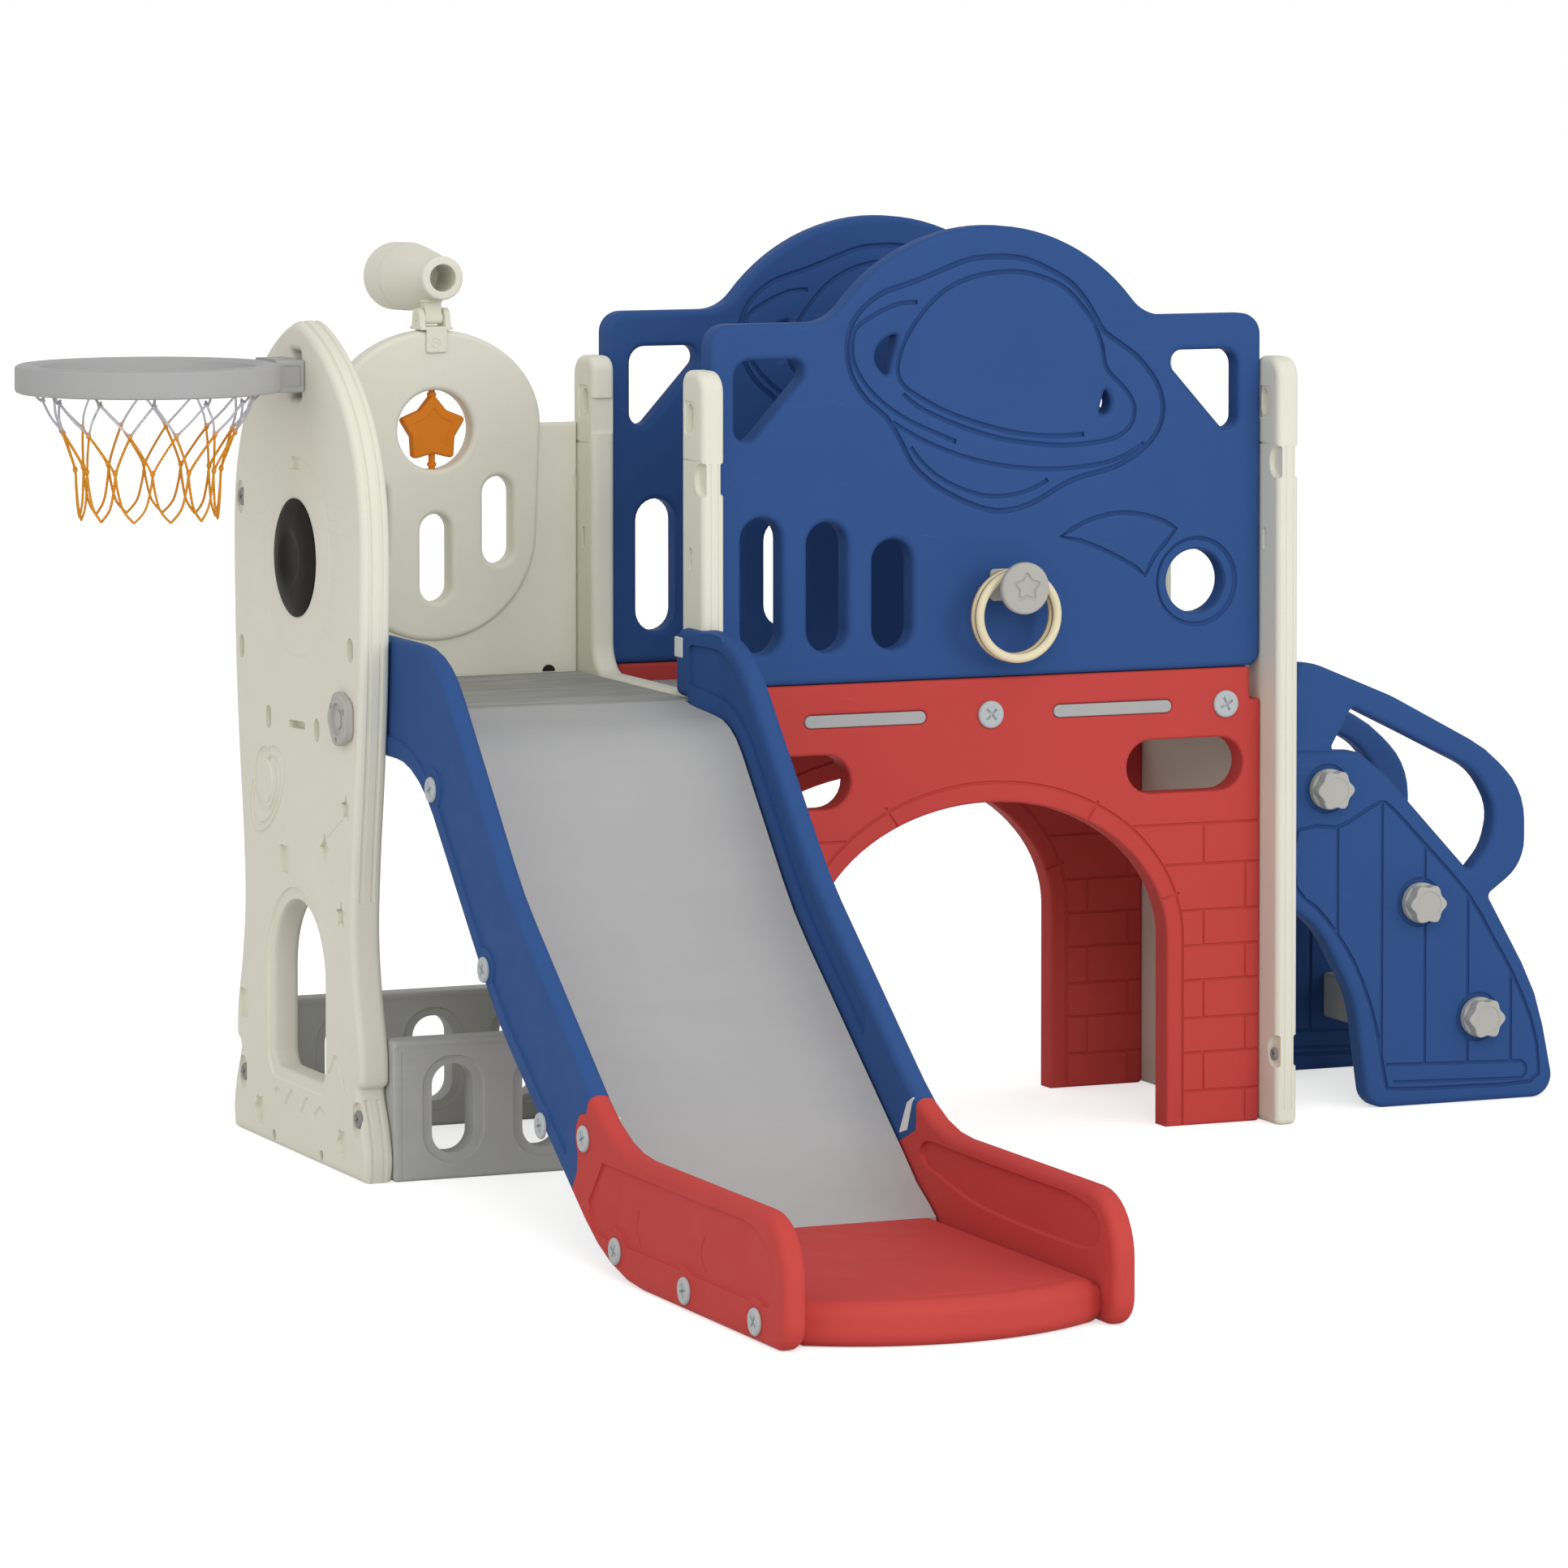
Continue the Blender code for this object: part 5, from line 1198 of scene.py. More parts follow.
@dataclass
class Deck:
    """The grey platform and the two pierced boards that tie the bay at the floor."""

    left: float = -0.8357
    right: float = -0.4283
    middle: float = -0.632
    top: float = 0.600
    thickness: float = 0.042
    front: float = -0.020
    rear: float = 0.3747
    notch_x: float = -0.8064
    notch_y: float = 0.0853
    board_height: float = 0.180
    board_thickness: float = 0.040
    hole_pitch: float = 0.123
    hole_z: float = 0.090
    hole_size: tuple[float, float, float] = (0.056, 0.114, 0.0265)
    rim_size: tuple[float, float, float] = (0.085, 0.137, 0.0395)

    def build_platform(self) -> None:
        """Make the platform with its rounded front edge and shallow top field."""
        outline = run(
            (self.notch_x, self.front), (self.right, self.front), (self.right, self.rear),
            (self.left, self.rear), (self.left, self.notch_y), (self.notch_x, self.notch_y),
        )
        board = plate(outline, Plane.Z, self.top - self.thickness, self.top, (), 0.005, 0.0, 3)
        top = Face(Plane.Z, self.top, 1)
        under = Face(Plane.Z, self.top - self.thickness, -1)
        cuts = [top.line((self.notch_x - 0.005, 0.012), (self.right + 0.005, 0.012), 0.006, 0.0015)]
        for x in (-0.74, -0.65, -0.56, -0.47):
            cuts.append(under.pocket(stadium(x, 0.18, 0.05, 0.26), 0.010, 0.004))
        dress(carved(board, cuts), "deck_platform", DECK_GREY, ("platform",))

    def build_board(self, name: str, node: str, start: float) -> None:
        """Make one pierced board whose holes have stepped rims."""
        end = start + self.board_thickness
        centres = [(self.middle + offset * self.hole_pitch, self.hole_z) for offset in (-1, 0, 1)]
        holes = [centred(*centre, *self.hole_size) for centre in centres]
        outline = rectangle(self.left, self.right, 0.0, self.board_height, 0.006)
        board = plate(outline, Plane.Y, start, end, holes, 0.005, 0.0, 3)
        cuts = []
        for face in both_faces(Plane.Y, start, end):
            for centre in centres:
                rim = centred(*centre, *self.rim_size)
                cuts.append(plate(rim, Plane.Y, *face.slab(0.0045, 0.012), (), 0.004, 0.0, 2))
            cuts.append(face.line((self.left - 0.005, 0.171), (self.right + 0.005, 0.171), 0.0045, 0.0014))
            for x in (self.left + 0.012, self.right - 0.012):
                cuts.append(face.line((x, 0.004), (x, 0.166), 0.0045, 0.0012))
        dress(carved(board, cuts), name, BOARD_GREY, (node,))

    def build(self) -> None:
        """Make the platform and both boards."""
        self.build_platform()
        self.build_board("front_floor_board", "front_board", -0.012)
        self.build_board("back_floor_board", "back_board", 0.390)


@dataclass
class Columns:
    """The two cream, U-shaped column panels at the ends of the bridge."""

    thickness: float = 0.032
    front: float = -0.048
    rear: float = 0.403
    front_post: float = 0.071
    rear_post: float = 0.073
    top: float = 1.021
    sill: float = 0.603
    foot: float = 0.110
    foot_gap: float = 0.045
    rim: float = 0.009

    def outline(self) -> Loop:
        """Return the U-shaped outline: two posts, a sill and two feet."""
        inner_front = self.front + self.front_post
        inner_rear = self.rear - self.rear_post
        foot_front, foot_rear = self.front + self.foot, self.rear - self.foot
        return rounded((
            (self.front, 0.0, 0.008), (self.front, self.top, 0.028), (inner_front, self.top, 0.020),
            (inner_front, self.sill, 0.040), (inner_rear, self.sill, 0.040), (inner_rear, self.top, 0.020),
            (self.rear, self.top, 0.028), (self.rear, 0.0, 0.008), (foot_rear, 0.0, 0.004),
            (foot_rear, self.foot_gap, 0.025), (foot_front, self.foot_gap, 0.025), (foot_front, 0.0, 0.004),
        ))

    def build_one(self, name: str, node: str, start: float) -> None:
        """Make one column with its recesses, slots and mould lines."""
        end = start + self.thickness
        column = plate(self.outline(), Plane.X, start, end, (), self.rim, 0.0, 3)
        cuts = []
        for face in both_faces(Plane.Y, self.front, self.rear):
            for share in (0.36, 0.68):
                along = start + share * self.thickness
                cuts.append(face.line((along, 0.02), (along, 0.903), 0.0034, 0.0014))
        middle = (self.front + self.rear) / 2
        for face in both_faces(Plane.X, start, end):
            for side in (-1, 1):
                edge = middle + side * (self.rear - middle)
                across = edge - side * 0.0060
                if face.outward > 0 or side < 0:
                    cuts.append(face.pocket(stadium(across, 0.8825, 0.038, 0.043), 0.0065, 0.0020))
                cuts.append(face.pocket(stadium(across, 0.0990, 0.038, 0.043), 0.0065, 0.0020))
                ends = sorted((edge - side * 0.060, edge - side * 0.022))
                cuts.append(face.pocket(rectangle(*ends, 0.938, 0.982, 0.006), 0.0020, 0.0010))
                cuts.append(face.pocket(stadium(edge - side * 0.043, 0.9600, 0.020, 0.036), 0.0110, 0.0015))
                cuts.append(face.pocket(stadium(edge - side * 0.040, 0.7790, 0.010, 0.030), 0.0070, 0.0010))
                cuts.append(
                    face.line((edge + side * 0.01, 0.905), (edge - side * 0.081, 0.905), 0.0040, 0.0016)
                )
        for place, outward in ((self.front + self.front_post, 1), (self.rear - self.rear_post, -1)):
            band = rectangle(start - 0.01, end + 0.01, 0.918, 0.966, 0.002)
            cuts.append(Face(Plane.Y, place, outward).pocket(band, 0.0060, 0.0010))
        dress(carved(column, cuts), name, CREAM, (node,))
        seat = Face(Plane.X, start + 0.0064, -1)
        dress(ScrewHead(0.0085, 0.0040, 0.0020, 0.0045).build(seat, -0.0325, 0.0940), name + "_bolt", BOLT)

    def build(self) -> None:
        """Make both columns."""
        self.build_one("middle_column", "mid_column", -0.428)
        self.build_one("end_column", "right_column", 0.396)


@dataclass(frozen=True)
class SpaceRelief:
    """The soft grooves that draw a ringed planet and a fin on a guard panel."""

    contour: Places = (
        (-0.0244, 1.1578), (-0.057, 1.1483), (-0.0865, 1.137), (-0.1197, 1.1258), (-0.1491, 1.1173),
        (-0.1711, 1.105), (-0.1894, 1.0879), (-0.2004, 1.0687), (-0.2048, 1.0453), (-0.2022, 1.0217),
        (-0.1931, 0.998), (-0.1747, 0.974), (-0.149, 0.9532), (-0.1269, 0.9189), (-0.1121, 0.8915),
        (-0.0863, 0.8672), (-0.0566, 0.8494), (-0.0242, 0.8349), (0.0082, 0.8264), (0.0417, 0.8294),
        (0.0716, 0.8404), (0.0978, 0.8549), (0.1241, 0.8661), (0.1504, 0.8721), (0.1806, 0.8798),
        (0.207, 0.8927), (0.2297, 0.9092), (0.2448, 0.9293), (0.2504, 0.9531), (0.2466, 0.9771),
        (0.2332, 1.0013), (0.2105, 1.0258), (0.1878, 1.0416), (0.1651, 1.0574), (0.1538, 1.0747),
        (0.1387, 1.0988), (0.1161, 1.1231), (0.0861, 1.1406), (0.0524, 1.1548), (0.0189, 1.1594),
    )
    globe: Places = (
        (0.1621, 1.0371), (0.15, 1.068), (0.1349, 1.0887), (0.1123, 1.1129), (0.0823, 1.1288),
        (0.045, 1.1386), (0.0077, 1.1386), (-0.0294, 1.1326), (-0.0664, 1.1164), (-0.0959, 1.09),
        (-0.118, 1.0602), (-0.1298, 1.0335), (-0.1327, 1.01), (-0.1235, 0.993), (-0.1032, 0.979),
        (-0.0662, 0.9595), (-0.0217, 0.9431), (0.0267, 0.93), (0.0677, 0.9238), (0.1015, 0.9222),
        (0.1353, 0.9237),
    )
    orbit_left: Places = (
        (-0.1049, 1.102), (-0.1307, 1.1008), (-0.1564, 1.0913), (-0.1748, 1.0816), (-0.1931, 1.0685),
        (-0.1975, 1.0451), (-0.1949, 1.0249), (-0.1821, 1.0011), (-0.1637, 0.9805), (-0.1417, 0.9631),
        (-0.1122, 0.9455), (-0.0789, 0.9311), (-0.0493, 0.9185),
    )
    orbit_low: Places = (
        (-0.14, 0.9462), (-0.1032, 0.925), (-0.0662, 0.9088), (-0.0217, 0.894), (0.0267, 0.8842),
        (0.0828, 0.8792), (0.1278, 0.8806), (0.1655, 0.8853), (0.1956, 0.8947), (0.2221, 0.9094),
    )
    orbit_inner: Places = (
        (0.1621, 1.0371), (0.1652, 1.0166), (0.1727, 1.0028), (0.1879, 0.9888), (0.203, 0.9713),
        (0.2087, 0.9541), (0.205, 0.9371), (0.1918, 0.9238), (0.1729, 0.9158), (0.1428, 0.9115),
        (0.1015, 0.9099), (0.0603, 0.9138), (0.0192, 0.92), (-0.0217, 0.9313), (-0.0662, 0.9477),
        (-0.1032, 0.9655), (-0.1253, 0.9829),
    )
    crescent: Places = (
        (-0.1142, 0.9135), (-0.0994, 0.8945), (-0.0773, 0.8753), (-0.0476, 0.8593), (-0.0142, 0.8481),
        (0.0156, 0.8455), (0.0454, 0.8497), (0.0679, 0.8575), (0.0828, 0.8656),
    )
    fin: Places = (
        (0.1017, 0.7901), (0.1355, 0.8078), (0.1694, 0.817), (0.1958, 0.8185), (0.2261, 0.8142),
        (0.2527, 0.8051), (0.2698, 0.795), (0.2528, 0.775), (0.2376, 0.7584), (0.2244, 0.7348),
        (0.2111, 0.7456), (0.1884, 0.7583), (0.1582, 0.773), (0.128, 0.7842),
    )
    left_gap: Places = (
        (-0.1325, 1.0588), (-0.1527, 1.0525), (-0.1637, 1.0343), (-0.1582, 1.0173), (-0.1454, 1.0086),
        (-0.1399, 1.027),
    )
    right_gap: Places = (
        (0.1683, 0.9807), (0.1758, 0.9652), (0.171, 0.9517), (0.1597, 0.9503), (0.1623, 0.9655),
    )

    def cutters(self, face: Face) -> list[Piece]:
        """Return the grooves."""
        cuts = face.trough(smooth(self.contour, 2, True), 0.017, 0.0062, True)
        for path, width, depth in (
            (self.globe, 0.0140, 0.0054), (self.orbit_left, 0.0130, 0.0050), (self.orbit_low, 0.0130, 0.0050),
            (self.orbit_inner, 0.0140, 0.0054), (self.crescent, 0.0125, 0.0048),
        ):
            cuts += face.trough(smooth(path, 2), width, depth)
        fin = smooth(self.fin[:7], 2) + smooth(self.fin[7:10], 2) + smooth(self.fin[10:], 2)
        cuts += face.trough(fin, 0.0140, 0.0052, True)
        return cuts

    def gaps(self) -> list[Loop]:
        """Return the two openings between the globe and its orbit."""
        return [smooth(gap, 4, True) for gap in (self.left_gap, self.right_gap)]


@dataclass
class GuardPanels:
    """The two blue guard panels with windows, slots, a round hole and the space relief."""

    half: float = 0.396
    base: float = 0.6083
    shoulder: float = 1.078
    dome_top: float = 1.200
    dome_radius: float = 0.266
    dome_fillet: float = 0.060
    thickness: float = 0.038
    rim: float = 0.0085
    slot_tops: tuple[float, ...] = (0.827, 0.819, 0.794)
    slot_base: float = 0.650
    slot_width: float = 0.057
    first_slot: float = -0.3245
    slot_pitch: float = 0.0928
    port: tuple[float, float] = (0.300, 0.7245)

    def outline(self) -> Loop:
        """Return the panel's outline with its domed middle."""
        edge = self.half - GAP
        centre_z = self.dome_top - self.dome_radius
        rise = self.shoulder + self.dome_fillet - centre_z
        reach = math.sqrt((self.dome_radius + self.dome_fillet) ** 2 - rise ** 2)
        angle = math.atan2(rise, reach)
        corners = (
            (0.0, self.base, 0.0), (edge, self.base, 0.020), (edge, self.shoulder, 0.028),
            (reach, self.shoulder, 0.0),
        )
        hollow = ellipse_arc(
            reach, self.shoulder + self.dome_fillet, self.dome_fillet, self.dome_fillet,
            -math.pi / 2, angle - math.pi, 8,
        )
        crown = ellipse_arc(0.0, centre_z, self.dome_radius, self.dome_radius, angle, math.pi / 2, 14)
        half = rounded(corners)[1:-1] + hollow + crown[1:]
        return half + [Vector((-point.x, point.y)) for point in reversed(half[:-1])]

    def holes(self) -> list[Loop]:
        """Return the triangle windows, the slots and the round hole."""
        left = -self.half + 0.034
        triangle = ((left, 1.031, 0.022), (left + 0.118, 1.031, 0.016), (left, 0.901, 0.016))
        loops = [rounded(triangle), rounded(tuple((-a, b, radius) for a, b, radius in triangle))]
        for index, top in enumerate(self.slot_tops):
            place = (self.first_slot + index * self.slot_pitch, (self.slot_base + top) / 2)
            loops.append(stadium(*place, self.slot_width, top - self.slot_base))
        loops.append(circle(*self.port, 0.042, 48))
        return loops

    def build_one(self, name: str, node: str, start: float, relief_faces: Sequence[int]) -> None:
        """Make one guard panel.

        Args:
            name: its name.
            node: the frame's node that it stands for.
            start: its front face.
            relief_faces: the sides that show the relief, -1 in front and 1 behind.
        """
        end = start + self.thickness
        relief = SpaceRelief()
        panel = plate(self.outline(), Plane.Y, start, end, self.holes() + relief.gaps(), self.rim, 0.0, 3)
        for face in both_faces(Plane.Y, start, end):
            seat = plate(
                circle(*self.port, 0.060, 48), Plane.Y, *face.slab(0.0060, 0.014), (), 0.0055, 0.0, 3
            )
            panel = carved(panel, [seat] + (relief.cutters(face) if face.outward in relief_faces else []))
        low, high = Face(Plane.Y, start + 0.0060, -1).slab(0.002, 0.0035)
        bore = circle(*self.port, 0.0435, 48)
        swell = plate(circle(*self.port, 0.0555, 48), Plane.Y, low, high, [bore], 0.0026, 0.0, 3)
        dress(joined([panel, swell]), name, BLUE, (node,))

    def build(self) -> None:
        """Make both guard panels."""
        self.build_one("front_guard", "front_guard_panel", 0.0, (-1,))
        self.build_one("back_guard", "back_guard_panel", 0.358, (-1, 1))


def floor_tabs(gap: float) -> list[Loop]:
    """Return the outlines of the floor's two tabs, or with a gap those of their slots."""
    return [stadium(x, SCREW_Z, 0.172 + 2 * gap, 0.0165 + 2 * gap) for x in (-0.178, 0.178)]


@dataclass
class ArchPanels:
    """The two red arch panels with brick lines, oval windows and tab slots."""

    half: float = 0.396
    height: float = 0.608
    thickness: float = 0.038
    arch_half: float = 0.258
    spring: float = 0.250
    arch_top: float = 0.444
    band_half: float = 0.2804
    band_top: float = 0.4705
    notch: float = 0.016
    notch_height: float = 0.043
    courses: tuple[float, ...] = (0.4024, 0.3485, 0.2868, 0.2400, 0.1936, 0.1432, 0.0971, 0.0461)
    near_joint: float = 0.3114
    far_joint: float = 0.3728
    line_width: float = 0.0040
    line_depth: float = 0.0026

    def outline(self) -> Loop:
        """Return the panel's outline with its feet and notched top corners."""
        edge = self.half - GAP
        low, inner = self.height - self.notch_height, edge - self.notch
        outer = rounded((
            (edge, 0.0, 0.006), (edge, low, 0.004), (inner, low, 0.004), (inner, self.height, 0.004),
            (-inner, self.height, 0.004), (-inner, low, 0.004), (-edge, low, 0.004), (-edge, 0.0, 0.006),
        ))
        opening = ellipse_arc(0.0, self.spring, self.arch_half, self.arch_top - self.spring, math.pi, 0.0, 44)
        return outer + run((-self.arch_half, 0.0)) + opening + run((self.arch_half, 0.0))

    def ovals(self) -> list[Loop]:
        """Return the two oval windows."""
        return [stadium(side * 0.2845, 0.4805, 0.171, 0.071) for side in (-1, 1)]

    def band_edge(self, z: float) -> float:
        """Return how far the arch's band reaches from the middle at a height."""
        if z <= self.spring:
            return self.band_half
        share = min((z - self.spring) / (self.band_top - self.spring), 1.0)
        return self.band_half * math.sqrt(1 - share ** 2)

    def bricks(self, face: Face) -> list[Piece]:
        """Return the cutters of the arch's band and the brick lines of one side."""
        width, depth = self.line_width, self.line_depth
        arc = ellipse_arc(0.0, self.spring, self.band_half, self.band_top - self.spring, math.pi, 0.0, 48)
        path = run((-self.band_half, -0.01)) + arc + run((self.band_half, -0.01))
        cuts = [face.groove(path, width + 0.0008, depth + 0.0003)]
        for first, second in (
            ((0.1400, 0.4130), (0.1570, 0.4390)), ((-0.1330, 0.4180), (-0.1500, 0.4440)),
            ((0.2450, 0.3020), (0.2760, 0.3110)), ((-0.2450, 0.3020), (-0.2760, 0.3110)),
        ):
            cuts.append(face.line(first, second, width, depth))
        for side in (-1, 1):
            for index, z in enumerate(self.courses):
                start = self.band_edge(z) + 0.003
                cuts.append(face.line((side * start, z), (side * (self.half + 0.003), z), width, depth))
                low = self.courses[index + 1] if index + 1 < len(self.courses) else -0.004
                joint = self.near_joint if index % 2 == 0 else self.far_joint
                cuts.append(face.line((side * joint, z), (side * joint, low), width, depth))
        return cuts

    def build_one(self, name: str, node: str, start: float) -> None:
        """Make one arch panel, whose bricks show on both sides."""
        end = start + self.thickness
        panel = plate(self.outline(), Plane.Y, start, end, self.ovals() + floor_tabs(GAP), 0.0045, 0.0, 3)
        for face in both_faces(Plane.Y, start, end):
            panel = carved(panel, self.bricks(face))
        dress(panel, name, RED, (node,), sharp=55)

    def build(self) -> None:
        """Make both arch panels and the screw heads of the front one."""
        self.build_one("front_arch", "front_arch_panel", 0.0)
        self.build_one("back_arch", "back_arch_panel", 0.358)
        front = Face(Plane.Y, 0.0, -1)
        for index, (x, turn) in enumerate(((-0.343, 0.3), (0.0, 0.75), (0.343, 0.45))):
            head = ScrewHead(turn=turn).build(front, x, SCREW_Z)
            dress(head, f"arch_screw_head_{index + 1}", SCREW, (f"arch_screw_{index + 1}",))


@dataclass
class BridgeFloor:
    """The grey floor of the bridge, whose tabs pass through both arch panels."""

    half: float = 0.3957
    near: float = 0.0383
    far: float = 0.3577
    top: float = 0.585
    thickness: float = 0.040
    tab_end: float = 0.3957

    def build(self) -> None:
        """Make the floor, its tread grooves and its tabs."""
        slab = block(
            (-self.half, self.half), (self.near, self.far), (self.top - self.thickness, self.top), 0.003
        )
        face = Face(Plane.Z, self.top, 1)
        cuts = []
        for index in range(9):
            y = self.near + 0.032 + index * 0.032
            cuts.append(face.line((-self.half + 0.03, y), (self.half - 0.03, y), 0.0050, 0.0016))
        shells = [carved(slab, cuts)]
        shells += [plate(tab, Plane.Y, GAP, self.tab_end, (), 0.0015, 0.0, 2) for tab in floor_tabs(0.0)]
        dress(joined(shells), "bridge_deck", GREY, ("bridge_floor",))


@dataclass
class Slide:
    """The slide: blue upper and red lower rails, a grey chute and a red exit tray."""

    left_x: float = -0.8357
    right_x: float = -0.428
    rail: float = 0.029
    rear: float = 0.085
    column_front: float = -0.0483
    rim: float = 0.011
    chute_thickness: float = 0.022
    slit: float = 0.0036
    cove: float = 0.060
    lift: float = 0.016
    platform_front: float = -0.0203
    joint_y: float = -0.784
    tray_front: float = -1.288
    tray_sagitta: float = 0.060
    undercut: float = -0.880
    bump: float = 0.0275
    cheek_front: float = -0.115
    slope_start: float = -0.036
    cheek_depth: float = 0.012
    field_depth: float = 0.0025
    tray_top: float = 0.052
    lobe_joint: Places = ((-0.600, 0.040), (-0.618, 0.078), (-0.640, 0.112))
    lobe_centre: tuple[float, float] = (-0.665, 0.154)
    lobe_radius: float = 0.030
    joint_tab: Corners = (
        (-0.7085, 0.1850, 0.001), (-0.6905, 0.1425, 0.001), (-0.6670, 0.1355, 0.001), (-0.6905, 0.1760, 0.001)
    )
    top_corners: Corners = ((-0.148, 0.690, 0.16), (-0.400, 0.417, 0.50), (-0.751, 0.153, 0.25))
    nose_corners: Corners = ((-1.268, 0.153, 0.075), (-1.268, 0.000, 0.035))
    low_corners: Corners = ((-0.738, 0.000, 0.32), (-0.372, 0.249, 0.50), (-0.088, 0.538, 0.20))
    bed_corners: Corners = ((-0.152, 0.572, 0.16), (-0.354, 0.349, 0.50), (-0.760, 0.052, 0.25))
    bed_rear_z: float = 0.5985
    straight_joint: Places = (
        (-0.605, 0.020), (-0.628, 0.070), (-0.650, 0.108), (-0.6630, 0.1240), (-0.7150, 0.1460),
        (-0.7170, 0.1600), (-0.7080, 0.2600),
    )
    screw_size: tuple[float, float, float, float] = (0.0160, 0.0046, 0.0032, 0.0088)
    upper_screws: Places = ((-0.151, 0.515), (-0.334, 0.313), (-0.526, 0.149))
    lower_screws: Places = ((-0.665, 0.154), (-0.765, 0.036), (-0.978, 0.025), (-1.186, 0.025))

    @property
    def cheek_face(self) -> float:
        """Return the place of the cheek's inner face."""
        return self.right_x - GAP - self.cheek_depth

    def rail_outline(self) -> Loop:
        """Return the side outline of a whole rail."""
        top = ((self.rear, self.top_corners[0][1], 0.020), *self.top_corners)
        low = (*self.low_corners, (self.rear, self.low_corners[-1][1], 0.020))
        return rounded((*top, *self.nose_corners, *low))

    def chain(self, corners: Corners, first: Sequence[float], last: Sequence[float]) -> Loop:
        """Return an open chain through rounded corners between two ends."""
        places = [(*first, 0.0), *corners, (*last, 0.0)]
        points = [Vector(first)]
        for index in range(1, len(places) - 1):
            before, here, after = (Vector(places[index + k][:2]) for k in (-1, 0, 1))
            points += fillet(before, here, after, places[index][2])
        return points + [Vector(last)]

    def joint_region(self, shift: float, upper: bool, lobe: bool) -> Loop:
        """Return the area on one side of the joint between upper and lower rail.

        Args:
            shift: how far the joint is moved towards the panel.
            upper: whether the area is the upper rail's.
            lobe: whether the joint runs round the screw, as on the left rail.

        Returns:
            The area's outline.
        """
        line = [Vector((y + shift, z)) for y, z in (self.lobe_joint if lobe else self.straight_joint)]
        if lobe:
            radius = self.lobe_radius + shift
            line += ellipse_arc(*self.lobe_centre, radius, radius, math.radians(-40), math.radians(100), 16)
            line += run((-0.700 + shift, 0.260))
        far = self.rear + 0.1 if upper else self.nose_corners[0][0] - 0.1
        return line + run((line[-1].x, 0.8), (far, 0.8), (far, -0.1), (line[0].x, -0.1))

    def bumped(self, chain: Loop, centres: Places, radius: float) -> Loop:
        """Lead a chain round the upper side of some circles.

        Args:
            chain: the open chain, which runs from the panel to the nose.
            centres: the circles' centres.
            radius: the circles' radius.

        Returns:
            The chain with an arc in place of what lay inside each circle.
        """
        points: Loop = []
        inside: Optional[Vector] = None
        for point in chain:
            near = [Vector(centre) for centre in centres if (point - Vector(centre)).length < radius]
            if near:
                inside = inside or near[0]
                continue
            if inside is not None:
                start = (points[-1] - inside).angle_signed(Vector((1, 0))) if points else 0.0
                end = (point - inside).angle_signed(Vector((1, 0)))
                while end < start:
                    end += 2 * math.pi
                points += ellipse_arc(inside.x, inside.y, radius, radius, start, end, 14)
                inside = None
            points.append(point)
        return points

    def low_chain(self, depth: float) -> Loop:
        """Return the rail's lower edge from the panel to the nose, moved inward."""
        ends = ((self.rear, self.low_corners[-1][1]), (self.nose_corners[0][0], 0.0))
        dense = self.densify(self.chain(tuple(reversed(self.low_corners)), *ends))
        return lowered(dense, -depth)

    def densify(self, chain: Loop, step: float = 0.012) -> Loop:
        """Return a chain with points no further apart than a step."""
        points = [chain[0]]
        for first, second in zip(chain, chain[1:]):
            count = max(1, math.ceil((second - first).length / step))
            points += [first.lerp(second, index / count) for index in range(1, count + 1)]
        return points

    def upper_field(self, face: Face) -> Piece:
        """Return the cutter of the field above the lower lip of an upper rail."""
        chain = [point for point in self.low_chain(0.028) if -0.610 < point.x < 0.03]
        chain = self.bumped(chain, self.upper_screws, self.bump)
        end = chain[-1]
        outline = chain + run((end.x - 0.01, end.y + 0.02), (-0.9, 0.5), (-0.9, 0.9), (0.03, 0.9))
        low, high = face.slab(self.field_depth, 0.010)
        return plate(outline, Plane.X, low, high, (), 0.0018, 0.0, 2)

    def lower_field(self, face: Face) -> list[Piece]:
        """Return the cutters of the field and the two crescents of a lower rail."""
        floor = [Vector((-0.700 - index * 0.008, 0.046)) for index in range(66)]
        floor = self.bumped(floor, self.lower_screws[1:], self.bump)
        outline = run((-0.722, 0.134), (-0.676, 0.080), (-0.684, 0.056)) + floor
        outline += smooth(
            ((-1.238, 0.062), (-1.232, 0.095), (-1.205, 0.122), (-1.150, 0.1345), (-1.000, 0.1335)), 4
        )
        cuts = [plate(outline, Plane.X, *face.slab(0.003, 0.010), (), 0.0018, 0.0, 2)]
        sunk = Face(face.plane, face.at - face.outward * 0.003, face.outward)
        for path in (
            ((-0.8301, 0.0950), (-0.8235, 0.0711), (-0.8360, 0.0520)),
            ((-1.0307, 0.0960), (-1.0180, 0.0741), (-1.0350, 0.0540)),
        ):
            cuts.append(sunk.groove(smooth(path, 5), 0.0045, 0.0014))
        return cuts

    def inner_fields(self, face: Face, upper: bool) -> list[Piece]:
        """Return the cutters of the field above the chute on a rail's inner side."""
        if upper and face.outward < 0:
            return [self.cheek_field()]
        if upper:
            outline = self.field_outline(-0.110)
        else:
            outline = smooth((
                (-0.748, 0.138), (-0.727, 0.122), (-0.742, 0.106), (-0.7833, 0.0978), (-0.8724, 0.0830),
                (-0.9815, 0.0775), (-1.1231, 0.0765), (-1.195, 0.080), (-1.228, 0.100), (-1.215, 0.126),
                (-1.150, 0.1370), (-1.030, 0.1375), (-0.909, 0.1375), (-0.815, 0.1385),
            ), 4, True)
        return [plate(outline, Plane.X, *face.slab(0.005, 0.012), (), 0.0030, 0.0, 2)]

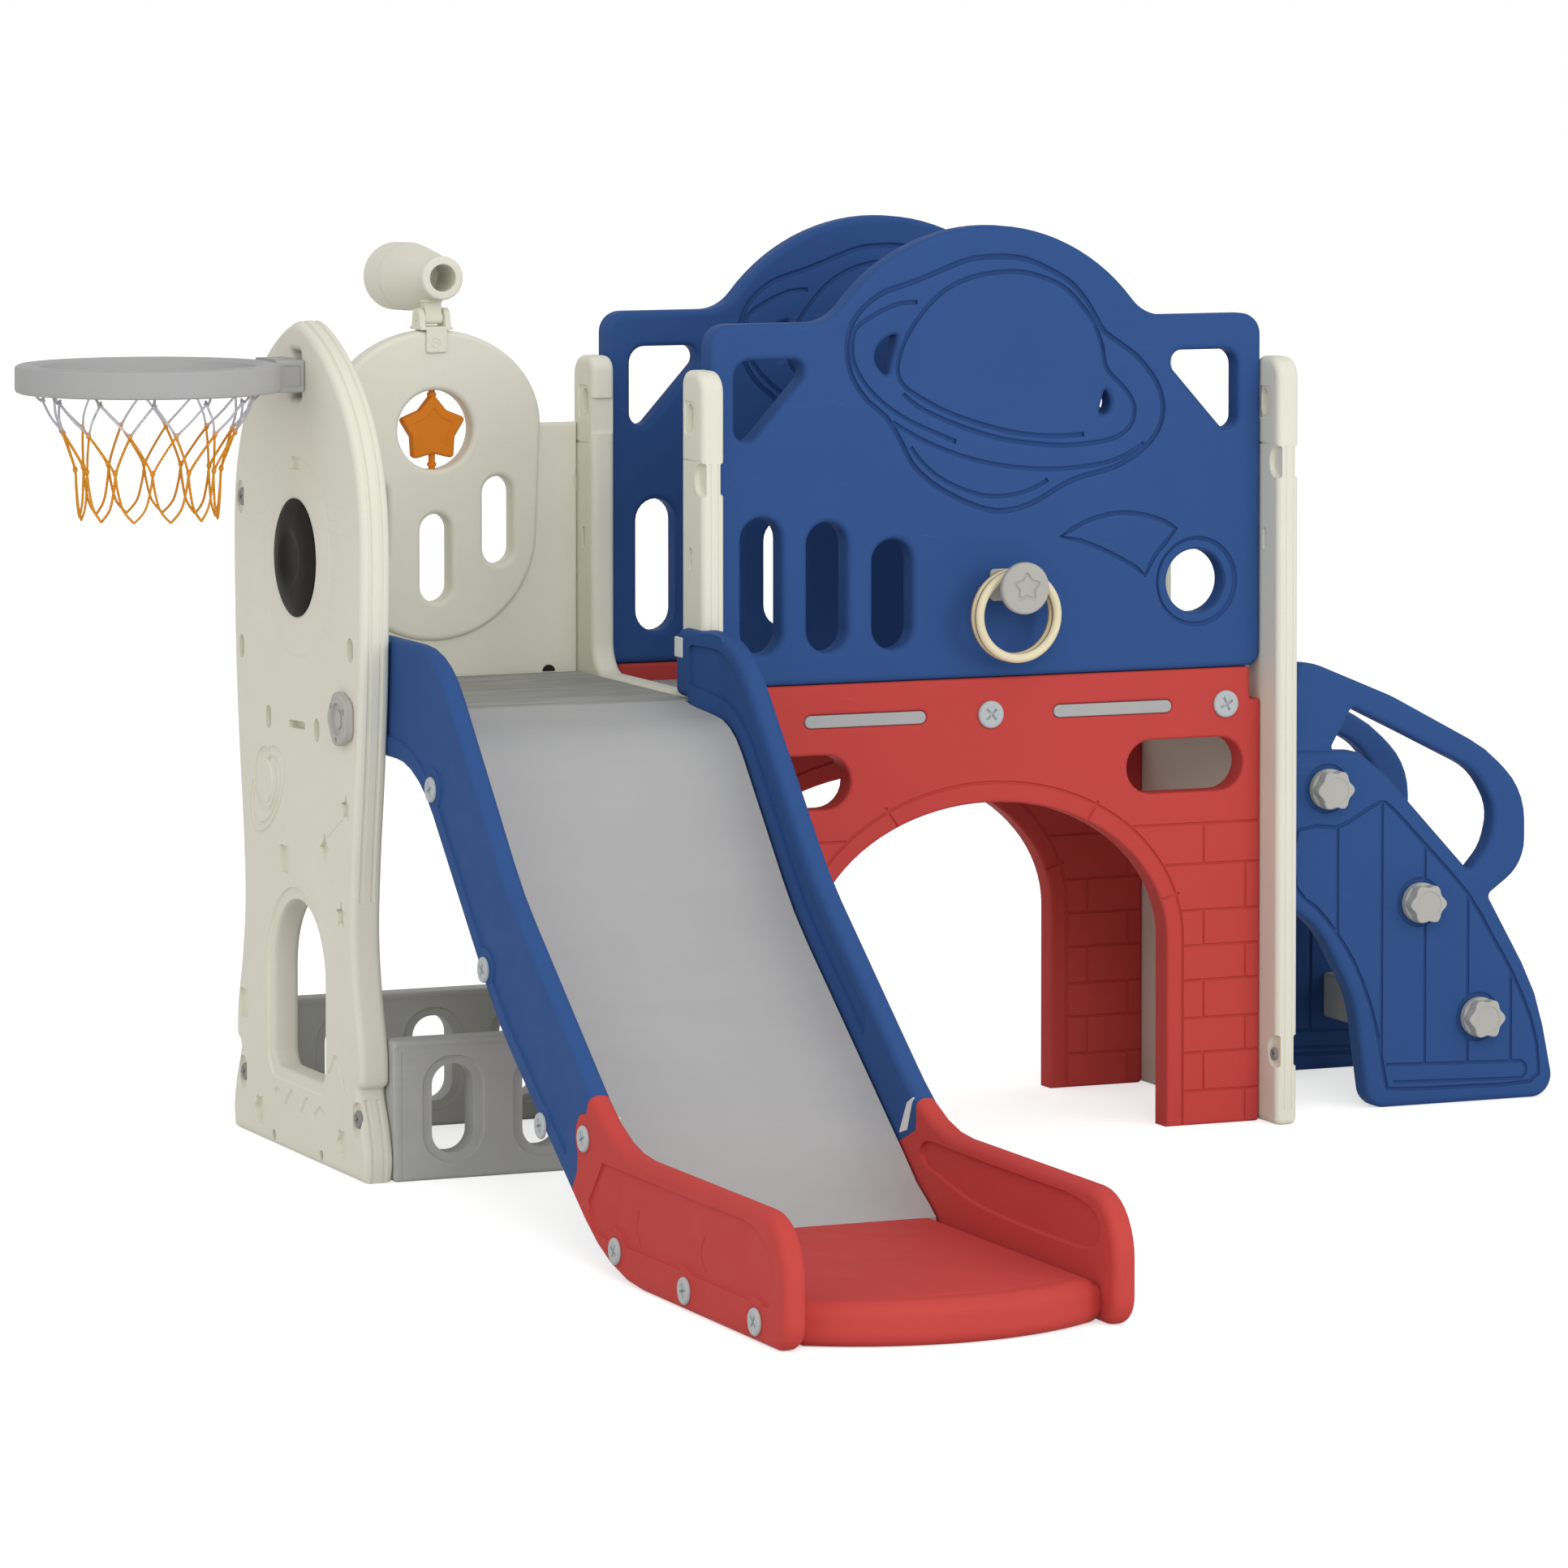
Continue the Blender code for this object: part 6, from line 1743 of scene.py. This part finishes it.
    def build_rail(self, side: str, part: str) -> None:
        """Make one rail part with its fields, and the cheek on the right upper one."""
        left, upper = side == "left", part == "upper"
        start = self.left_x if left else self.right_x
        end = start + self.rail
        body = plate(self.rail_outline(), Plane.X, start, end, (), self.rim, 0.0, 4)
        region = self.joint_region(GAP if upper else -GAP, not upper, left)
        cuts = [plate(region, Plane.X, start - 0.05, end + 0.05)]
        if upper and not left:
            tail = rectangle(self.column_front, self.rear + 0.1, 0.3, 0.9)
            cuts.append(plate(tail, Plane.X, start - 0.01, end + 0.01))
        body = carved(body, cuts)
        if upper and not left:
            body = carved(body, [self.cheek()], "UNION")
        outer, inner = both_faces(Plane.X, start, end)[::1 if left else -1]
        fields = [self.upper_field(outer)] if upper else self.lower_field(outer)
        body = carved(body, fields + self.inner_fields(inner, upper))
        finish, slot = (BLUE, "blue_plastic") if upper else (RED, "red_plastic")
        dress(body, f"{side}_{part}_slide_rail", finish, (f"{side}_{part}_rail",))

    def cheek(self) -> Piece:
        """Return the thick rear end of the right rail, which passes in front of the column."""
        inner, low = self.cheek_face, self.low_corners[-1][1] + 0.004
        outline = rounded((
            (0.015, 0.6897, 0.022), (0.015, 0.602, 0.011), (-0.0225, 0.602, 0.002), (-0.0225, low, 0.011),
            (self.cheek_front, low, 0.011), (self.cheek_front, 0.6857, 0.011), (-0.085, 0.6897, 0.100),
        ))
        slab = plate(outline, Plane.X, inner, self.right_x + 0.018, (), 0.0100, 0.0, 4)
        slope = self.cheek_slope(inner - 0.0010, self.right_x + 0.0001)
        column = block((self.right_x - GAP, 0.0), (self.column_front, 0.1), (0.4, 0.8))
        window = plate(self.tab_outline(0.0004), Plane.X, inner - 0.01, self.right_x + 0.01)
        return carved(slab, [plate(slope, Plane.Z, 0.4, 0.8), column, window])

    def cheek_slope(self, first: float, last: float) -> Loop:
        """Return the plan area beside the soft slope from the cheek's face to the rail's."""
        length = self.cheek_front + 0.0003 - self.slope_start
        points = run((-0.50, self.slope_start))
        for step in range(13):
            t = step / 12
            share = t * t * (3 - 2 * t)
            points.append(Vector((first + (last - first) * share, self.slope_start + length * t)))
        return points + run((last, -0.2), (-0.50, -0.2))

    def tab_outline(self, gap: float = 0.0) -> Loop:
        """Return the outline of the tab that locks the right rail to its column."""
        return rectangle(-0.012 - gap, 0.0135 + gap, 0.652 - gap, 0.678 + gap, 0.002)

    def cheek_field(self) -> Piece:
        """Return the cutter of the right rail's inner field, which follows the slope of the cheek."""
        blank = plate(self.field_outline(-0.030), Plane.X, -0.46, -0.40)
        first, last = self.cheek_face + 0.0035, self.right_x + 0.0045
        plan = run((-0.50, 0.05), (first, 0.05)) + self.cheek_slope(first, last)[1:-2]
        plan += run((last, -0.7), (-0.50, -0.7))
        return carved(blank, [plate(plan, Plane.Z, 0.05, 0.80)], "INTERSECT")

    def field_outline(self, start: float) -> Loop:
        """Return the outline of an upper rail's inner field, from a place near the panel down."""
        top = self.chain(self.top_corners, (self.rear, 0.690), (-1.1, 0.153))
        low = self.chain(self.bed_corners, (0.02, self.bed_rear_z), (-1.1, self.tray_top))
        crest = [point for point in lowered(self.densify(top), 0.018) if -0.575 < point.x < start - 0.012]
        bed = [point for point in lowered(self.densify(low), -0.030) if -0.560 < point.x < start]
        corner = run((start, crest[0].y - 0.012), (start - 0.004, crest[0].y - 0.0035))
        return corner + crest + list(reversed(bed))

    def dished(self, chute: Piece) -> Piece:
        """Lift the chute softly towards both rails, but not at its two ends."""
        shape = bmesh.new()
        shape.from_mesh(chute.data)
        left, right = self.left_x + self.rail, self.right_x
        for share in (0.1, 0.25, 0.4, 0.55, 0.7, 0.85, 1.0):
            for x in (left + share * self.cove, right - share * self.cove):
                geom = shape.verts[:] + shape.edges[:] + shape.faces[:]
                bmesh.ops.bisect_plane(shape, geom=geom, dist=0.00001, plane_co=(x, 0, 0), plane_no=(1, 0, 0))
        for vert in shape.verts:
            near = max(0.0, 1.0 - min(vert.co.x - left, right - vert.co.x) / self.cove)
            below = min(max((-0.045 - vert.co.y) / 0.15, 0.0), 1.0)
            above = min(max((vert.co.y + 0.775) / 0.12, 0.0), 1.0)
            fade = below * above
            vert.co.z += self.lift * near ** 2 * fade * fade * (3 - 2 * fade)
        shape.to_mesh(chute.data)
        shape.free()
        return chute

    def build_bed(self) -> None:
        """Make the chute, and the exit tray with its rounded, bowed lip."""
        left, right = self.left_x + self.rail + GAP, self.right_x - GAP
        ends = ((self.platform_front, self.bed_rear_z), (self.tray_front - 0.02, self.tray_top))
        upper = [point for point in self.chain(self.bed_corners, *ends) if point.x > self.joint_y]
        upper += run((self.joint_y, self.tray_top))
        bed = upper + list(reversed(lowered(upper, self.chute_thickness)))
        chute = self.dished(plate(bed, Plane.X, left + self.slit, right - self.slit, (), 0.0))
        first = self.cheek_face - 0.0016
        edge = self.cheek_slope(first, self.right_x - self.slit - 0.0005)[1:-2]
        plan = run((right + 0.01, 0.1), (first, 0.1)) + edge + run((right + 0.01, edge[-1].y))
        notch = plate(plan, Plane.Z, 0.4, 0.8)
        dress(carved(chute, [notch]), "slide_bed", GREY, ("slide_chute",))
        self.build_tray(left, right)

    def build_tray(self, left: float, right: float) -> None:
        """Make the exit tray between the rails."""
        half = (right - left) / 2
        radius = (half ** 2 + self.tray_sagitta ** 2) / (2 * self.tray_sagitta)
        angle = math.asin(half / radius)
        middle = (left + right) / 2
        down, reach = -math.pi / 2, angle * 0.985
        front = ellipse_arc(middle, self.tray_front + radius, radius, radius, down - reach, down + reach, 40)
        low, high = left - 0.0001, right + 0.0001
        front[0].x, front[-1].x = low, high
        plan = front + run((high, -0.5), (low, -0.5))
        tray = plate(plan, Plane.Z, 0.0, self.tray_top, (), 0.018, 0.0, 5)
        start = self.joint_y - GAP
        section = run(
            (start, 0.060), (start, self.tray_top - self.chute_thickness), (self.undercut, -0.01),
            (-1.4, -0.01), (-1.4, 0.060),
        )
        tray = carved(tray, [plate(section, Plane.X, left, right)], "INTERSECT")
        reach = angle * 0.86
        bow = ellipse_arc(
            middle, self.tray_front + radius + 0.038, radius, radius, down - reach, down + reach, 30
        )
        tray = carved(tray, [Face(Plane.Z, self.tray_top, 1).groove(bow, 0.007, 0.0012)])
        dress(tray, "slide_exit_tray", RED, ("slide_exit",))

    def build(self) -> None:
        """Make the rails, the screws, the chute and the tray."""
        for side in ("left", "right"):
            for part in ("upper", "lower"):
                self.build_rail(side, part)
        left_face = Face(Plane.X, self.left_x, -1)
        right_face = Face(Plane.X, self.right_x + self.rail, 1)
        hidden = []
        for part, places in (("upper", self.upper_screws), ("lower", self.lower_screws)):
            for index, place in enumerate(places):
                head = ScrewHead(*self.screw_size, 0.4 + 0.7 * index).build(left_face, *place)
                node = f"{part}_rail_screw_{index + 1}"
                dress(head, node.replace("screw", "screw_head"), SCREW, (node,))
                hidden.append(ScrewHead(*self.screw_size, 0.9 + 0.5 * index).build(right_face, *place))
        dress(joined(hidden), "right_rail_screw_heads", SCREW)
        lock = plate(
            self.tab_outline(), Plane.X, self.right_x - 0.0135, self.right_x - 0.002, (), 0.0012, 0.0, 2
        )
        dress(lock, "cheek_lock_tab", TAB)
        inner_faces = (Face(Plane.X, self.right_x, -1), Face(Plane.X, self.left_x + self.rail, 1))
        tabs = [face.boss(rounded(self.joint_tab), 0.0007, 0.0005, 0.003) for face in inner_faces]
        dress(joined(tabs), "rail_joint_tabs", TAB)
        self.build_bed()


@dataclass
class Climber:
    """The climber: two blue planked sides, three grey steps and six knobs."""

    middle_x: float = 0.4313
    front: float = 0.030
    thickness: float = 0.036
    pitch: float = 0.336
    rim: float = 0.0085
    knobs: Places = ((0.086, 0.436), (0.226, 0.276), (0.316, 0.116))
    knob_shift: float = 0.007
    knob_seat: float = 0.011
    knob_depth: float = 0.029
    step_lift: float = 0.020
    step_half: float = 0.068
    tread_height: float = 0.040
    riser_depth: float = 0.030
    riser_low: float = 0.062
    body: Corners = (
        (-0.003, 0.576, 0.004), (0.032, 0.578, 0.010), (0.032, 0.607, 0.014), (0.064, 0.604, 0.060),
        (0.180, 0.556, 0.200), (0.323, 0.480, 0.180), (0.383, 0.420, 0.125), (0.383, 0.320, 0.085),
        (0.326, 0.280, 0.008), (0.403, 0.144, 0.300), (0.432, 0.000, 0.030), (0.143, 0.000, 0.030),
        (0.122, 0.150, 0.160), (0.066, 0.254, 0.120), (-0.003, 0.292, 0.004),
    )
    loop: Corners = (
        (0.085, 0.486, 0.006), (0.118, 0.543, 0.005), (0.200, 0.503, 0.080), (0.306, 0.450, 0.085),
        (0.338, 0.396, 0.078), (0.325, 0.345, 0.068), (0.297, 0.314, 0.006), (0.170, 0.450, 0.100),
        (0.127, 0.484, 0.030),
    )
    border: Places = (
        (0.4665, 0.3818), (0.5257, 0.3832), (0.5565, 0.3966), (0.5898, 0.4134), (0.609, 0.4048),
        (0.6571, 0.3556), (0.7248, 0.2838), (0.7637, 0.2217), (0.7931, 0.1728), (0.8226, 0.1066),
        (0.8336, 0.0499), (0.8206, 0.0227), (0.7164, 0.0218), (0.6154, 0.0245), (0.601, 0.034),
        (0.5912, 0.0858), (0.5766, 0.1421), (0.5526, 0.1989), (0.5238, 0.243), (0.4952, 0.2764),
        (0.4644, 0.3056),
    )
    planks: Corners = (
        (0.527, 0.383, 0.240), (0.594, 0.413, 0.076), (0.6595, 0.352, 0.058), (0.725, 0.283, 0.053),
        (0.791, 0.176, 0.051),
    )

    def placed(self, corners: Corners) -> Loop:
        """Return an outline with its corners measured from the column."""
        return rounded([(self.middle_x + a, b, radius) for a, b, radius in corners])

    def relief(self, face: Face) -> list[Piece]:
        """Return the grooves that draw the planks, and the ring round each knob."""
        cuts = face.trough(smooth(self.border, 2, True), 0.0115, 0.0046, True)
        for x, top, low in self.planks:
            cuts += face.trough(run((x, top), (x, low)), 0.0080, 0.0040)
        bar = run((0.601, 0.0583), (0.656, 0.0563), (0.8034, 0.0517))
        bar += ellipse_arc(0.8034, 0.0399, 0.0118, 0.0118, math.pi / 2, -math.pi / 2, 10)
        bar += run((0.656, 0.0327), (0.612, 0.0340))
        cuts += face.trough(bar, 0.0085, 0.0038)
        cuts.append(face.line((0.440, 0.487), (0.546, 0.483), 0.0055, 0.0020))
        for x, z in self.knobs:
            ring = circle(self.middle_x + x - self.knob_shift, z, 0.0335, 40)
            cuts.append(plate(ring, Plane.Y, *face.slab(0.0028, 0.010), (), 0.0022, 0.0, 2))
        return cuts

    def build_side(self, name: str, node: str, start: float) -> None:
        """Make one side with its handhold and the planks on both faces."""
        end = start + self.thickness
        side = plate(self.placed(self.body), Plane.Y, start, end, [self.placed(self.loop)], self.rim, 0.0, 3)
        for face in both_faces(Plane.Y, start, end):
            side = carved(side, self.relief(face))
        dress(side, name, BLUE, (node,))

    def build_step(self, index: int, x: float, z: float) -> None:
        """Make one step: a tread with grip grooves on a riser with a ribbed face."""
        centre, top = self.middle_x + x, z + self.step_lift
        rear, front = centre - self.step_half, centre + self.step_half
        near, far = self.front + self.thickness + GAP, self.front + self.pitch - GAP
        under, low, riser_front = top - self.tread_height, top - self.riser_low, rear + self.riser_depth
        outline = rounded((
            (rear, top, 0.004), (front, top, 0.010), (front, under, 0.010), (riser_front, under, 0.010),
            (riser_front, low, 0.005), (rear, low, 0.005),
        ))
        step = plate(outline, Plane.Y, near, far, (), 0.0018, 0.0, 2)
        tread = Face(Plane.Z, top, 1)
        cuts = []
        for line in range(6):
            place = rear + 0.022 + line * 0.018
            cuts.append(tread.line((place, near + 0.018), (place, far - 0.018), 0.0055, 0.0018))
        middle = (low + top - self.tread_height) / 2
        riser = Face(Plane.X, riser_front, 1)
        cuts.append(riser.line((near + 0.02, middle), (far - 0.02, middle), 0.006, 0.0018))
        dress(carved(step, cuts), f"climber_tread_{index}", GREY, (f"climber_step_{index}",))

    def build_knob(self, side: str, index: int, x: float, z: float) -> None:
        """Make one lobed knob with its dished face."""
        outward = -1 if side == "front" else 1
        base = self.front - GAP if outward < 0 else self.front + self.pitch + self.thickness + GAP
        centre_x = self.middle_x + x - self.knob_shift
        outer, seat = base + outward * self.knob_depth, base + outward * self.knob_seat
        low, high = sorted((seat, outer))
        grip = plate(lobed(centre_x, z, 0.0250, 0.0024, 6, 72), Plane.Y, low, high, (), 0.0020, 0.0, 3)
        ends = Face(Plane.Y, outer, outward).slab(0.0010, 0.010)
        grip = carved(grip, [plate(circle(centre_x, z, 0.0180, 32), Plane.Y, *ends, (), 0.0008, 0.0, 1)])
        low, high = sorted((base, seat + outward * 0.001))
        collar = plate(circle(centre_x, z, 0.0272, 48), Plane.Y, low, high, (), 0.0022, 0.0, 3)
        knob = joined([grip, collar])
        dress(knob, f"{side}_lobed_knob_{index}", PALE, (f"{side}_knob_{index}",))

    def build(self) -> None:
        """Make the sides, the steps and the knobs."""
        self.build_side("front_climber_wall", "front_climber_side", self.front)
        self.build_side("back_climber_wall", "back_climber_side", self.front + self.pitch)
        for index, (x, z) in enumerate(self.knobs):
            self.build_step(index + 1, x, z)
            for side in ("front", "back"):
                self.build_knob(side, index + 1, x, z)


@dataclass
class Hoop:
    """The grey hoop on its hook, with the knotted net that hangs from it."""

    centre_x: float = -1.075
    middle: float = 0.242
    height: float = 1.013
    radius: float = 0.170
    band: float = 0.030
    depth: float = 0.036
    face_x: float = -0.8763
    inner_x: float = -0.8357
    cord: float = 0.0017
    change: float = 0.948
    hook_radius: float = 0.1345
    hook_z: float = 0.9855
    cords: int = 12

    def build_ring(self) -> None:
        """Make the hoop with its arm, its hook and the lip behind the panel."""
        half, inner = self.depth / 2, self.radius - self.band
        outer = self.radius
        profile = [
            (inner, -half + 0.002), (inner + 0.002, -half), (outer - 0.005, -half),
            (outer - 0.0015, -half + 0.0015), (outer, -half + 0.005), (outer, half - 0.005),
            (outer - 0.0015, half - 0.0015), (outer - 0.005, half), (inner + 0.009, half),
            (inner + 0.007, half - 0.002), (inner + 0.004, half - 0.0035),
            (inner + 0.001, half - 0.0035), (inner, half - 0.005),
        ]
        centre = Vector((self.centre_x, self.middle, self.height))
        ring = turned(profile, Matrix.Translation(centre), 96)
        arm = block(
            (self.face_x - 0.050, self.face_x), (self.middle - 0.040, self.middle + 0.040),
            (self.height - 0.021, self.height + 0.021), 0.003,
        )
        core = rod(Plane.Z, centre, outer - 0.006, 0.2, 0.001, 96)
        sunk = rectangle(
            self.face_x - 0.031, self.face_x - 0.006, self.height - 0.014, self.height + 0.014, 0.002
        )
        arm = carved(arm, [core, Face(Plane.Y, self.middle - 0.040, -1).pocket(sunk, 0.0018, 0.0006)])
        hook = block(
            (self.face_x - 0.010, self.inner_x + 0.009), (self.middle - 0.0185, self.middle + 0.0185),
            (self.height - 0.019, self.height + 0.019), 0.0015,
        )
        lip = block(
            (self.inner_x, self.inner_x + 0.009), (self.middle - 0.0165, self.middle + 0.0165),
            (self.height - 0.046, self.height), 0.0015,
        )
        shells = [ring, arm, hook, lip]
        for index in range(self.cords):
            foot = self.on_ring(self.hook_angle(index), self.hook_radius, self.height - half)
            out = foot - centre
            out.z = 0.0
            out.normalize()
            hook_path = [foot + out * reach + Vector((0, 0, lift)) for reach, lift in (
                (0.0085, 0.004), (0.0080, -0.004), (0.0040, -0.0085), (0.0, -0.0085), (-0.0025, -0.0050))]
            shells.append(tube(hook_path, 0.0017, False, 2))
        dress(joined(shells), "hoop_with_hook", GREY, ("hoop_ring",))

    def hook_angle(self, index: int) -> float:
        """Return the angle of a hook in degrees."""
        return 15.0 + 360.0 / self.cords * index

    def on_ring(self, degrees: float, radius: float, z: float) -> Vector:
        """Return a point of the net at an angle, a distance from the axis and a height."""
        angle = math.radians(degrees)
        return Vector((self.centre_x + radius * math.cos(angle), self.middle + radius * math.sin(angle), z))

    def cord_path(self, index: int, turn: int) -> list[Vector]:
        """Return one cord's way from its hook through two knots and down to the lower loop."""
        top = self.hook_angle(index)
        stops = [self.on_ring(top + turn * swing, radius, z) for swing, radius, z in (
            (0.0, self.hook_radius, self.hook_z), (7.5, 0.1250, 0.964), (14.2, 0.1135, 0.946),
            (22.0, 0.1020, 0.921), (29.2, 0.0935, 0.897), (31.5, 0.0920, 0.876), (36.0, 0.0905, 0.850),
            (45.0, 0.0900, 0.8335),
        )]
        return smooth(stops, 4)

    def build_net(self) -> None:
        """Make the net from its cords and knots."""
        shells = []
        for index in range(self.cords):
            top = self.hook_angle(index)
            for turn in (-1, 1):
                shells.append(tube(self.cord_path(index, turn), self.cord, False, 1))
            for degrees, radius, z in ((top - 15.0, 0.1132, 0.9450), (top, 0.0932, 0.8965)):
                knot = self.on_ring(degrees, radius, z)
                shape = bmesh.new()
                squash = Matrix.Translation(knot) @ Matrix.Diagonal((1.0, 1.0, 1.35, 1.0))
                bmesh.ops.create_icosphere(shape, subdivisions=2, radius=0.0034, matrix=squash)
                shells.append(from_shape(shape))
            hook = self.on_ring(top, self.hook_radius, self.hook_z)
            loop = [hook + Vector((0.0026 * math.cos(t), 0.0026 * math.sin(t), 0.0015 * math.sin(t)))
                    for t in (2 * math.pi * k / 10 for k in range(10))]
            shells.append(tube(loop, self.cord * 0.9, True, 1))
        finish = CordFinish("net_cord_twisted", self.change)
        dress(joined(shells), "hoop_net_cords", finish, ("hoop_net",), sharp=60)

    def build(self) -> None:
        """Make the hoop and its net."""
        self.build_ring()
        self.build_net()


@dataclass
class RingToss:
    """The pale peg on the front guard panel and the two rings that hang on it."""

    x: float = 0.019
    z: float = 0.730
    radius: float = 0.0115
    length: float = 0.070
    cap_radius: float = 0.034
    cap_thickness: float = 0.012
    ring_radius: float = 0.0555
    ring_tube: float = 0.0062
    places: tuple[float, float] = (-0.032, -0.0455)

    def build_peg(self) -> None:
        """Make the peg with its square base and the star sunk into its cap."""
        cap, thick = self.cap_radius, self.cap_thickness
        profile = [
            (0.0, 0.0), (self.radius, 0.0), (self.radius, self.length - thick - 0.003),
            (self.radius + 0.002, self.length - thick - 0.0006), (cap - 0.004, self.length - thick),
            (cap - 0.0012, self.length - thick + 0.001), (cap, self.length - thick + 0.0035),
            (cap, self.length - 0.0035), (cap - 0.001, self.length - 0.0012), (cap - 0.0035, self.length),
            (0.0, self.length),
        ]
        face = Face(Plane.Y, -GAP, -1)
        stem = turned(profile, face_frame(face, self.x, self.z, 0.0), 56)
        front = Face(Plane.Y, -self.length, -1)
        middle = (self.x + 0.001, self.z + 0.001)
        stem = carved(stem, [front.pocket(star(*middle, 0.0225, 0.58, 5, 0.003), 0.0018, 0.0010)])
        core = front.boss(star(*middle, 0.0165, 0.58, 5, 0.002), -0.0002, 0.0008, 0.004)
        square = centred(self.x, self.z, 0.042, 0.042, 0.006)
        base = plate(square, Plane.Y, -GAP - 0.006, -GAP, (), 0.0018, 0.0, 3)
        dress(joined([stem, core, base]), "toss_peg", PALE, ("ring_peg",))

    def build(self) -> None:
        """Make the peg and both rings."""
        self.build_peg()
        drop = self.ring_radius - self.ring_tube - self.radius - GAP
        for index, (y, body) in enumerate(zip(self.places, (Body.NEAR_RING, Body.CAP_RING))):
            shape = bmesh.new()
            section = Matrix.Translation((self.ring_radius, 0.0, 0.0)) @ Matrix.Rotation(math.pi / 2, 4, "X")
            bmesh.ops.create_circle(shape, segments=20, radius=self.ring_tube, matrix=section)
            bmesh.ops.spin(shape, geom=shape.verts[:] + shape.edges[:], cent=(0, 0, 0), axis=(0, 0, 1),
                           angle=2 * math.pi, steps=96, use_merge=True)
            bmesh.ops.recalc_face_normals(shape, faces=shape.faces)
            place = Matrix.Translation((self.x, y, self.z - drop)) @ Matrix.Rotation(math.pi / 2, 4, "X")
            bmesh.ops.transform(shape, matrix=place, verts=shape.verts)
            finish = RingFinish(f"ring_plastic_{index + 1}", y + SHIFT.y)
            dress(from_shape(shape), f"hanging_ring_{index + 1}", finish, (f"toss_ring_{index + 1}",),
                  body, 80)


# Studio


@dataclass
class Studio:
    """The plain pale floor, the soft lights, the world and the camera."""

    camera_place: tuple[float, float, float] = (-4.11407, -8.92229, 1.59867)
    pitch: float = math.radians(90 - 2.662)
    heading: float = math.radians(-23.18)
    photo_size: int = 1932
    focal_pixels: int = 9285
    eye_row: float = 332.6
    sensor: float = 36.0
    floor_half: float = 40.0
    ambient: float = 0.70

    def build_floor(self) -> None:
        """Make the floor, which the camera sees white outside the object's shadow."""
        shape = bmesh.new()
        bmesh.ops.create_grid(shape, x_segments=8, y_segments=8, size=self.floor_half)
        floor = from_shape(shape)
        floor.name = "studio_floor"
        material = bpy.data.materials.new("studio_floor")
        material.use_nodes = True
        graph = Graph(material.node_tree)
        material.node_tree.nodes.clear()
        diffuse = graph.add("ShaderNodeBsdfDiffuse", None, Color=(0.80, 0.80, 0.79, 1.0))
        strength = graph.maths("MULTIPLY", graph.seen(), 0.60)
        glow = graph.add("ShaderNodeEmission", None, Color=(1.0, 1.0, 1.0, 1.0), Strength=strength)
        both = graph.add("ShaderNodeAddShader")
        links = material.node_tree.links
        links.new(diffuse.outputs[0], both.inputs[0])
        links.new(glow.outputs[0], both.inputs[1])
        output = graph.add("ShaderNodeOutputMaterial")
        links.new(both.outputs[0], output.inputs["Surface"])
        floor.data.materials.append(material)

    def build_world(self) -> None:
        """Make the world: white where it is seen, soft grey where it lights."""
        world = bpy.data.worlds.new("studio_world")
        world.use_nodes = True
        bpy.context.scene.world = world
        graph = Graph(world.node_tree)
        world.node_tree.nodes.clear()
        lit = graph.add("ShaderNodeBackground", None, Color=(1.0, 1.0, 1.0, 1.0), Strength=self.ambient)
        white = graph.add("ShaderNodeBackground", None, Color=(1.0, 1.0, 1.0, 1.0), Strength=1.0)
        mix = graph.add("ShaderNodeMixShader", None, Fac=graph.seen())
        links = world.node_tree.links
        links.new(lit.outputs[0], mix.inputs[1])
        links.new(white.outputs[0], mix.inputs[2])
        output = graph.add("ShaderNodeOutputWorld")
        links.new(mix.outputs[0], output.inputs["Surface"])

    def add_light(
        self, name: str, place: Sequence[float], aim: Sequence[float], power: float, size: float
    ) -> None:
        """Add one soft square light that points at a place."""
        light = bpy.data.lights.new(name, "AREA")
        light.energy = power
        light.size = size
        lamp = bpy.data.objects.new(name, light)
        lamp.location = place
        direction = Vector(aim) - Vector(place)
        lamp.rotation_euler = direction.to_track_quat("-Z", "Y").to_euler()
        bpy.context.scene.collection.objects.link(lamp)

    def build_camera(self) -> None:
        """Make the camera at the photograph's angle, with its axis at the eye row."""
        data = bpy.data.cameras.new("photo_camera")
        data.lens = self.focal_pixels / self.photo_size * self.sensor
        data.sensor_width = self.sensor
        data.sensor_fit = "HORIZONTAL"
        data.shift_y = -(self.photo_size / 2 - self.eye_row) / self.photo_size
        data.clip_end = 200.0
        camera = bpy.data.objects.new("photo_camera", data)
        camera.location = Vector(self.camera_place) + SHIFT
        camera.rotation_euler = (self.pitch, 0.0, self.heading)
        bpy.context.scene.collection.objects.link(camera)
        bpy.context.scene.camera = camera

    def build(self) -> None:
        """Make the whole studio."""
        bpy.context.scene.view_settings.view_transform = "Standard"
        self.build_floor()
        self.build_world()
        self.add_light("front_key", (-1.9, -6.0, 3.4), (0.0, 0.0, 0.5), 108.0, 3.2)
        self.add_light("right_fill", (3.0, -6.0, 2.5), (0.0, 0.0, 0.5), 84.0, 3.2)
        self.add_light("left_fill", (-6.0, -2.0, 2.6), (0.0, 0.0, 0.5), 26.0, 3.0)
        self.build_camera()


def main() -> None:
    """Build every sub-assembly in order, then the studio."""
    logging.basicConfig(level=logging.INFO, format="%(message)s")
    for maker in (
        RocketPanel(), BackPanel(), Telescope(), Deck(), Columns(), GuardPanels(), ArchPanels(),
        BridgeFloor(), Slide(), Climber(), Hoop(), RingToss(), Studio(),
    ):
        LOG.info("%s", type(maker).__name__)
        maker.build()


if __name__ == "__main__":
    main()
